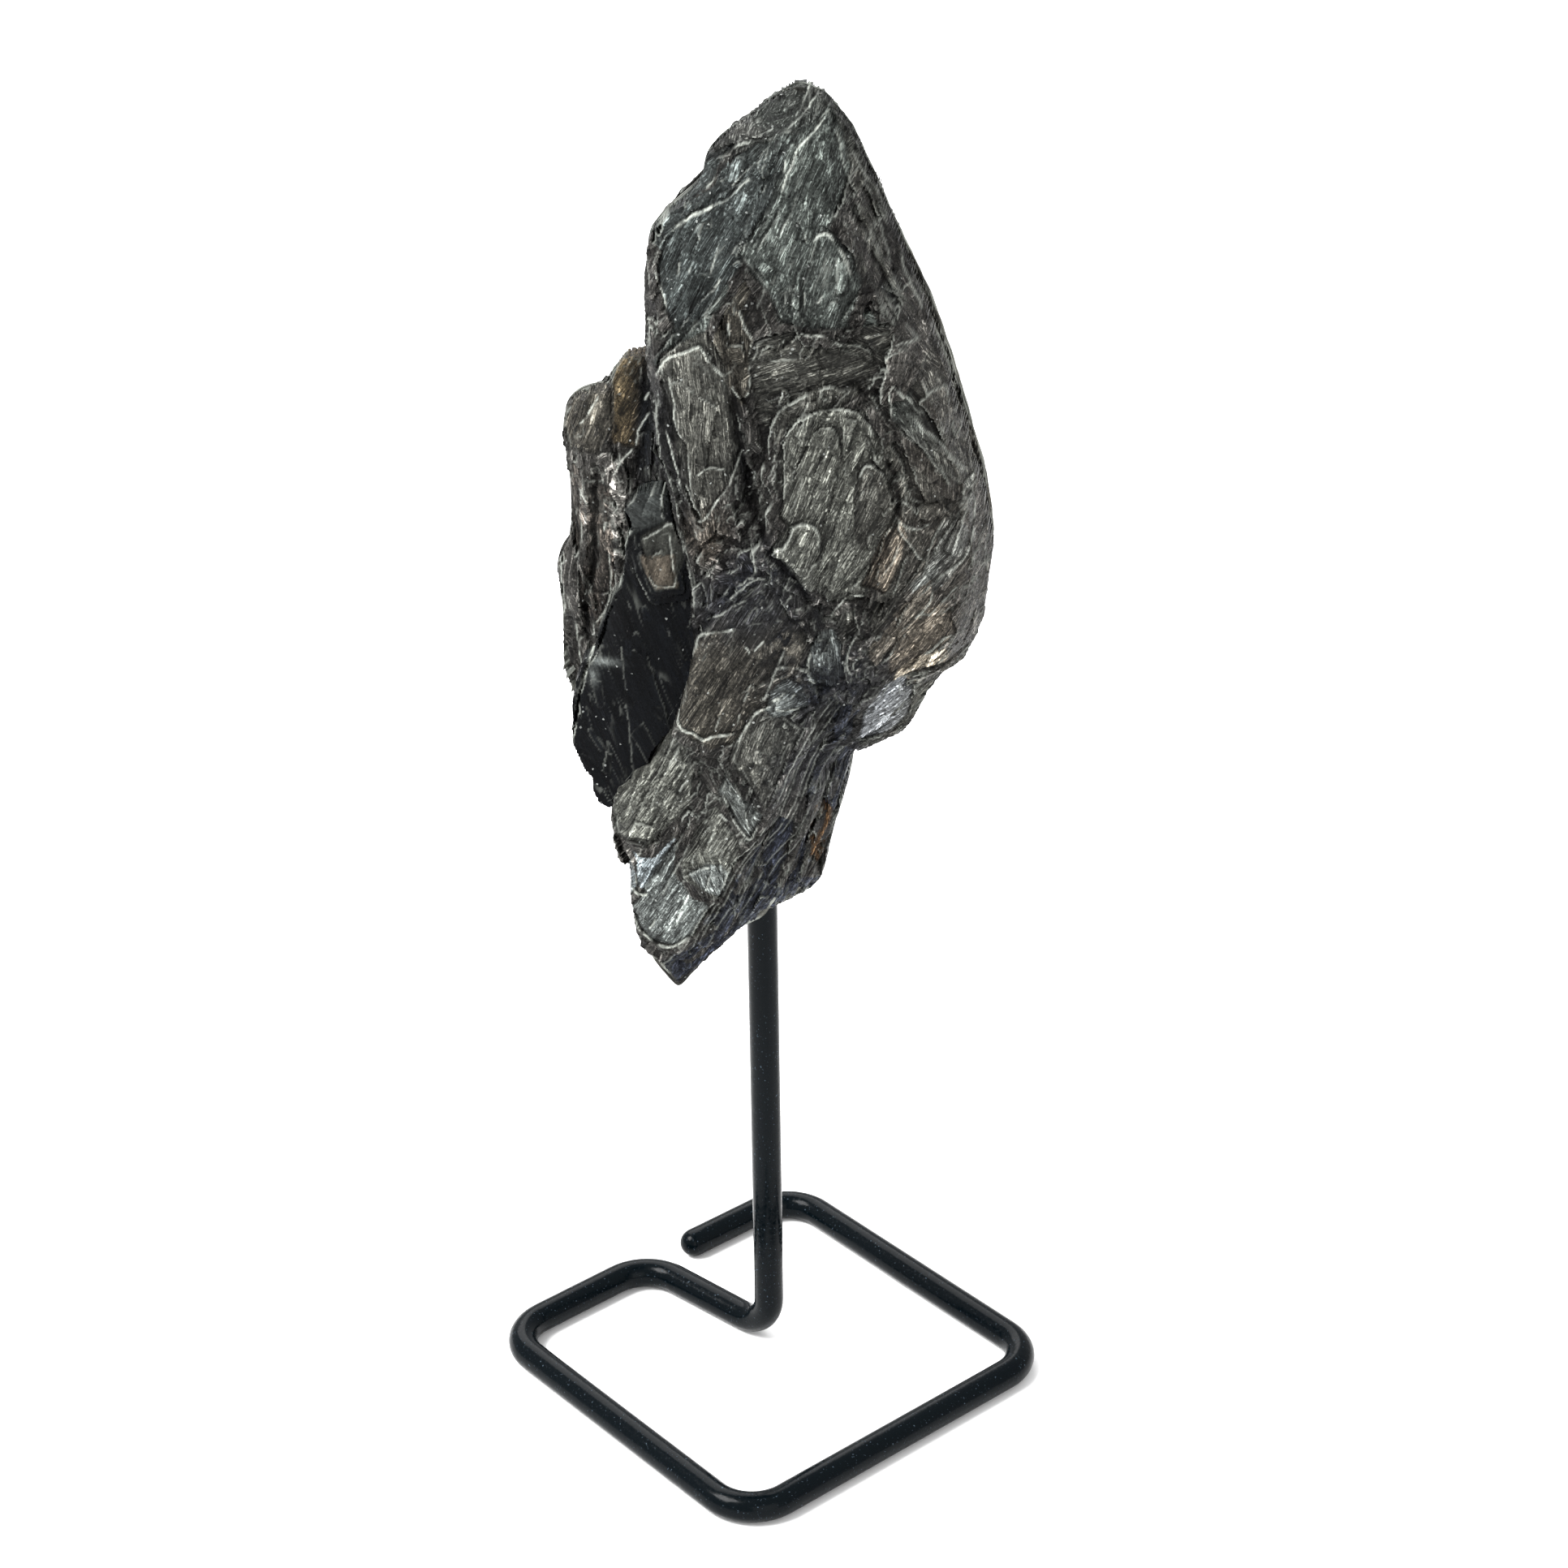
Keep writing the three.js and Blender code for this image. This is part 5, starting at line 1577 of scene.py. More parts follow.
# Gaps painted dark as painted shade: beside the left blade, in the middle, and between the wing and
# the main book.
FRONT_CLEFTS = (
    Cleft(1.35, (-9.8, 140.5, -8.4, 134, -7.6, 130, -6.7, 125, -6.5, 119, -6.1, 111.5)),
    Cleft(0.7, (-0.9, 139, -0.7, 134.5, 0.2, 129, 1.2, 124)),
    Cleft(0.6, (1.4, 124.5, 3.4, 120.5, 5.8, 117, 8, 114.5)),
    Cleft(0.5, (15, 132, 16.8, 127, 16.6, 123.5, 14.5, 117.5)),
    Cleft(0.5, (-3.4, 113.5, -6, 109, -8.6, 103)),
)
WING_CLEFTS = (
    Cleft(1.4, (-10.9, 138.5, -11.3, 135, -11.8, 131, -12.6, 126, -13.6, 122.5)),
    Cleft(0.5, (-18.5, 124.5, -18, 120.5, -18.6, 114, -19.8, 107, -20.3, 101)),
)
# Zones of navy-black chips, some painted bright as glints: x, z, half width and half height.
GLITTER = ((9, 109, 6.5, 6.5), (0.5, 119.5, 4.5, 5), (2.5, 93, 2.5, 4))
WING_GLITTER = ((-16.5, 117, 3.5, 9),)

# The edge of the prow, from the top, how far right of it the sheets under it end, and which way.
PROW_EDGE = (
    (10.4, 103.5), (7.2, 98.7), (4.8, 93.7), (3.4, 89.4), (1.5, 85.1),
    (-1.9, 81.4), (-4, 76.6), (-6.1, 72.9), (-8.1, 68.4), (-11, 65),
)
PROW_SHEETS = (0.0, 0.7, 1.2, 2.3, 2.8, 4.2, 5.3)
PROW_SIDE = (0.87, -0.49)


def prow_tear(number: int, off: float) -> Tear:
    """The end of one of the prow's sheets: the prow's edge, moved aside and shorter further off.

    Args:
        number: the sheet's, from 0 at the edge.
        off: how far from the edge it ends.

    Returns:
        Its tear, the first one brighter and higher.
    """
    edge = PROW_EDGE[number // 3 : len(PROW_EDGE) - number // 2]
    course = [(x + PROW_SIDE[0] * off, z + PROW_SIDE[1] * off) for x, z in edge]
    pale, step = (0.33, 0.1) if number else (0.75, 0.5)
    return Tear(pale, step, tuple(itertools.chain(*course)))


PROW_TEARS = tuple(prow_tear(number, off) for number, off in enumerate(PROW_SHEETS))

# Sheets' ends: pale lines, painted light on the sheet and painted shadow past it.
FRONT_TEARS = (*PROW_TEARS, *tears(
    # The apex and the crown's left edge.
    (0.7, 0.3, -4.6, 161.1, -3.5, 162, -1.5, 162.6, 0.2, 163.4, 1.2, 164),
    (0.8, 0.3, 1.9, 164.7, 2.6, 165.5, 3.5, 165.9, 4.3, 166.2),
    (0.7, 0.25, 5.2, 165.9, 5.8, 166.8, 6.5, 168.2, 7.1, 169.5),
    (0.5, 0.2, 3.6, 166.1, 4.5, 167.4, 5.1, 168.6),
    (0.5, 0.2, 1.9, 165.5, 2.7, 166.9, 3.4, 168.2),
    (1, 0.5, -9.5, 152.4, -9, 153.6, -8.1, 154.6, -6.7, 155.9, -5.6, 156.7, -3.9, 157.3,
        -3, 157.7, -2.1, 158.2, -1.1, 159, 0.3, 160.2, 1.3, 160.9),
    (1, 0.3, -9.4, 154.8, -8.6, 156.3, -7.5, 158.4, -6.3, 159.4, -5.2, 160.1, -4.3, 161.5),
    (0.8, 0.2, -2.4, 160.1, -1.7, 160.6, -1, 161.1),
    (0.5, 0.2, -4.3, 159.1, -3.1, 160.1, -1.3, 162.1, -0.3, 162.8),
    (0.5, 0.2, -1.6, 159.2, -0.3, 160.7, 0.9, 161.8, 2.1, 162.5),
    # The crown's ridges.
    (0.9, 0.4, 3.2, 157.8, 4, 158.4, 4.2, 159.4, 4.7, 161, 5.5, 162.3, 5.5, 163.4, 6.5, 164.2,
        7.5, 164.8, 8.7, 166.2),
    (0.8, 0.3, -0.1, 153.1, 0.6, 154.5, 1.4, 155.3, 2.8, 156.6),
    (0.8, 0.15, 4.3, 161, 4.5, 161.8, 4.5, 162.4),
    (0.9, 0.15, 5.9, 156.5, 6.2, 157.3, 6.7, 158.4),
    (0.5, 0.2, 3.9, 154.4, 4.5, 155.8, 5.2, 157.3, 5.7, 158.9),
    (0.5, 0.2, 1.5, 153, 2.3, 154.7, 3.5, 156.3, 4, 157.8),
    (0.6, -0.25, 5.8, 156.3, 6.5, 155.5, 6.7, 154.7, 6.9, 154),
    (0.9, 0.5, 7.5, 154, 8.2, 155, 8.9, 155.4, 9.9, 154.4, 10.8, 153.2, 11.1, 152.2, 11.8, 150.7,
        12.4, 149.5),
    (0.4, -0.2, 9.5, 164.9, 9.9, 163.1, 10.3, 161.1, 11.3, 159, 12.2, 157.2),
    # The bright ends at the top of the fan.
    (1, 0.4, 11.7, 148.4, 12.8, 148.5, 14.3, 148.3, 15.3, 148, 16, 147.3, 16.9, 146.7),
    (1, 0.4, 10.9, 147.5, 12.1, 147.6, 13.1, 147.3, 14.3, 147.1, 15.7, 146.8, 16.8, 146.3,
        17.6, 145.6),
    (0.5, 0.2, 10.7, 146.4, 11.9, 146.7, 13.1, 146.5, 14.5, 146.1, 15.9, 145.6),
    (0.8, 0.4, 10.6, 144.9, 11.6, 145, 12.7, 145.1, 13.3, 145.2, 15.1, 144.9, 16.4, 144.5,
        17.1, 143.7),
    (0.7, 0.3, 16.1, 142.8, 16.8, 143.1, 17.9, 142.7, 19.1, 142.2),
    # The fan's outer edge and the flank.
    (0.9, 0.5, 17.1, 145.9, 18.3, 144.2, 19.2, 143.2, 20.1, 142.2, 20.8, 141.5, 21.3, 140.5,
        22, 138.8, 22.6, 137.4, 23.3, 136, 24.4, 134.2, 24.8, 132.5, 25.4, 129.5, 25.7, 126.9,
        25.4, 125.3, 24.7, 124.5),
    (0.3, 0.2, 16.4, 145.3, 17.7, 143.6, 18.7, 142.3, 19.6, 140.6, 20.5, 138.6, 21.4, 136.3),
    (0.5, 0.2, 14.5, 154.9, 15.2, 153.2, 16, 151.2, 16.7, 149.8, 17.2, 147.9, 18.3, 145.9,
        19.5, 143.7),
    (0.35, 0.2, 12.4, 159.2, 13.3, 157, 14.2, 154.2, 15.1, 151.6, 15.7, 149),
    (0.35, 0.2, 11.2, 162.5, 12.1, 160.4, 13.3, 158.3, 14.2, 156),
    # The dark sheets in the centre.
    (0.7, 0.4, 4, 143.5, 5.1, 143.4, 5.8, 144.5, 6.5, 145, 7.2, 144.5, 8, 144.7, 9, 144.9,
        9.6, 144, 10.6, 143.6, 12, 143.2, 13, 142.8, 13.9, 142.2, 14.2, 141),
    (0.6, 0.2, 4.1, 139.2, 5.1, 139.8, 6.1, 140.1, 7.5, 140.5, 9.3, 140.7, 10.3, 141),
    (1, 0.1, 4.7, 138.5, 5.4, 138.8, 6.1, 139.1),
    (0.4, 0.2, 2.3, 137.2, 3.9, 137.9, 5.8, 138.2, 7.9, 138.6),
    (0.4, 0.2, 2.8, 141.7, 4.6, 142, 6.6, 142.1, 8.4, 142.6),
    (0.9, 0.3, 9.1, 135.7, 9.8, 136.8, 10.7, 138, 11.5, 138.6, 13.1, 139.2, 14.5, 139.5,
        15.7, 139.8),
    (0.6, 0.2, 11, 136.9, 11.9, 137.5, 12.8, 138.1, 14, 138.8),
    (0.8, 0.2, 11.9, 136.8, 13.3, 137.1, 14.5, 137.4, 15.4, 137.8),
    # The big middle plate and what lies on it.
    (0.9, 0.5, 4.8, 125.2, 4.5, 127, 4.7, 129, 4.5, 130.3, 4.7, 131.3, 4.5, 133.3, 5, 134.5,
        6.3, 135.9, 7.6, 136.5, 9.2, 136.9, 11.4, 136.7, 12.5, 136.3, 13.7, 134.9, 14.1, 133.1,
        14.7, 132.1),
    (1.2, 0.1, 9.1, 136.5, 10.2, 136.5, 11.4, 136.6),
    (0.8, 0.3, 4.9, 129.8, 5.8, 130.3, 6.6, 131.5, 7.3, 132.9, 7.7, 134.3, 8.2, 134.8, 9.2, 134.9,
        10.1, 134.7, 10.5, 134, 10.6, 132.4, 10.6, 130.9),
    (0.5, 0.2, 7.7, 129.2, 8.1, 130.8, 8.9, 132, 9.8, 132.1, 10.3, 131.4),
    (0.5, 0.2, 7.3, 125.7, 8.2, 128.4, 8.9, 130.1),
    (0.4, -0.2, 10.6, 130.9, 10.3, 127.9, 9.4, 125.2, 8.7, 123.4),
    (0.8, 0.4, 12.4, 128.8, 13.4, 130.5, 14.4, 130.2, 15.5, 129, 16, 126.9, 16.3, 125.1,
        16.9, 124.1),
    (0.6, 0.2, 10.6, 124.5, 11.7, 127.4, 12.4, 128.6, 13.2, 130.1),
    (0.5, 0.2, 12, 125, 12.9, 127.3, 13.8, 128.6),
    (0.45, 0.2, 8, 118, 8.9, 121, 10.3, 123.9, 11.1, 126.7),
    (0.45, 0.2, 9.4, 116, 10.4, 119.4, 11.7, 122.3),
    # The fan's lower leaves, down to the shell.
    (0.9, 0.4, 15.9, 134.4, 16, 136.5, 15.8, 138.3, 16.2, 139.2, 16.7, 138.5, 17.2, 137.6,
        18.1, 137, 18.5, 135.9),
    (0.7, 0.3, 18.5, 135.1, 19.4, 133.6, 20.6, 132.5, 21.7, 131.1, 23.1, 128.5, 24.4, 126.4),
    (0.5, -0.2, 17.3, 133.8, 18.3, 132.4, 19.8, 130.8, 21.4, 128.4, 22.6, 126.3),
    (0.5, 0.1, 21.5, 131, 22.2, 131.4, 22.7, 132.4),
    (0.7, -0.4, 24.8, 124.1, 25.1, 122.2, 25.1, 120.1, 24.7, 118.7, 23.8, 117.5, 22.2, 116.8,
        20.6, 115.6, 19.6, 114.7, 18.2, 113.9, 17.5, 112.7, 16.8, 111.2, 15.7, 109.6),
    (0.7, 0.3, 20.6, 118.6, 21.3, 120.4, 22.5, 122, 24.1, 124.2),
    (0.7, 0.3, 22.4, 117.8, 23.6, 121.7, 24.4, 123.6),
    (0.4, 0.2, 19.4, 116.2, 19.9, 118.4, 20.9, 121.3, 22.1, 123.3),
    (0.6, -0.3, 16.7, 123.7, 17.4, 121.9, 18.7, 120.1, 19.6, 118.4, 20.1, 118.9),
    (0.7, 0.4, 13.5, 117.4, 14.7, 119.7, 15.4, 122, 16.4, 123.7, 16.9, 124.4),
    (0.5, -0.3, 16.8, 124.3, 17.1, 122.5, 17, 120.7, 16.3, 118.9, 14.9, 117.4, 14.2, 115.9),
    (0.5, -0.2, 17.5, 118.5, 16.9, 116.3, 15.9, 114, 14.8, 111.6),
    (0.8, 0.4, 4, 120.9, 5, 122.4, 5.6, 124.2, 6.8, 124.4, 7.8, 124, 8.5, 122.6, 8.2, 120.6),
    (0.8, 0.3, 16.9, 123.9, 18.1, 122.9, 19.3, 122.5, 20.4, 122.7),
    (0.8, -0.4, 20.7, 114.9, 20.5, 113.5, 19.8, 112.5, 18.7, 111.5, 17.7, 111.1, 17.1, 110.4,
        16.8, 108.8, 15.5, 107.2, 14.8, 106.9),
    (0.9, -0.4, 23.2, 108.4, 22.3, 108.8, 21.4, 108.2, 20.7, 107.5, 19.1, 106.6, 18.4, 105.7,
        17.6, 105, 16.4, 104.2),
    (0.9, -0.4, 22.5, 106, 21.4, 104.1, 20.7, 103.3, 19.6, 102.9, 17.8, 103, 16.4, 103.4),
    # The chips beside the apron.
    (0.7, 0.3, 9.6, 104.7, 8, 104.8, 7.3, 105.4, 6.9, 106.8, 7.1, 108.4, 7.5, 109.6, 8.6, 111.1),
    (0.6, 0.2, 8, 107.8, 8.9, 108.9, 9.6, 110.8),
    (0.8, 0.3, 9.4, 112.6, 10.3, 114.3, 11.2, 115, 12.6, 115.9, 13.7, 115),
    (0.6, 0.2, 11.9, 105.2, 11, 107.1, 11.6, 109, 12.6, 110.9),
    # The folds and the blade on the left.
    (1, 0.3, -10.2, 141, -9.5, 141.9, -8.6, 142.8, -6.4, 145.2, -4.6, 147.9, -2.7, 149.5),
    (0.9, 0.3, -9.7, 140.3, -9.1, 141.4, -7.5, 142.7, -5.1, 145.5, -4.2, 146.5, -2.6, 148.6),
    (0.6, 0.2, -6, 144.2, -4.6, 145.7, -3.3, 147.2, -2.3, 148.5),
    (0.9, 0.4, -9.6, 139, -9.3, 140.4, -8.3, 141.7, -7.1, 142.3, -5.6, 142.8, -4.7, 143.5,
        -3.9, 142.5, -2.8, 140.9, -1.4, 139.7),
    (0.8, 0.4, -5.6, 126.2, -5.7, 127.6, -5.9, 130, -6.2, 132.8, -7.1, 133.6, -7.6, 135.5,
        -7.4, 136.9, -7.8, 138.8, -8.1, 140.2),
    (0.9, -0.4, -1.4, 128.4, -2.1, 127.3, -3, 126, -4.3, 124.1, -5, 123.7, -5.7, 125.4, -6.3, 127,
        -6.7, 128.5),
    (0.5, -0.2, -0.1, 132.1, -0.9, 129.9, -1.6, 128.1),
    (0.5, 0.2, -5.2, 129.3, -4.4, 130.1, -3, 130.3, -1.7, 129.9),
    (0.7, -0.3, -1.3, 139.2, -0.7, 138.1, 0.1, 137.5, 0.8, 138, 0.8, 139.6, 1, 141.3),
    (0.7, 0.3, -0.3, 147.1, 0, 145.8, 1.1, 143.8),
    (1, 0.1, -1.6, 144.3, -1.5, 145, -1.6, 145.6),
    (1, 0.1, 5.6, 149.5, 5.9, 150, 6.1, 150.7),
    (0.7, 0.1, 8, 148, 8.4, 148.4, 8.7, 148.9),
    (0.9, 0.4, -8.5, 146.1, -8.3, 147.6, -9.2, 149.2, -9.6, 150.5),
    (0.6, 0.15, -5.8, 150.6, -5.4, 152.1, -4.9, 153.6, -4.6, 154.8),
    (0.5, 0.15, -7, 150.2, -6.7, 152.3, -6, 154.2),
    (0.5, 0.15, -3.7, 150.4, -3, 152.2, -2.6, 154),
    (0.9, 0.1, -3, 149.2, -2.6, 149.7, -2.5, 150.4),
    # The crevice, and the ground below the blade.
    (0.8, 0.3, -8.8, 123.2, -9.2, 125.9, -9.6, 129.5, -9.8, 132, -9.6, 134.4, -9.9, 136.7),
    (0.8, 0.3, -6.2, 125.5, -7, 128.2, -7.6, 130.3, -8.1, 132.2, -8.6, 133.8),
    (0.6, 0.3, -4.4, 123.8, -5.6, 125.9, -6.3, 128.2),
    (0.7, -0.3, -5.6, 120.3, -4.9, 118.6, -4.6, 116, -4.2, 114.5, -4, 112.9),
    (0.6, 0.3, -3.7, 113.8, -3.8, 115.9, -3.6, 118.4, -2.3, 120.2, -0.8, 120.8, 0.4, 120.5),
    (0.6, 0.3, -6, 107.8, -5.6, 109.5, -5, 110.5, -3.7, 111.2, -2.2, 111.3, -0.6, 111.8),
    (0.6, 0.3, -3.6, 113.6, -2.3, 114.5, -1.4, 115.2, -0.5, 116.4, 0.9, 117.4, 2, 117.8,
        2.7, 117.1),
    (0.4, 0.2, -4.4, 112.3, -2.9, 113, -1.4, 114.3, 0.4, 115.3),
    (0.7, 0.1, 1.4, 117.9, 1.1, 119.4, 1.2, 121.1),
    # The apron and its leaves.
    (1.1, 0.3, -8.6, 102.8, -8, 104.1, -7.2, 105.3),
    (0.9, -0.4, -0.8, 98.9, -2.6, 98.5, -4.1, 98.3, -5.1, 97.5, -6, 98.8, -7.3, 98.4, -7.8, 99.6,
        -8.6, 100.9),
    (0.8, 0.4, -1.2, 97.5, 0, 99.6, 1, 101.5, 1.9, 102.1, 3.2, 102.5),
    (1.1, 0.2, 2.9, 102.9, 3.7, 103.5, 4.8, 103.7, 5.7, 103.9),
    (0.9, -0.2, 6.1, 102.3, 4.8, 101.8, 3.2, 102.2),
    (0.4, 0.15, -3.6, 99, -2.9, 101.5, -2.3, 104, -1.6, 106),
    (0.4, 0.15, -1.1, 99.6, -0.3, 102.5, 0.6, 105.1, 1.6, 107.8),
    (0.4, 0.15, 2, 102.9, 3, 105.6, 3.9, 107.8, 4.5, 109.7),
    (0.8, 0.1, -0.2, 110.1, 0.3, 109.1, 0.7, 108.5),
    (0.8, 0.1, 0.9, 109.1, 1.8, 109.9, 2.2, 110.3),
    # The pale fold at the lower left.
    (0.8, 0.3, -16.7, 85.3, -16.2, 87.4, -16.3, 89.5, -15, 91.1, -13.4, 93.2, -11.9, 94.8),
    (0.6, 0.25, -14.1, 84.1, -12.6, 87.7, -10.9, 91.5, -9.4, 94.8, -8, 98.1),
    (0.6, 0.25, -13.2, 83.7, -11.9, 86.8, -10.6, 90.3, -8.9, 94, -7.7, 96.5),
    (0.5, 0.25, -14.9, 85.9, -13.5, 89.3, -12.2, 92.4, -10.9, 95.1),
    (0.7, 0.25, -12.3, 82.6, -10.9, 86.2, -9.9, 88.6, -8.6, 91.4, -7.4, 93.5),
    (0.6, 0.25, -11.1, 82.9, -10, 85.5, -8.7, 88.8, -7.5, 91.3, -6.7, 92.3),
    (0.7, -0.3, -9.2, 85.3, -10.2, 83.8, -11.7, 82.4, -13.3, 81.6, -14.4, 82.2),
    (0.9, -0.4, -6.7, 87.9, -7.1, 86.1, -7.9, 84.4, -9.4, 81.9, -10.2, 80, -11.3, 78,
        -12.1, 77.3),
    (0.8, -0.4, -12.2, 75.5, -13.2, 74.8, -14.6, 75.4),
    # The thorn and the lowest leaves.
    (0.8, -0.4, 1.7, 87.9, 0.8, 86.2, 0, 84.6, -1.1, 86.3, -2.2, 88.8, -3, 90.9),
    (0.4, 0.2, -1.5, 92.5, -0.6, 90, -0.1, 87.7, 0.2, 85.7),
    (0.9, 0.1, -3.3, 88.2, -2.9, 87.8, -2.4, 87),
    (0.8, 0.3, -6.8, 81.2, -6.1, 83.3, -5.3, 85.4, -4.3, 86.6),
    (0.6, 0.2, -5.6, 81.6, -4.9, 83.7, -3.9, 86),
    (0.9, 0.3, -8.1, 79, -6.5, 80, -5, 81.1, -4.5, 80.9),
    (0.5, 0.2, -5.3, 77.5, -4.8, 79.1, -4.4, 80.5),
    (0.9, -0.4, -7.4, 70.6, -9.1, 68.9, -10.5, 68.1, -11.7, 68.3, -12.8, 69.1, -14.1, 70,
        -14.2, 72.8),
    (0.7, 0.2, -12.6, 70.1, -11.9, 71.4, -11, 73.3),
    (0.5, 0.2, -9.4, 70.8, -8.5, 73.8, -7.2, 77),
    (0.4, 0.2, -11, 75.1, -9.5, 78.2, -8, 81.4, -6.9, 83.8),
))
WING_TEARS = tears(
    (0.6, 0.2, -15.7, 131.5, -16, 135, -15.4, 137, -14.1, 138.1, -11.8, 139.3),
    (0.8, 0.3, -20, 129.4, -19.2, 130, -18.4, 131.7, -17.4, 133.3),
    (0.5, 0.2, -21.1, 131.6, -20.3, 132.8, -18.9, 133.8, -16.8, 134.4),
    (0.7, 0.2, -13.3, 127.8, -13, 129.9, -11.6, 131.9),
    (0.8, 0.2, -12.2, 133.1, -11.6, 134.3),
    (1, -0.3, -20.3, 121.5, -19.9, 121, -19.2, 120.1),
    (0.6, 0.3, -16.2, 123.9, -14.8, 126.4, -13.4, 127.7),
    (0.7, 0.3, -20.7, 98, -20.8, 100.6, -21.1, 102.6, -21.4, 105.8),
    (0.5, 0.3, -20.8, 107.9, -20.7, 112.1, -20.1, 115.8, -20.4, 119.1),
    (0.6, 0.3, -22.8, 105.3, -22.8, 109.5, -22.9, 112.4, -21.8, 115),
    (0.6, 0.3, -19.3, 109.9, -18.3, 109.2, -16.9, 109.7),
    (0.8, 0.1, -17.4, 117.3, -17.1, 118.1, -17.1, 118.5),
    (0.5, 0.3, -19.3, 105.1, -17.6, 107.1, -16.7, 110, -16.6, 113, -16.9, 116.2),
)
SLAB_TEARS = tears(
    (1, 0.3, -14.6, 119.7, -14.5, 121.2, -14.1, 122.3, -13, 123.2, -12.6, 124.5, -11.9, 125.5,
        -11.1, 126.4, -10, 126.9),
    (1.2, 0.4, -20.2, 99.8, -19.5, 101.3, -19, 102.7, -18.4, 105, -18, 106.8, -17.3, 108.6,
        -16.3, 110.3, -15.9, 111.7, -14.9, 113.5, -14.7, 115.1, -14.5, 116.8, -14.1, 118.7,
        -13.5, 119.7, -12.5, 120.3),
    (0.7, 0.2, -12.1, 121.4, -11.5, 123.3, -10.8, 124.6),
    (0.45, 0.2, -12.4, 118.8, -11.1, 119.6, -9.4, 120.7, -8.9, 121.4, -8.3, 120.6),
    (0.7, 0.3, -11.1, 117, -9.8, 118.1),
    (0.45, -0.2, -8.2, 115.5, -8.4, 113.8, -10.8, 113.6, -11.3, 115.3, -11.7, 116.8,
        -12.4, 118.6),
    (0.6, -0.2, -9, 119.9, -8.9, 118.3, -8.7, 116.4, -8.4, 115.3),
    (0.8, 0.2, -10.1, 126.5, -9.6, 125, -9.8, 122.4, -9.4, 121.3),
)

# Long plates on the back: x and z of the middle, length, width, lean from upright, and lift.
BACK_BLADES = (
    (5, 158, 17, 10, -24, 0.8),
    (9, 146, 20, 10, -20, 1.4),
    (-2, 148, 22, 11, 22, 1.0),
    (14, 131, 24, 11, -14, 1.2),
    (3, 134, 26, 12, 4, 2.2),
    (-5, 128, 20, 9, 12, 1.2),
    (10, 119, 22, 13, -4, 2.4),
    (18, 114, 16, 9, 16, 1.2),
    (0, 112, 24, 11, 10, 1.6),
    (8, 102, 18, 12, 26, 1.8),
    (-2, 95, 20, 10, 22, 1.4),
    (3, 84, 18, 9, 20, 2.0),
    (-5, 80, 18, 9, 14, 1.0),
    (-8, 72, 12, 7, 12, 1.6),
)
WING_BACK_BLADES = (
    (-15, 128, 15, 9, 18, 0.8),
    (-18, 116, 18, 8, 4, 1.4),
    (-17, 104, 18, 8, -8, 0.9),
)


# Where on its ellipse a blade has its corners, as shares of a turn.
BLADE_CORNERS = (0, 0.12, 0.3, 0.48, 0.56, 0.66, 0.8, 0.92)


def blade(row: Sequence[float], seed: int, tint: Tint) -> Plate:
    """A blade-shaped plate with broken corners.

    Its corners lie on an ellipse at fixed shares of a turn, each pulled in or out by the
    fraction of a large sine, as the solid's corners are.

    Args:
        row: a row of BACK_BLADES.
        seed: its number in the table.
        tint: its body colour.

    Returns:
        The plate.
    """
    x, z, length, width, lean, lift = row
    corners = np.array(BLADE_CORNERS)
    wave = np.sin(np.arange(len(corners)) * 12.9898 + seed * 78.233) * 43758.5453
    reach = 0.5 * (0.85 + 0.3 * (wave - np.floor(wave)))
    across = width * reach * np.sin(2 * np.pi * corners)
    along = length * reach * np.cos(2 * np.pi * corners)
    turn = math.radians(lean)
    rim_x = x + across * math.cos(turn) + along * math.sin(turn)
    rim_z = z - across * math.sin(turn) + along * math.cos(turn)
    rim = tuple(np.column_stack([rim_x, rim_z]).ravel().tolist())
    return Plate(lift, (0, -0.03), 90 - lean, tint, rim, rough=0.5)


# ------------------------------------------------------------------------------ materials


@dataclass
class NodeTree:
    """A material's node tree, with one way to add a node."""

    material: bpy.types.Material

    def add(self, kind: str, settings: Optional[dict] = None, **links: object) -> bpy.types.Node:
        """Adds a node, sets its properties and inputs, and links its inputs.

        Args:
            kind: the node's type name without ShaderNode.
            settings: properties by name, and inputs by name or number.
            links: inputs by name with _ for a space, each an output socket.

        Returns:
            The node.
        """
        tree = self.material.node_tree
        node = tree.nodes.new("ShaderNode" + kind)
        for name, value in (settings or {}).items():
            if isinstance(name, int) or name in node.inputs:
                node.inputs[name].default_value = value
            else:
                setattr(node, name, value)
        for name, socket in links.items():
            key = int(name[1:]) if name[0] == "i" and name[1:].isdigit() else name.replace("_", " ")
            tree.links.new(socket, node.inputs[key])
        return node


def new_material(name: str) -> NodeTree:
    """Makes a material without nodes.

    Args:
        name: the material's name.

    Returns:
        Its node tree.
    """
    material = bpy.data.materials.new(name)
    material.use_nodes = True
    material.node_tree.nodes.clear()
    return NodeTree(material)


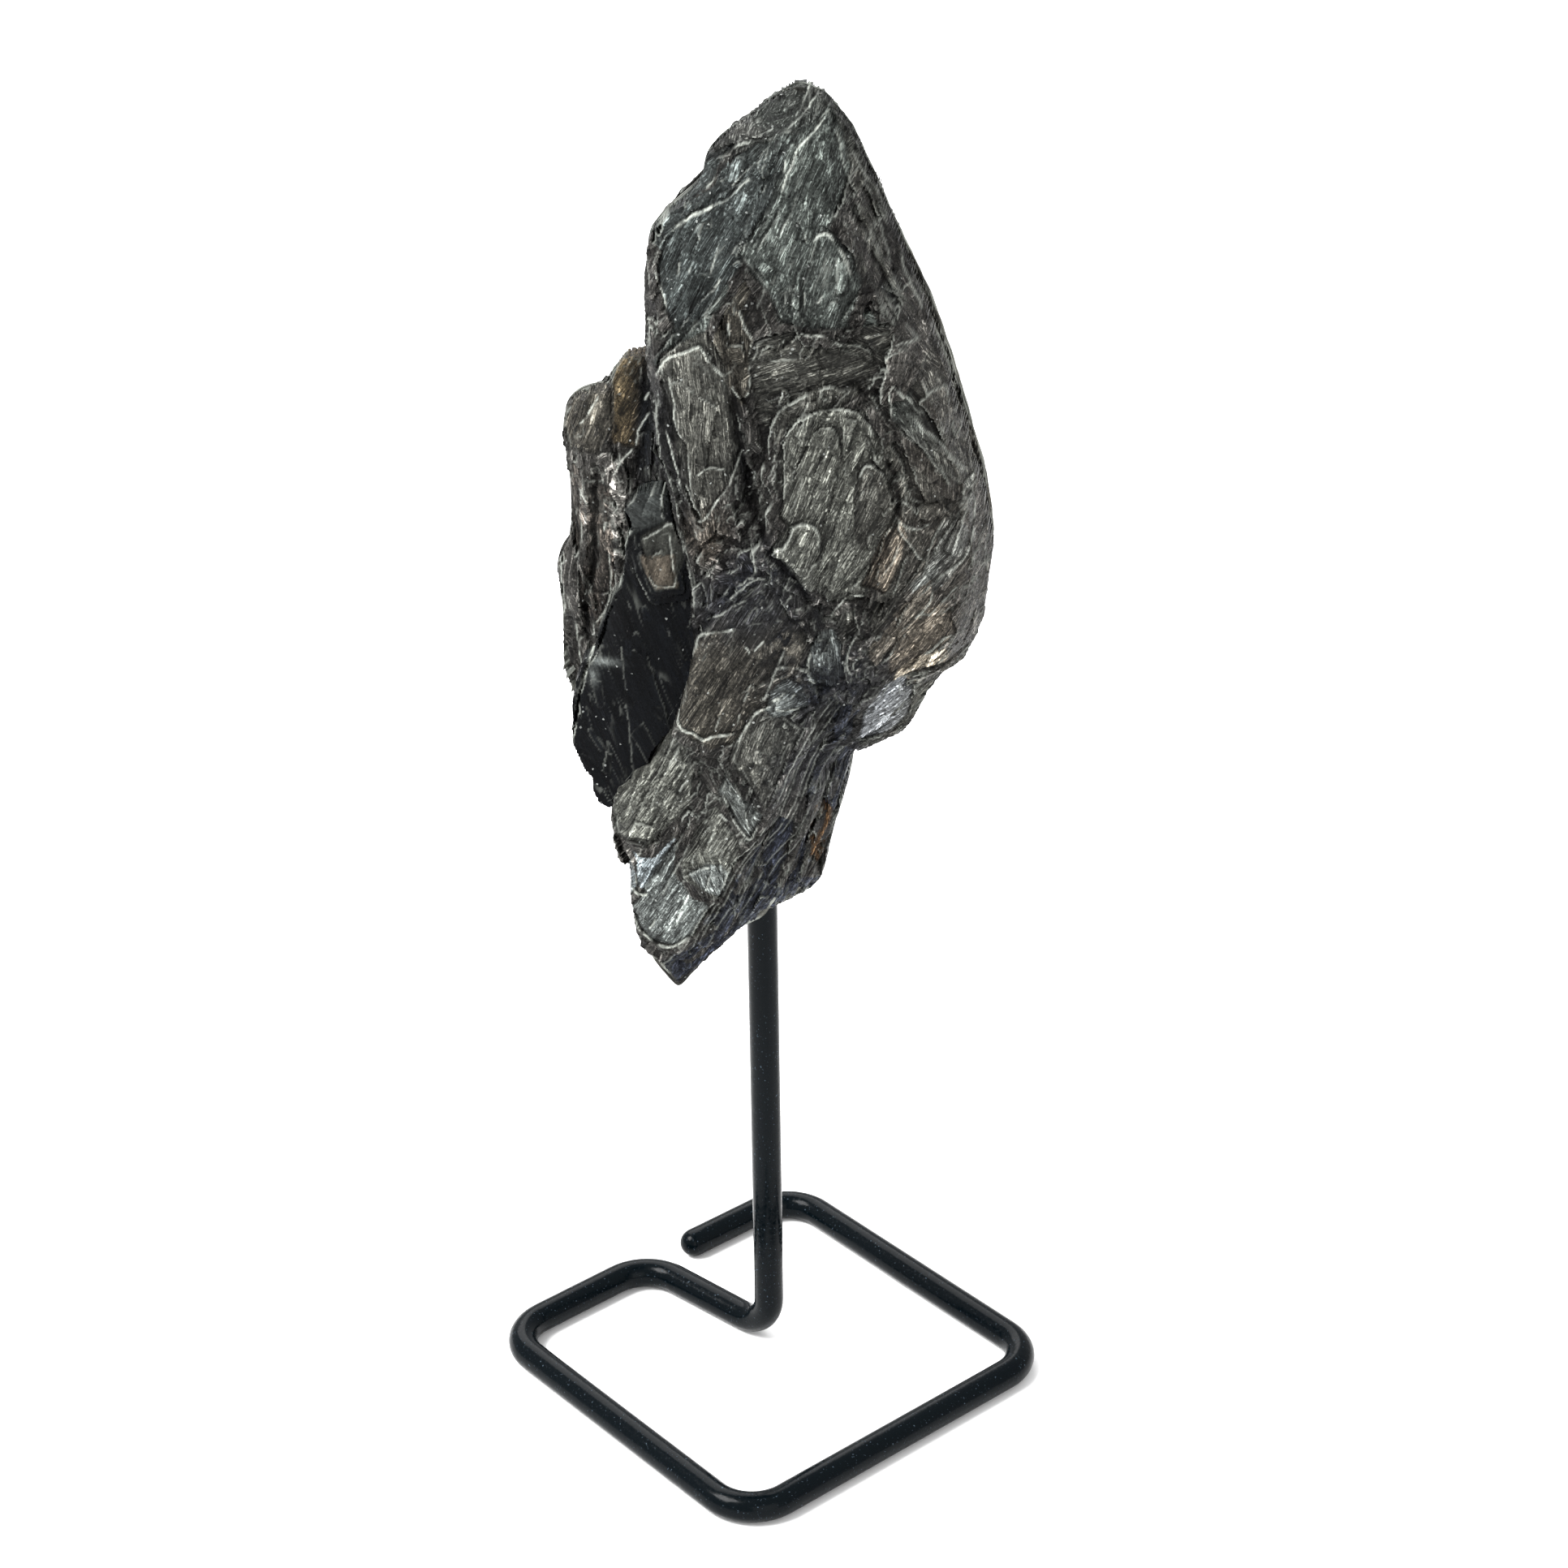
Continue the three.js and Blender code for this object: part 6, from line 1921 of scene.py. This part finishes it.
@dataclass(frozen=True)
class MicaFinish:
    """Muscovite and biotite in cleaved sheets: pearly plates with fine fibres and pale edges.

    Attributes:
        name: the material's name.
        streak: brightness of the darkest and the palest fibres.
        hair: how much brighter than the body a hair line is.
        fine: hair lines' cells to a millimetre along and across the fibre.
        width: hair lines' width as a share of their cell.
        grit: how far grains lighten and darken it.
        pale: sRGB colour of thin edges: the sheets' own pale ends, with painted light where light
            comes through the sheet.
        shine: sRGB colour painted on facets as glints.
        roughness: of the cleavage faces.
        gloss: the shader's specular level.
        glint: share of tiny facets painted as glints.
    """

    name: str = "mica_cleaved_sheets"
    streak: tuple = (0.05, 0.84)
    hair: float = 5.5
    fine: tuple = (0.13, 1.6)
    width: float = 0.04
    grit: float = 0.5
    pale: str = "b2b6ae"
    shine: str = "c4c8c4"
    roughness: float = 0.45
    gloss: float = 0.045
    glint: float = 0.005

    def build(self) -> bpy.types.Material:
        """Builds the material.

        Returns:
            The finished material.
        """
        t = new_material(self.name)
        grain = t.add("Attribute", {"attribute_name": "grain"}).outputs["Vector"]
        edge = t.add("Attribute", {"attribute_name": "edge"}).outputs["Fac"]
        tint = t.add("Attribute", {"attribute_name": "tint"}).outputs["Color"]
        place = t.add("TexCoord").outputs["Object"]

        # Fibres 0.3 mm wide and some 8 mm long.
        fibres = self.noise(t, grain, (0.12, 3.2, 3.2), 3.0)
        # Bands 1.2 mm wide where sheets of a different thickness show.
        bands = self.noise(t, grain, (0.09, 0.8, 1.2), 2.0)
        # Hairs: thin lines where a noise stretched along the fibre passes its middle.
        long, close = self.fine
        hairs = self.lines(t, grain, (long, close, close), self.width)
        threads = self.lines(t, grain, (1.8 * long, 2.1 * close, 2.1 * close), 1.4 * self.width)
        where = self.noise(t, grain, (0.2, 0.6, 0.6), 2.0)
        some = t.add("MapRange", {"From Min": 0.45, "From Max": 0.62}, Value=where)
        few = t.add("MapRange", {"From Min": 0.6, "From Max": 0.45}, Value=where)
        long_hairs = t.add("Math", {"operation": "MULTIPLY"}, i0=hairs, i1=some.outputs[0])
        short_hairs = t.add("Math", {"operation": "MULTIPLY"}, i0=threads, i1=few.outputs[0])
        hair = t.add(
            "Math", {"operation": "MAXIMUM"}, i0=long_hairs.outputs[0], i1=short_hairs.outputs[0]
        )
        # Grains and facets 0.22 mm across.
        cells = t.add("VectorMath", {"operation": "MULTIPLY", 1: (4500.0,) * 3}, i0=place)
        facets = t.add("TexVoronoi", {"Scale": 1.0}, Vector=cells.outputs[0])
        facet = t.add("SeparateColor", i0=facets.outputs["Color"])

        streak = t.add(
            "MapRange",
            {"From Min": 0.3, "From Max": 0.7, "To Min": self.streak[0], "To Max": self.streak[1]},
            Value=fibres,
        )
        band = t.add(
            "MapRange", {"From Min": 0.3, "From Max": 0.7, "To Min": 0.5, "To Max": 1.35},
            Value=bands,
        )
        grit = t.add(
            "MapRange", {"To Min": 1 - self.grit, "To Max": 1 + self.grit}, Value=facet.outputs[0]
        )
        shade = t.add("Math", {"operation": "MULTIPLY"}, i0=streak.outputs[0], i1=band.outputs[0])
        toned = t.add("Math", {"operation": "MULTIPLY"}, i0=shade.outputs[0], i1=grit.outputs[0])
        body = t.add("VectorMath", {"operation": "SCALE"}, i0=tint, Scale=toned.outputs[0])
        haired = t.add(
            "Math", {"operation": "MULTIPLY_ADD", 1: self.hair, 2: 1.0}, i0=hair.outputs[0]
        )
        streaked = t.add(
            "VectorMath", {"operation": "SCALE"}, i0=body.outputs[0], Scale=haired.outputs[0]
        )
        # Thin pale edges from the edge attribute: the sheets' own pale ends and painted highlights.
        edge_amount = t.add("Math", {"operation": "MULTIPLY", 1: 0.8, "use_clamp": True}, i0=edge)
        rimmed = t.add(
            "Mix", {"data_type": "RGBA", 7: linear(self.pale)},
            i0=edge_amount.outputs[0], i6=streaked.outputs[0],
        )
        # Painted glints: the rarest facets get the shine colour.
        least = 1 - self.glint
        bright = t.add(
            "MapRange", {"From Min": least, "From Max": least + 0.01, "To Max": 0.8},
            Value=facet.outputs[1],
        )
        colour = t.add(
            "Mix", {"data_type": "RGBA", 7: linear(self.shine)},
            i0=bright.outputs[0], i6=rimmed.outputs[2],
        )

        rough = t.add(
            "MapRange", {"To Min": self.roughness - 0.12, "To Max": self.roughness + 0.2},
            Value=facet.outputs[2],
        )
        tilt = t.add("Bump", {"Strength": 0.5, "Distance": 0.1 * MM}, Height=fibres)
        hair_bump = t.add(
            "Bump", {"Strength": 0.6, "Distance": 0.06 * MM},
            Height=hair.outputs[0], Normal=tilt.outputs[0],
        )
        facet_bump = t.add(
            "Bump", {"Strength": 0.5, "Distance": 0.06 * MM},
            Height=facet.outputs[1], Normal=hair_bump.outputs[0],
        )
        shader = t.add(
            "BsdfPrincipled", {"IOR": 1.58, "Specular IOR Level": self.gloss},
            Base_Color=colour.outputs[2], Roughness=rough.outputs[0], Normal=facet_bump.outputs[0],
        )
        t.add("OutputMaterial", {}, Surface=shader.outputs[0])
        return t.material

    def noise(self, t: NodeTree, place: Socket, scale: tuple, detail: float) -> Socket:
        """Noise with so many cells to a millimetre each way.

        Args:
            t: the tree.
            place: places in millimetres.
            scale: cells to a millimetre.
            detail: how many finer noises are added.

        Returns:
            The noise's value.
        """
        scaled = t.add("VectorMath", {"operation": "MULTIPLY", 1: scale}, i0=place)
        settings = {"Scale": 1.0, "Detail": detail, "Roughness": 0.62}
        return t.add("TexNoise", settings, Vector=scaled.outputs[0]).outputs["Fac"]

    def lines(self, t: NodeTree, place: Socket, scale: tuple, width: float) -> Socket:
        """Thin lines where a noise is near its middle value.

        Args:
            t: the tree.
            place: places in millimetres.
            scale: the noise's cells to a millimetre.
            width: how near the middle, as a difference in the noise.

        Returns:
            1 on a line and 0 off it.
        """
        value = self.noise(t, place, scale, 1.0)
        off = t.add("Math", {"operation": "SUBTRACT", 1: 0.5}, i0=value)
        away = t.add("Math", {"operation": "ABSOLUTE"}, i0=off.outputs[0])
        ends = {"From Min": width, "From Max": 0.2 * width}
        return t.add("MapRange", ends, Value=away.outputs[0]).outputs[0]


@dataclass(frozen=True)
class EnamelFinish:
    """Gloss black enamel dipped over steel wire: deep blue-black with thin crisp highlights.

    Attributes:
        name: the material's name.
        colour: the enamel's sRGB colour.
        dust: sRGB colour of the dust on it.
        gloss: the shader's specular level.
    """

    name: str = "gloss_black_enamel"
    colour: str = "03070a"
    dust: str = "3a4650"
    gloss: float = 0.06

    def build(self) -> bpy.types.Material:
        """Builds the material.

        Returns:
            The finished material.
        """
        t = new_material(self.name)
        place = t.add("TexCoord").outputs["Object"]
        # Orange peel of 1.5 mm and dust of 0.3 mm.
        waves = t.add("TexNoise", {"Scale": 700.0, "Detail": 2.0}, Vector=place)
        dust = t.add("TexNoise", {"Scale": 3200.0, "Detail": 3.0}, Vector=place)
        worn = t.add("MapRange", {"From Min": 0.66, "From Max": 0.74}, Value=dust.outputs["Fac"])
        colour = t.add(
            "Mix", {"data_type": "RGBA", 6: linear(self.colour), 7: linear(self.dust)},
            i0=worn.outputs[0],
        )
        rough = t.add(
            "MapRange", {"From Min": 0.3, "From Max": 0.8, "To Min": 0.1, "To Max": 0.35},
            Value=dust.outputs["Fac"],
        )
        bump = t.add("Bump", {"Strength": 0.25, "Distance": 0.15 * MM}, Height=waves.outputs["Fac"])
        shader = t.add(
            "BsdfPrincipled", {"IOR": 1.5, "Specular IOR Level": self.gloss},
            Base_Color=colour.outputs[2], Roughness=rough.outputs[0], Normal=bump.outputs[0],
        )
        t.add("OutputMaterial", {}, Surface=shader.outputs[0])
        return t.material


# ------------------------------------------------------------------------------ the rock


@dataclass(frozen=True)
class Cover:
    """What lies on one cleavage face of a book.

    Attributes:
        name: the piece's name.
        book: the book.
        column: the outline's column of the face's inset.
        pitch: the grid's pitch in millimetres.
        fibre: lean of its fibre.
        tint: body colour of its ground.
        plates: the plates on it.
        tears: sheets' ends that cross them.
        clefts: gaps painted dark as painted shade.
        glitter: zones of small chips at every angle, some painted bright as glints, as x, z, half
            width and half height.
        torn: height of the ground's torn sheets.
        shards: shards on each square millimetre.
        lift: middle lift of the shards.
        seed: picks its patterns.
    """

    name: str
    book: Book
    column: int
    pitch: float
    fibre: float
    tint: Tint
    plates: Sequence[Plate]
    tears: Sequence[Tear]
    clefts: Sequence[Cleft]
    glitter: Sequence[tuple]
    torn: float
    shards: float
    lift: float
    seed: int

    def relief(self) -> Relief:
        """The face's relief: its plates, then shards from large to small, then tears.

        Returns:
            The finished relief.
        """
        front = self.column == FRONT_INSET
        relief = Relief(
            face=self.book.front if front else self.book.back, rim=self.book.face_rim(self.column),
            outer=self.book.rim()[:, :3], heart=self.book.heart, pitch=self.pitch,
            fibre=self.fibre, tint=self.tint, stains_and_painted_light=STAINS_AND_PAINTED_SHADE if front else (), torn=self.torn,
            seed=self.seed,
        )
        area = relief.mask.sum() * self.pitch**2
        counts = [round(kind.share * self.shards * area) for kind in (LARGE, MIDDLING, SMALL)]
        relief.scatter(LARGE, counts[0], self.lift, self.seed + 1)
        for i, plate in enumerate(self.plates):
            plate.lay(relief, self.seed + 100 + 3 * i)
        relief.fill(width=2.2, below=0.3)
        relief.scatter(MIDDLING, counts[1], self.lift, self.seed + 2)
        relief.scatter(SMALL, counts[2], self.lift, self.seed + 3)
        for i, (at_x, at_z, wide, high) in enumerate(self.glitter):
            zone = ((relief.x - at_x) / wide) ** 2 + ((relief.z - at_z) / high) ** 2 < 1
            count = round(CHIPS.share * wide * high * math.pi)
            relief.scatter(CHIPS, count, self.lift, self.seed + 10 + i, zone)
        for i, line in enumerate((*self.clefts, *self.tears)):
            line.lay(relief, self.seed + 400 + i)
        return relief

    def pieces(self, finish: bpy.types.Material) -> list[bpy.types.Object]:
        """Builds the cover's four pieces, which meet at the heart.

        Args:
            finish: their material.

        Returns:
            The pieces.
        """
        made = []
        parts = ("low_left", "low_right", "high_left", "high_right")
        for part, skin in zip(parts, self.relief().skins()):
            data = MeshData()
            data.add_skin(*skin)
            made.append(data.build(f"{self.name}_{part}", finish, RELIEF_CREASE))
        return made


@dataclass
class Specimen:
    """The rock: three books and what lies on their faces.

    Attributes:
        slot: name of its material slot; not used.
        main: the tall book.
        wing: the book behind its left side.
        slab: the black book in front of the wing.
    """

    slot: str = "mica"
    main: Book = Book(
        MAIN_OUTLINE, MAIN_SPINE, MAIN_HEART, FRONT, BACK,
        around=640, layers=(26, 16), rough=0.75, tint=Tint.OLIVE, seed=3,
    )
    wing: Book = Book(
        WING_OUTLINE, WING_SPINE, WING_HEART, WING_FRONT, WING_BACK,
        around=380, layers=(16, 10), rough=0.5, tint=Tint.OLIVE, seed=60,
    )
    slab: Book = Book(
        SLAB_OUTLINE, SLAB_SPINE, SLAB_HEART, SLAB_FRONT, SLAB_BACK,
        around=260, layers=(8, 6), rough=0.3, tint=Tint.BLACK, seed=90,
    )

    def covers(self) -> list[Cover]:
        """What lies on each face.

        Returns:
            A cover for each face but the slab's back, which is hidden.
        """
        front = (*SIDE_PLATES, *CROWN_PLATES, *FLANK_PLATES, *MIDDLE_PLATES, *APRON_PLATES)
        back = [blade(row, i, Tint.OLIVE) for i, row in enumerate(BACK_BLADES)]
        wing_back = [blade(row, i + 20, Tint.OLIVE) for i, row in enumerate(WING_BACK_BLADES)]
        return [
            Cover(
                "front", self.main, FRONT_INSET, 0.16, 66, Tint.DARK, front, FRONT_TEARS,
                FRONT_CLEFTS, GLITTER, torn=0.12, shards=0.85, lift=0.26, seed=1000,
            ),
            Cover(
                "wing", self.wing, FRONT_INSET, 0.17, 95, Tint.DARK, WING_PLATES, WING_TEARS,
                WING_CLEFTS, WING_GLITTER, torn=0.1, shards=0.75, lift=0.24, seed=2000,
            ),
            Cover(
                "slab", self.slab, FRONT_INSET, 0.17, 110, Tint.BLACK, SLAB_PLATES, SLAB_TEARS,
                (), (), torn=0.02, shards=0.05, lift=0.05, seed=3000,
            ),
            Cover(
                "back", self.main, BACK_INSET, 0.24, 78, Tint.OLIVE, back, (), (), (),
                torn=0.14, shards=0.6, lift=0.35, seed=4000,
            ),
            Cover(
                "wing_back", self.wing, BACK_INSET, 0.28, 85, Tint.OLIVE, wing_back, (), (), (),
                torn=0.14, shards=0.5, lift=0.35, seed=5000,
            ),
        ]

    def build(self) -> list[bpy.types.Object]:
        """Builds and dresses the rock.

        Returns:
            Its pieces.
        """
        faces = MicaFinish().build()
        edges = MicaFinish(
            name="mica_sheet_edges", streak=(0.05, 0.75), hair=4.5, fine=(0.07, 1.8), width=0.09,
            grit=0.25, glint=0.005,
        ).build()
        black = MicaFinish(
            name="biotite_black_sheet", streak=(0.25, 0.7), hair=1.5, fine=(0.2, 0.7), width=0.006,
            grit=0.3, roughness=0.3, gloss=0.03, glint=0.004,
        ).build()
        pieces = []
        books = (
            ("main_book", self.main, edges),
            ("wing_book", self.wing, edges),
            ("slab_book", self.slab, black),
        )
        for name, book, finish in books:
            data = MeshData()
            data.add(book.patch())
            pieces.append(data.build(name, finish, BOOK_CREASE))
        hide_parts("mica_specimen")
        for cover in self.covers():
            pieces += cover.pieces(black if cover.name == "slab" else faces)
        for piece in pieces:
            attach(piece, "root")
        return pieces


# ------------------------------------------------------------------------------ the stand


@dataclass
class WireStand:
    """A square base, a leg and a post, bent from one wire, in millimetres.

    Attributes:
        slot: name of its material slot; not used.
        radius: of the wire with its enamel.
        half_diagonal: from the base's middle to the corners that its straight sides would meet in.
        base_bend: bend radius of the base and the leg.
        foot_bend: bend radius at the post's foot.
        free_end: X and Y of the wire's free end.
        leg_corner: X and Y of the leg's corner.
        post: X and Y of the post.
        post_top: height of its top, inside the rock.
        sides: points round the wire.
        bend_steps: stations along a bend.
        station: longest way between stations.
        nose_rings: rings of the rounded free end.
        nose: how far it bulges, as a share of the radius.
    """

    slot: str = "black_enamel"
    radius: float = 1.9
    half_diagonal: float = 35.0
    base_bend: float = 6.0
    foot_bend: float = 5.0
    free_end: tuple = (-12.4, 22.6)
    leg_corner: tuple = (-18.2, 17.2)
    post: tuple = (-0.4, 3.6)
    post_top: float = 82.0
    sides: int = 32
    bend_steps: int = 14
    station: float = 1.5
    nose_rings: int = 8
    nose: float = 0.985

    def corners(self) -> list[tuple[Array, float]]:
        """The wire's corners in order.

        Returns:
            Each with its bend radius.
        """
        half = self.half_diagonal
        base = [(0, half), (half, 0), (0, -half), (-half, 0)]
        flat = [self.free_end, *base, self.leg_corner, self.post]
        bends = [0.0] + [self.base_bend] * 5 + [self.foot_bend]
        at = [np.array([x, y, self.radius]) for x, y in flat]
        return [*zip(at, bends), (np.array([*self.post, self.post_top]), 0.0)]

    def path(self) -> tuple[Array, Array]:
        """Points and directions along the wire.

        A corner is an arc of its bend radius that touches both straight runs: from where it
        starts it goes forward by radius times sine and inward by radius times one less cosine.

        Returns:
            Points and unit directions.
        """
        corners = self.corners()
        first = corners[1][0] - corners[0][0]
        points, ways = [corners[0][0]], [first / np.linalg.norm(first)]
        for (before, _), (at, bend), (after, _) in zip(corners, corners[1:], corners[2:]):
            way = (at - before) / np.linalg.norm(at - before)
            onward = (after - at) / np.linalg.norm(after - at)
            angle = math.acos(float(np.clip(way @ onward, -1, 1)))
            start = at - way * bend * math.tan(angle / 2)
            inward = onward - way * (onward @ way)
            inward /= np.linalg.norm(inward)
            turn = np.linspace(0, angle, self.bend_steps + 1)[:, None]
            points += list(start + way * bend * np.sin(turn) + inward * bend * (1 - np.cos(turn)))
            ways += list(way * np.cos(turn) + inward * np.sin(turn))
        last = corners[-1][0] - corners[-2][0]
        return np.array(points + [corners[-1][0]]), np.array(ways + [last / np.linalg.norm(last)])

    def sides_of(self, ways: Array) -> tuple[Array, Array]:
        """Directions across the wire at each station, carried along without twist.

        Args:
            ways: unit directions along it.

        Returns:
            Two unit vectors at each, square to the wire and to one another.
        """
        side = np.cross(ways[0], [0, 0, 1.0])
        sides = []
        for way in ways:
            side = side - way * (side @ way)
            side = side / np.linalg.norm(side)
            sides.append(side)
        first = np.array(sides)
        return first, np.cross(ways, first)

    def patch(self) -> Patch:
        """The wire as a tube with a round free end.

        A circle of the wire's radius is carried along the path. At the free end the circle
        shrinks by the cosine of an angle while it goes back by its sine.

        Returns:
            Rings from the free end's pole to the top of the post.
        """
        points, ways = self.path()
        steps = np.linalg.norm(np.diff(points, axis=0), axis=1)
        fine_points, fine_ways = [points[0]], [ways[0]]
        for i, step in enumerate(steps):
            parts = max(1, round(float(step) / self.station))
            t = (np.arange(1, parts + 1) / parts)[:, None]
            fine_points += list(points[i] + (points[i + 1] - points[i]) * t)
            way = ways[i] + (ways[i + 1] - ways[i]) * t
            fine_ways += list(way / np.linalg.norm(way, axis=1, keepdims=True))
        points, ways = np.array(fine_points), np.array(fine_ways)
        across, over = self.sides_of(ways)
        angle = np.linspace(0, 2 * np.pi, self.sides, endpoint=False)[None, :, None]
        circle = across[:, None] * np.cos(angle) + over[:, None] * np.sin(angle)
        tube = points[:, None] + self.radius * circle
        turn = np.linspace(math.pi / 2, 0, self.nose_rings + 1)[:-1, None, None]
        bulge = circle[:1] * np.cos(turn) - ways[0][None, None] * np.sin(turn)
        nose = points[0] + self.radius * self.nose * bulge
        end = points[-1][None, None] + circle[-1:] * 0
        skin = np.concatenate([nose, tube, end])
        zero = np.zeros(skin.shape[:2])
        return Patch(skin, skin.copy(), zero, np.zeros(skin.shape))

    def build(self) -> list[bpy.types.Object]:
        """Builds and dresses the stand.

        Returns:
            Its one piece.
        """
        data = MeshData()
        data.add(self.patch())
        wire = data.build("bent_wire", EnamelFinish().build(), WIRE_CREASE)
        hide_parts("wire_stand")
        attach(wire, "root")
        return [wire]


# ------------------------------------------------------------------------------ the studio


@dataclass
class Studio:
    """A pale floor, soft lights and the camera.

    Attributes:
        azimuth: the camera's, in degrees from -Y towards +X.
        elevation: how far it looks down, in degrees.
        roll: its roll, in degrees.
        stand: where it stands, in millimetres.
        lens: its focal length, in millimetres.
        sensor: width of its sensor, in millimetres.
        clip: how near and how far it sees, in metres.
        floor_half: half the floor's side, in metres.
        aim: what the lights look at, in metres.
        lamps: name, place in metres, side in metres and power in watts.
        sky: strength of the white light from all round.
    """

    azimuth: float = 4.85
    elevation: float = 26.85
    roll: float = -0.8
    stand: tuple = (32.0, -344.0, 259.0)
    lens: float = 74.53
    sensor: float = 36.0
    clip: tuple = (0.01, 50.0)
    floor_half: float = 4.0
    aim: tuple = (0, 0, 0.1)
    lamps: tuple = (
        ("key", (-0.55, -0.25, 0.9), 0.5, 24),
        ("front", (0.5, -1.0, 0.4), 0.8, 4),
        ("back", (-0.3, 0.8, 0.9), 0.8, 10),
    )
    sky: float = 1.05

    def camera(self) -> None:
        """Makes the camera and sets it as the scene's."""
        az, el, roll = (math.radians(a) for a in (self.azimuth, self.elevation, self.roll))
        back = Vector((math.sin(az) * math.cos(el), -math.cos(az) * math.cos(el), math.sin(el)))
        right = Vector((math.cos(az), math.sin(az), 0))
        up = back.cross(right)
        turned_right = right * math.cos(roll) + up * math.sin(roll)
        turned_up = up * math.cos(roll) - right * math.sin(roll)
        data = bpy.data.cameras.new("camera")
        data.lens = self.lens
        data.sensor_width = self.sensor
        data.clip_start, data.clip_end = self.clip
        camera = bpy.data.objects.new("camera", data)
        turn = Matrix((turned_right, turned_up, back)).transposed().to_4x4()
        camera.matrix_world = Matrix.Translation(Vector(self.stand) * MM) @ turn
        bpy.context.scene.collection.objects.link(camera)
        bpy.context.scene.camera = camera

    def light(self, name: str, at: tuple, size: float, power: float) -> None:
        """Hangs a square, white, soft light that looks at the rock.

        Args:
            name: the light's name.
            at: where it hangs, in metres.
            size: its side, in metres.
            power: in watts.
        """
        data = bpy.data.lights.new(name, "AREA")
        data.shape = "SQUARE"
        data.size = size
        data.energy = power
        lamp = bpy.data.objects.new(name, data)
        turn = (Vector(self.aim) - Vector(at)).to_track_quat("-Z", "Y").to_matrix().to_4x4()
        lamp.matrix_world = Matrix.Translation(Vector(at)) @ turn
        bpy.context.scene.collection.objects.link(lamp)

    def floor(self) -> None:
        """Lays a plain pale floor under the stand."""
        half = self.floor_half
        corners = [(-half, -half, 0), (half, -half, 0), (half, half, 0), (-half, half, 0)]
        mesh = bpy.data.meshes.new("floor")
        mesh.from_pydata(corners, [], [(0, 1, 2, 3)])
        floor = bpy.data.objects.new("floor", mesh)
        t = new_material("pale_floor")
        look = {"Base Color": linear("f6f6f6"), "Roughness": 0.9, "Specular IOR Level": 0.1}
        shader = t.add("BsdfPrincipled", look)
        t.add("OutputMaterial", {}, Surface=shader.outputs[0])
        mesh.materials.append(t.material)
        bpy.context.scene.collection.objects.link(floor)

    def build(self) -> None:
        """Builds the studio."""
        self.camera()
        self.floor()
        for lamp in self.lamps:
            self.light(*lamp)
        world = bpy.data.worlds.new("studio")
        world.use_nodes = True
        background = world.node_tree.nodes["Background"]
        background.inputs["Color"].default_value = linear("ffffff")
        background.inputs["Strength"].default_value = self.sky
        bpy.context.scene.world = world
        bpy.context.scene.view_settings.view_transform = "Standard"


# ------------------------------------------------------------------------------ all of it


def write_sizes() -> None:
    """Brings the view layer up to date."""
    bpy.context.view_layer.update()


def main() -> None:
    """Builds the studio, the stand and the rock, and reports each piece."""
    logging.basicConfig(level=logging.INFO, format="%(name)s: %(message)s")
    Studio().build()
    for group in (WireStand(), Specimen()):
        for piece in group.build():
            LOG.info("%s: %d faces", piece.name, len(piece.data.polygons))
    write_sizes()


if __name__ == "__main__":
    main()
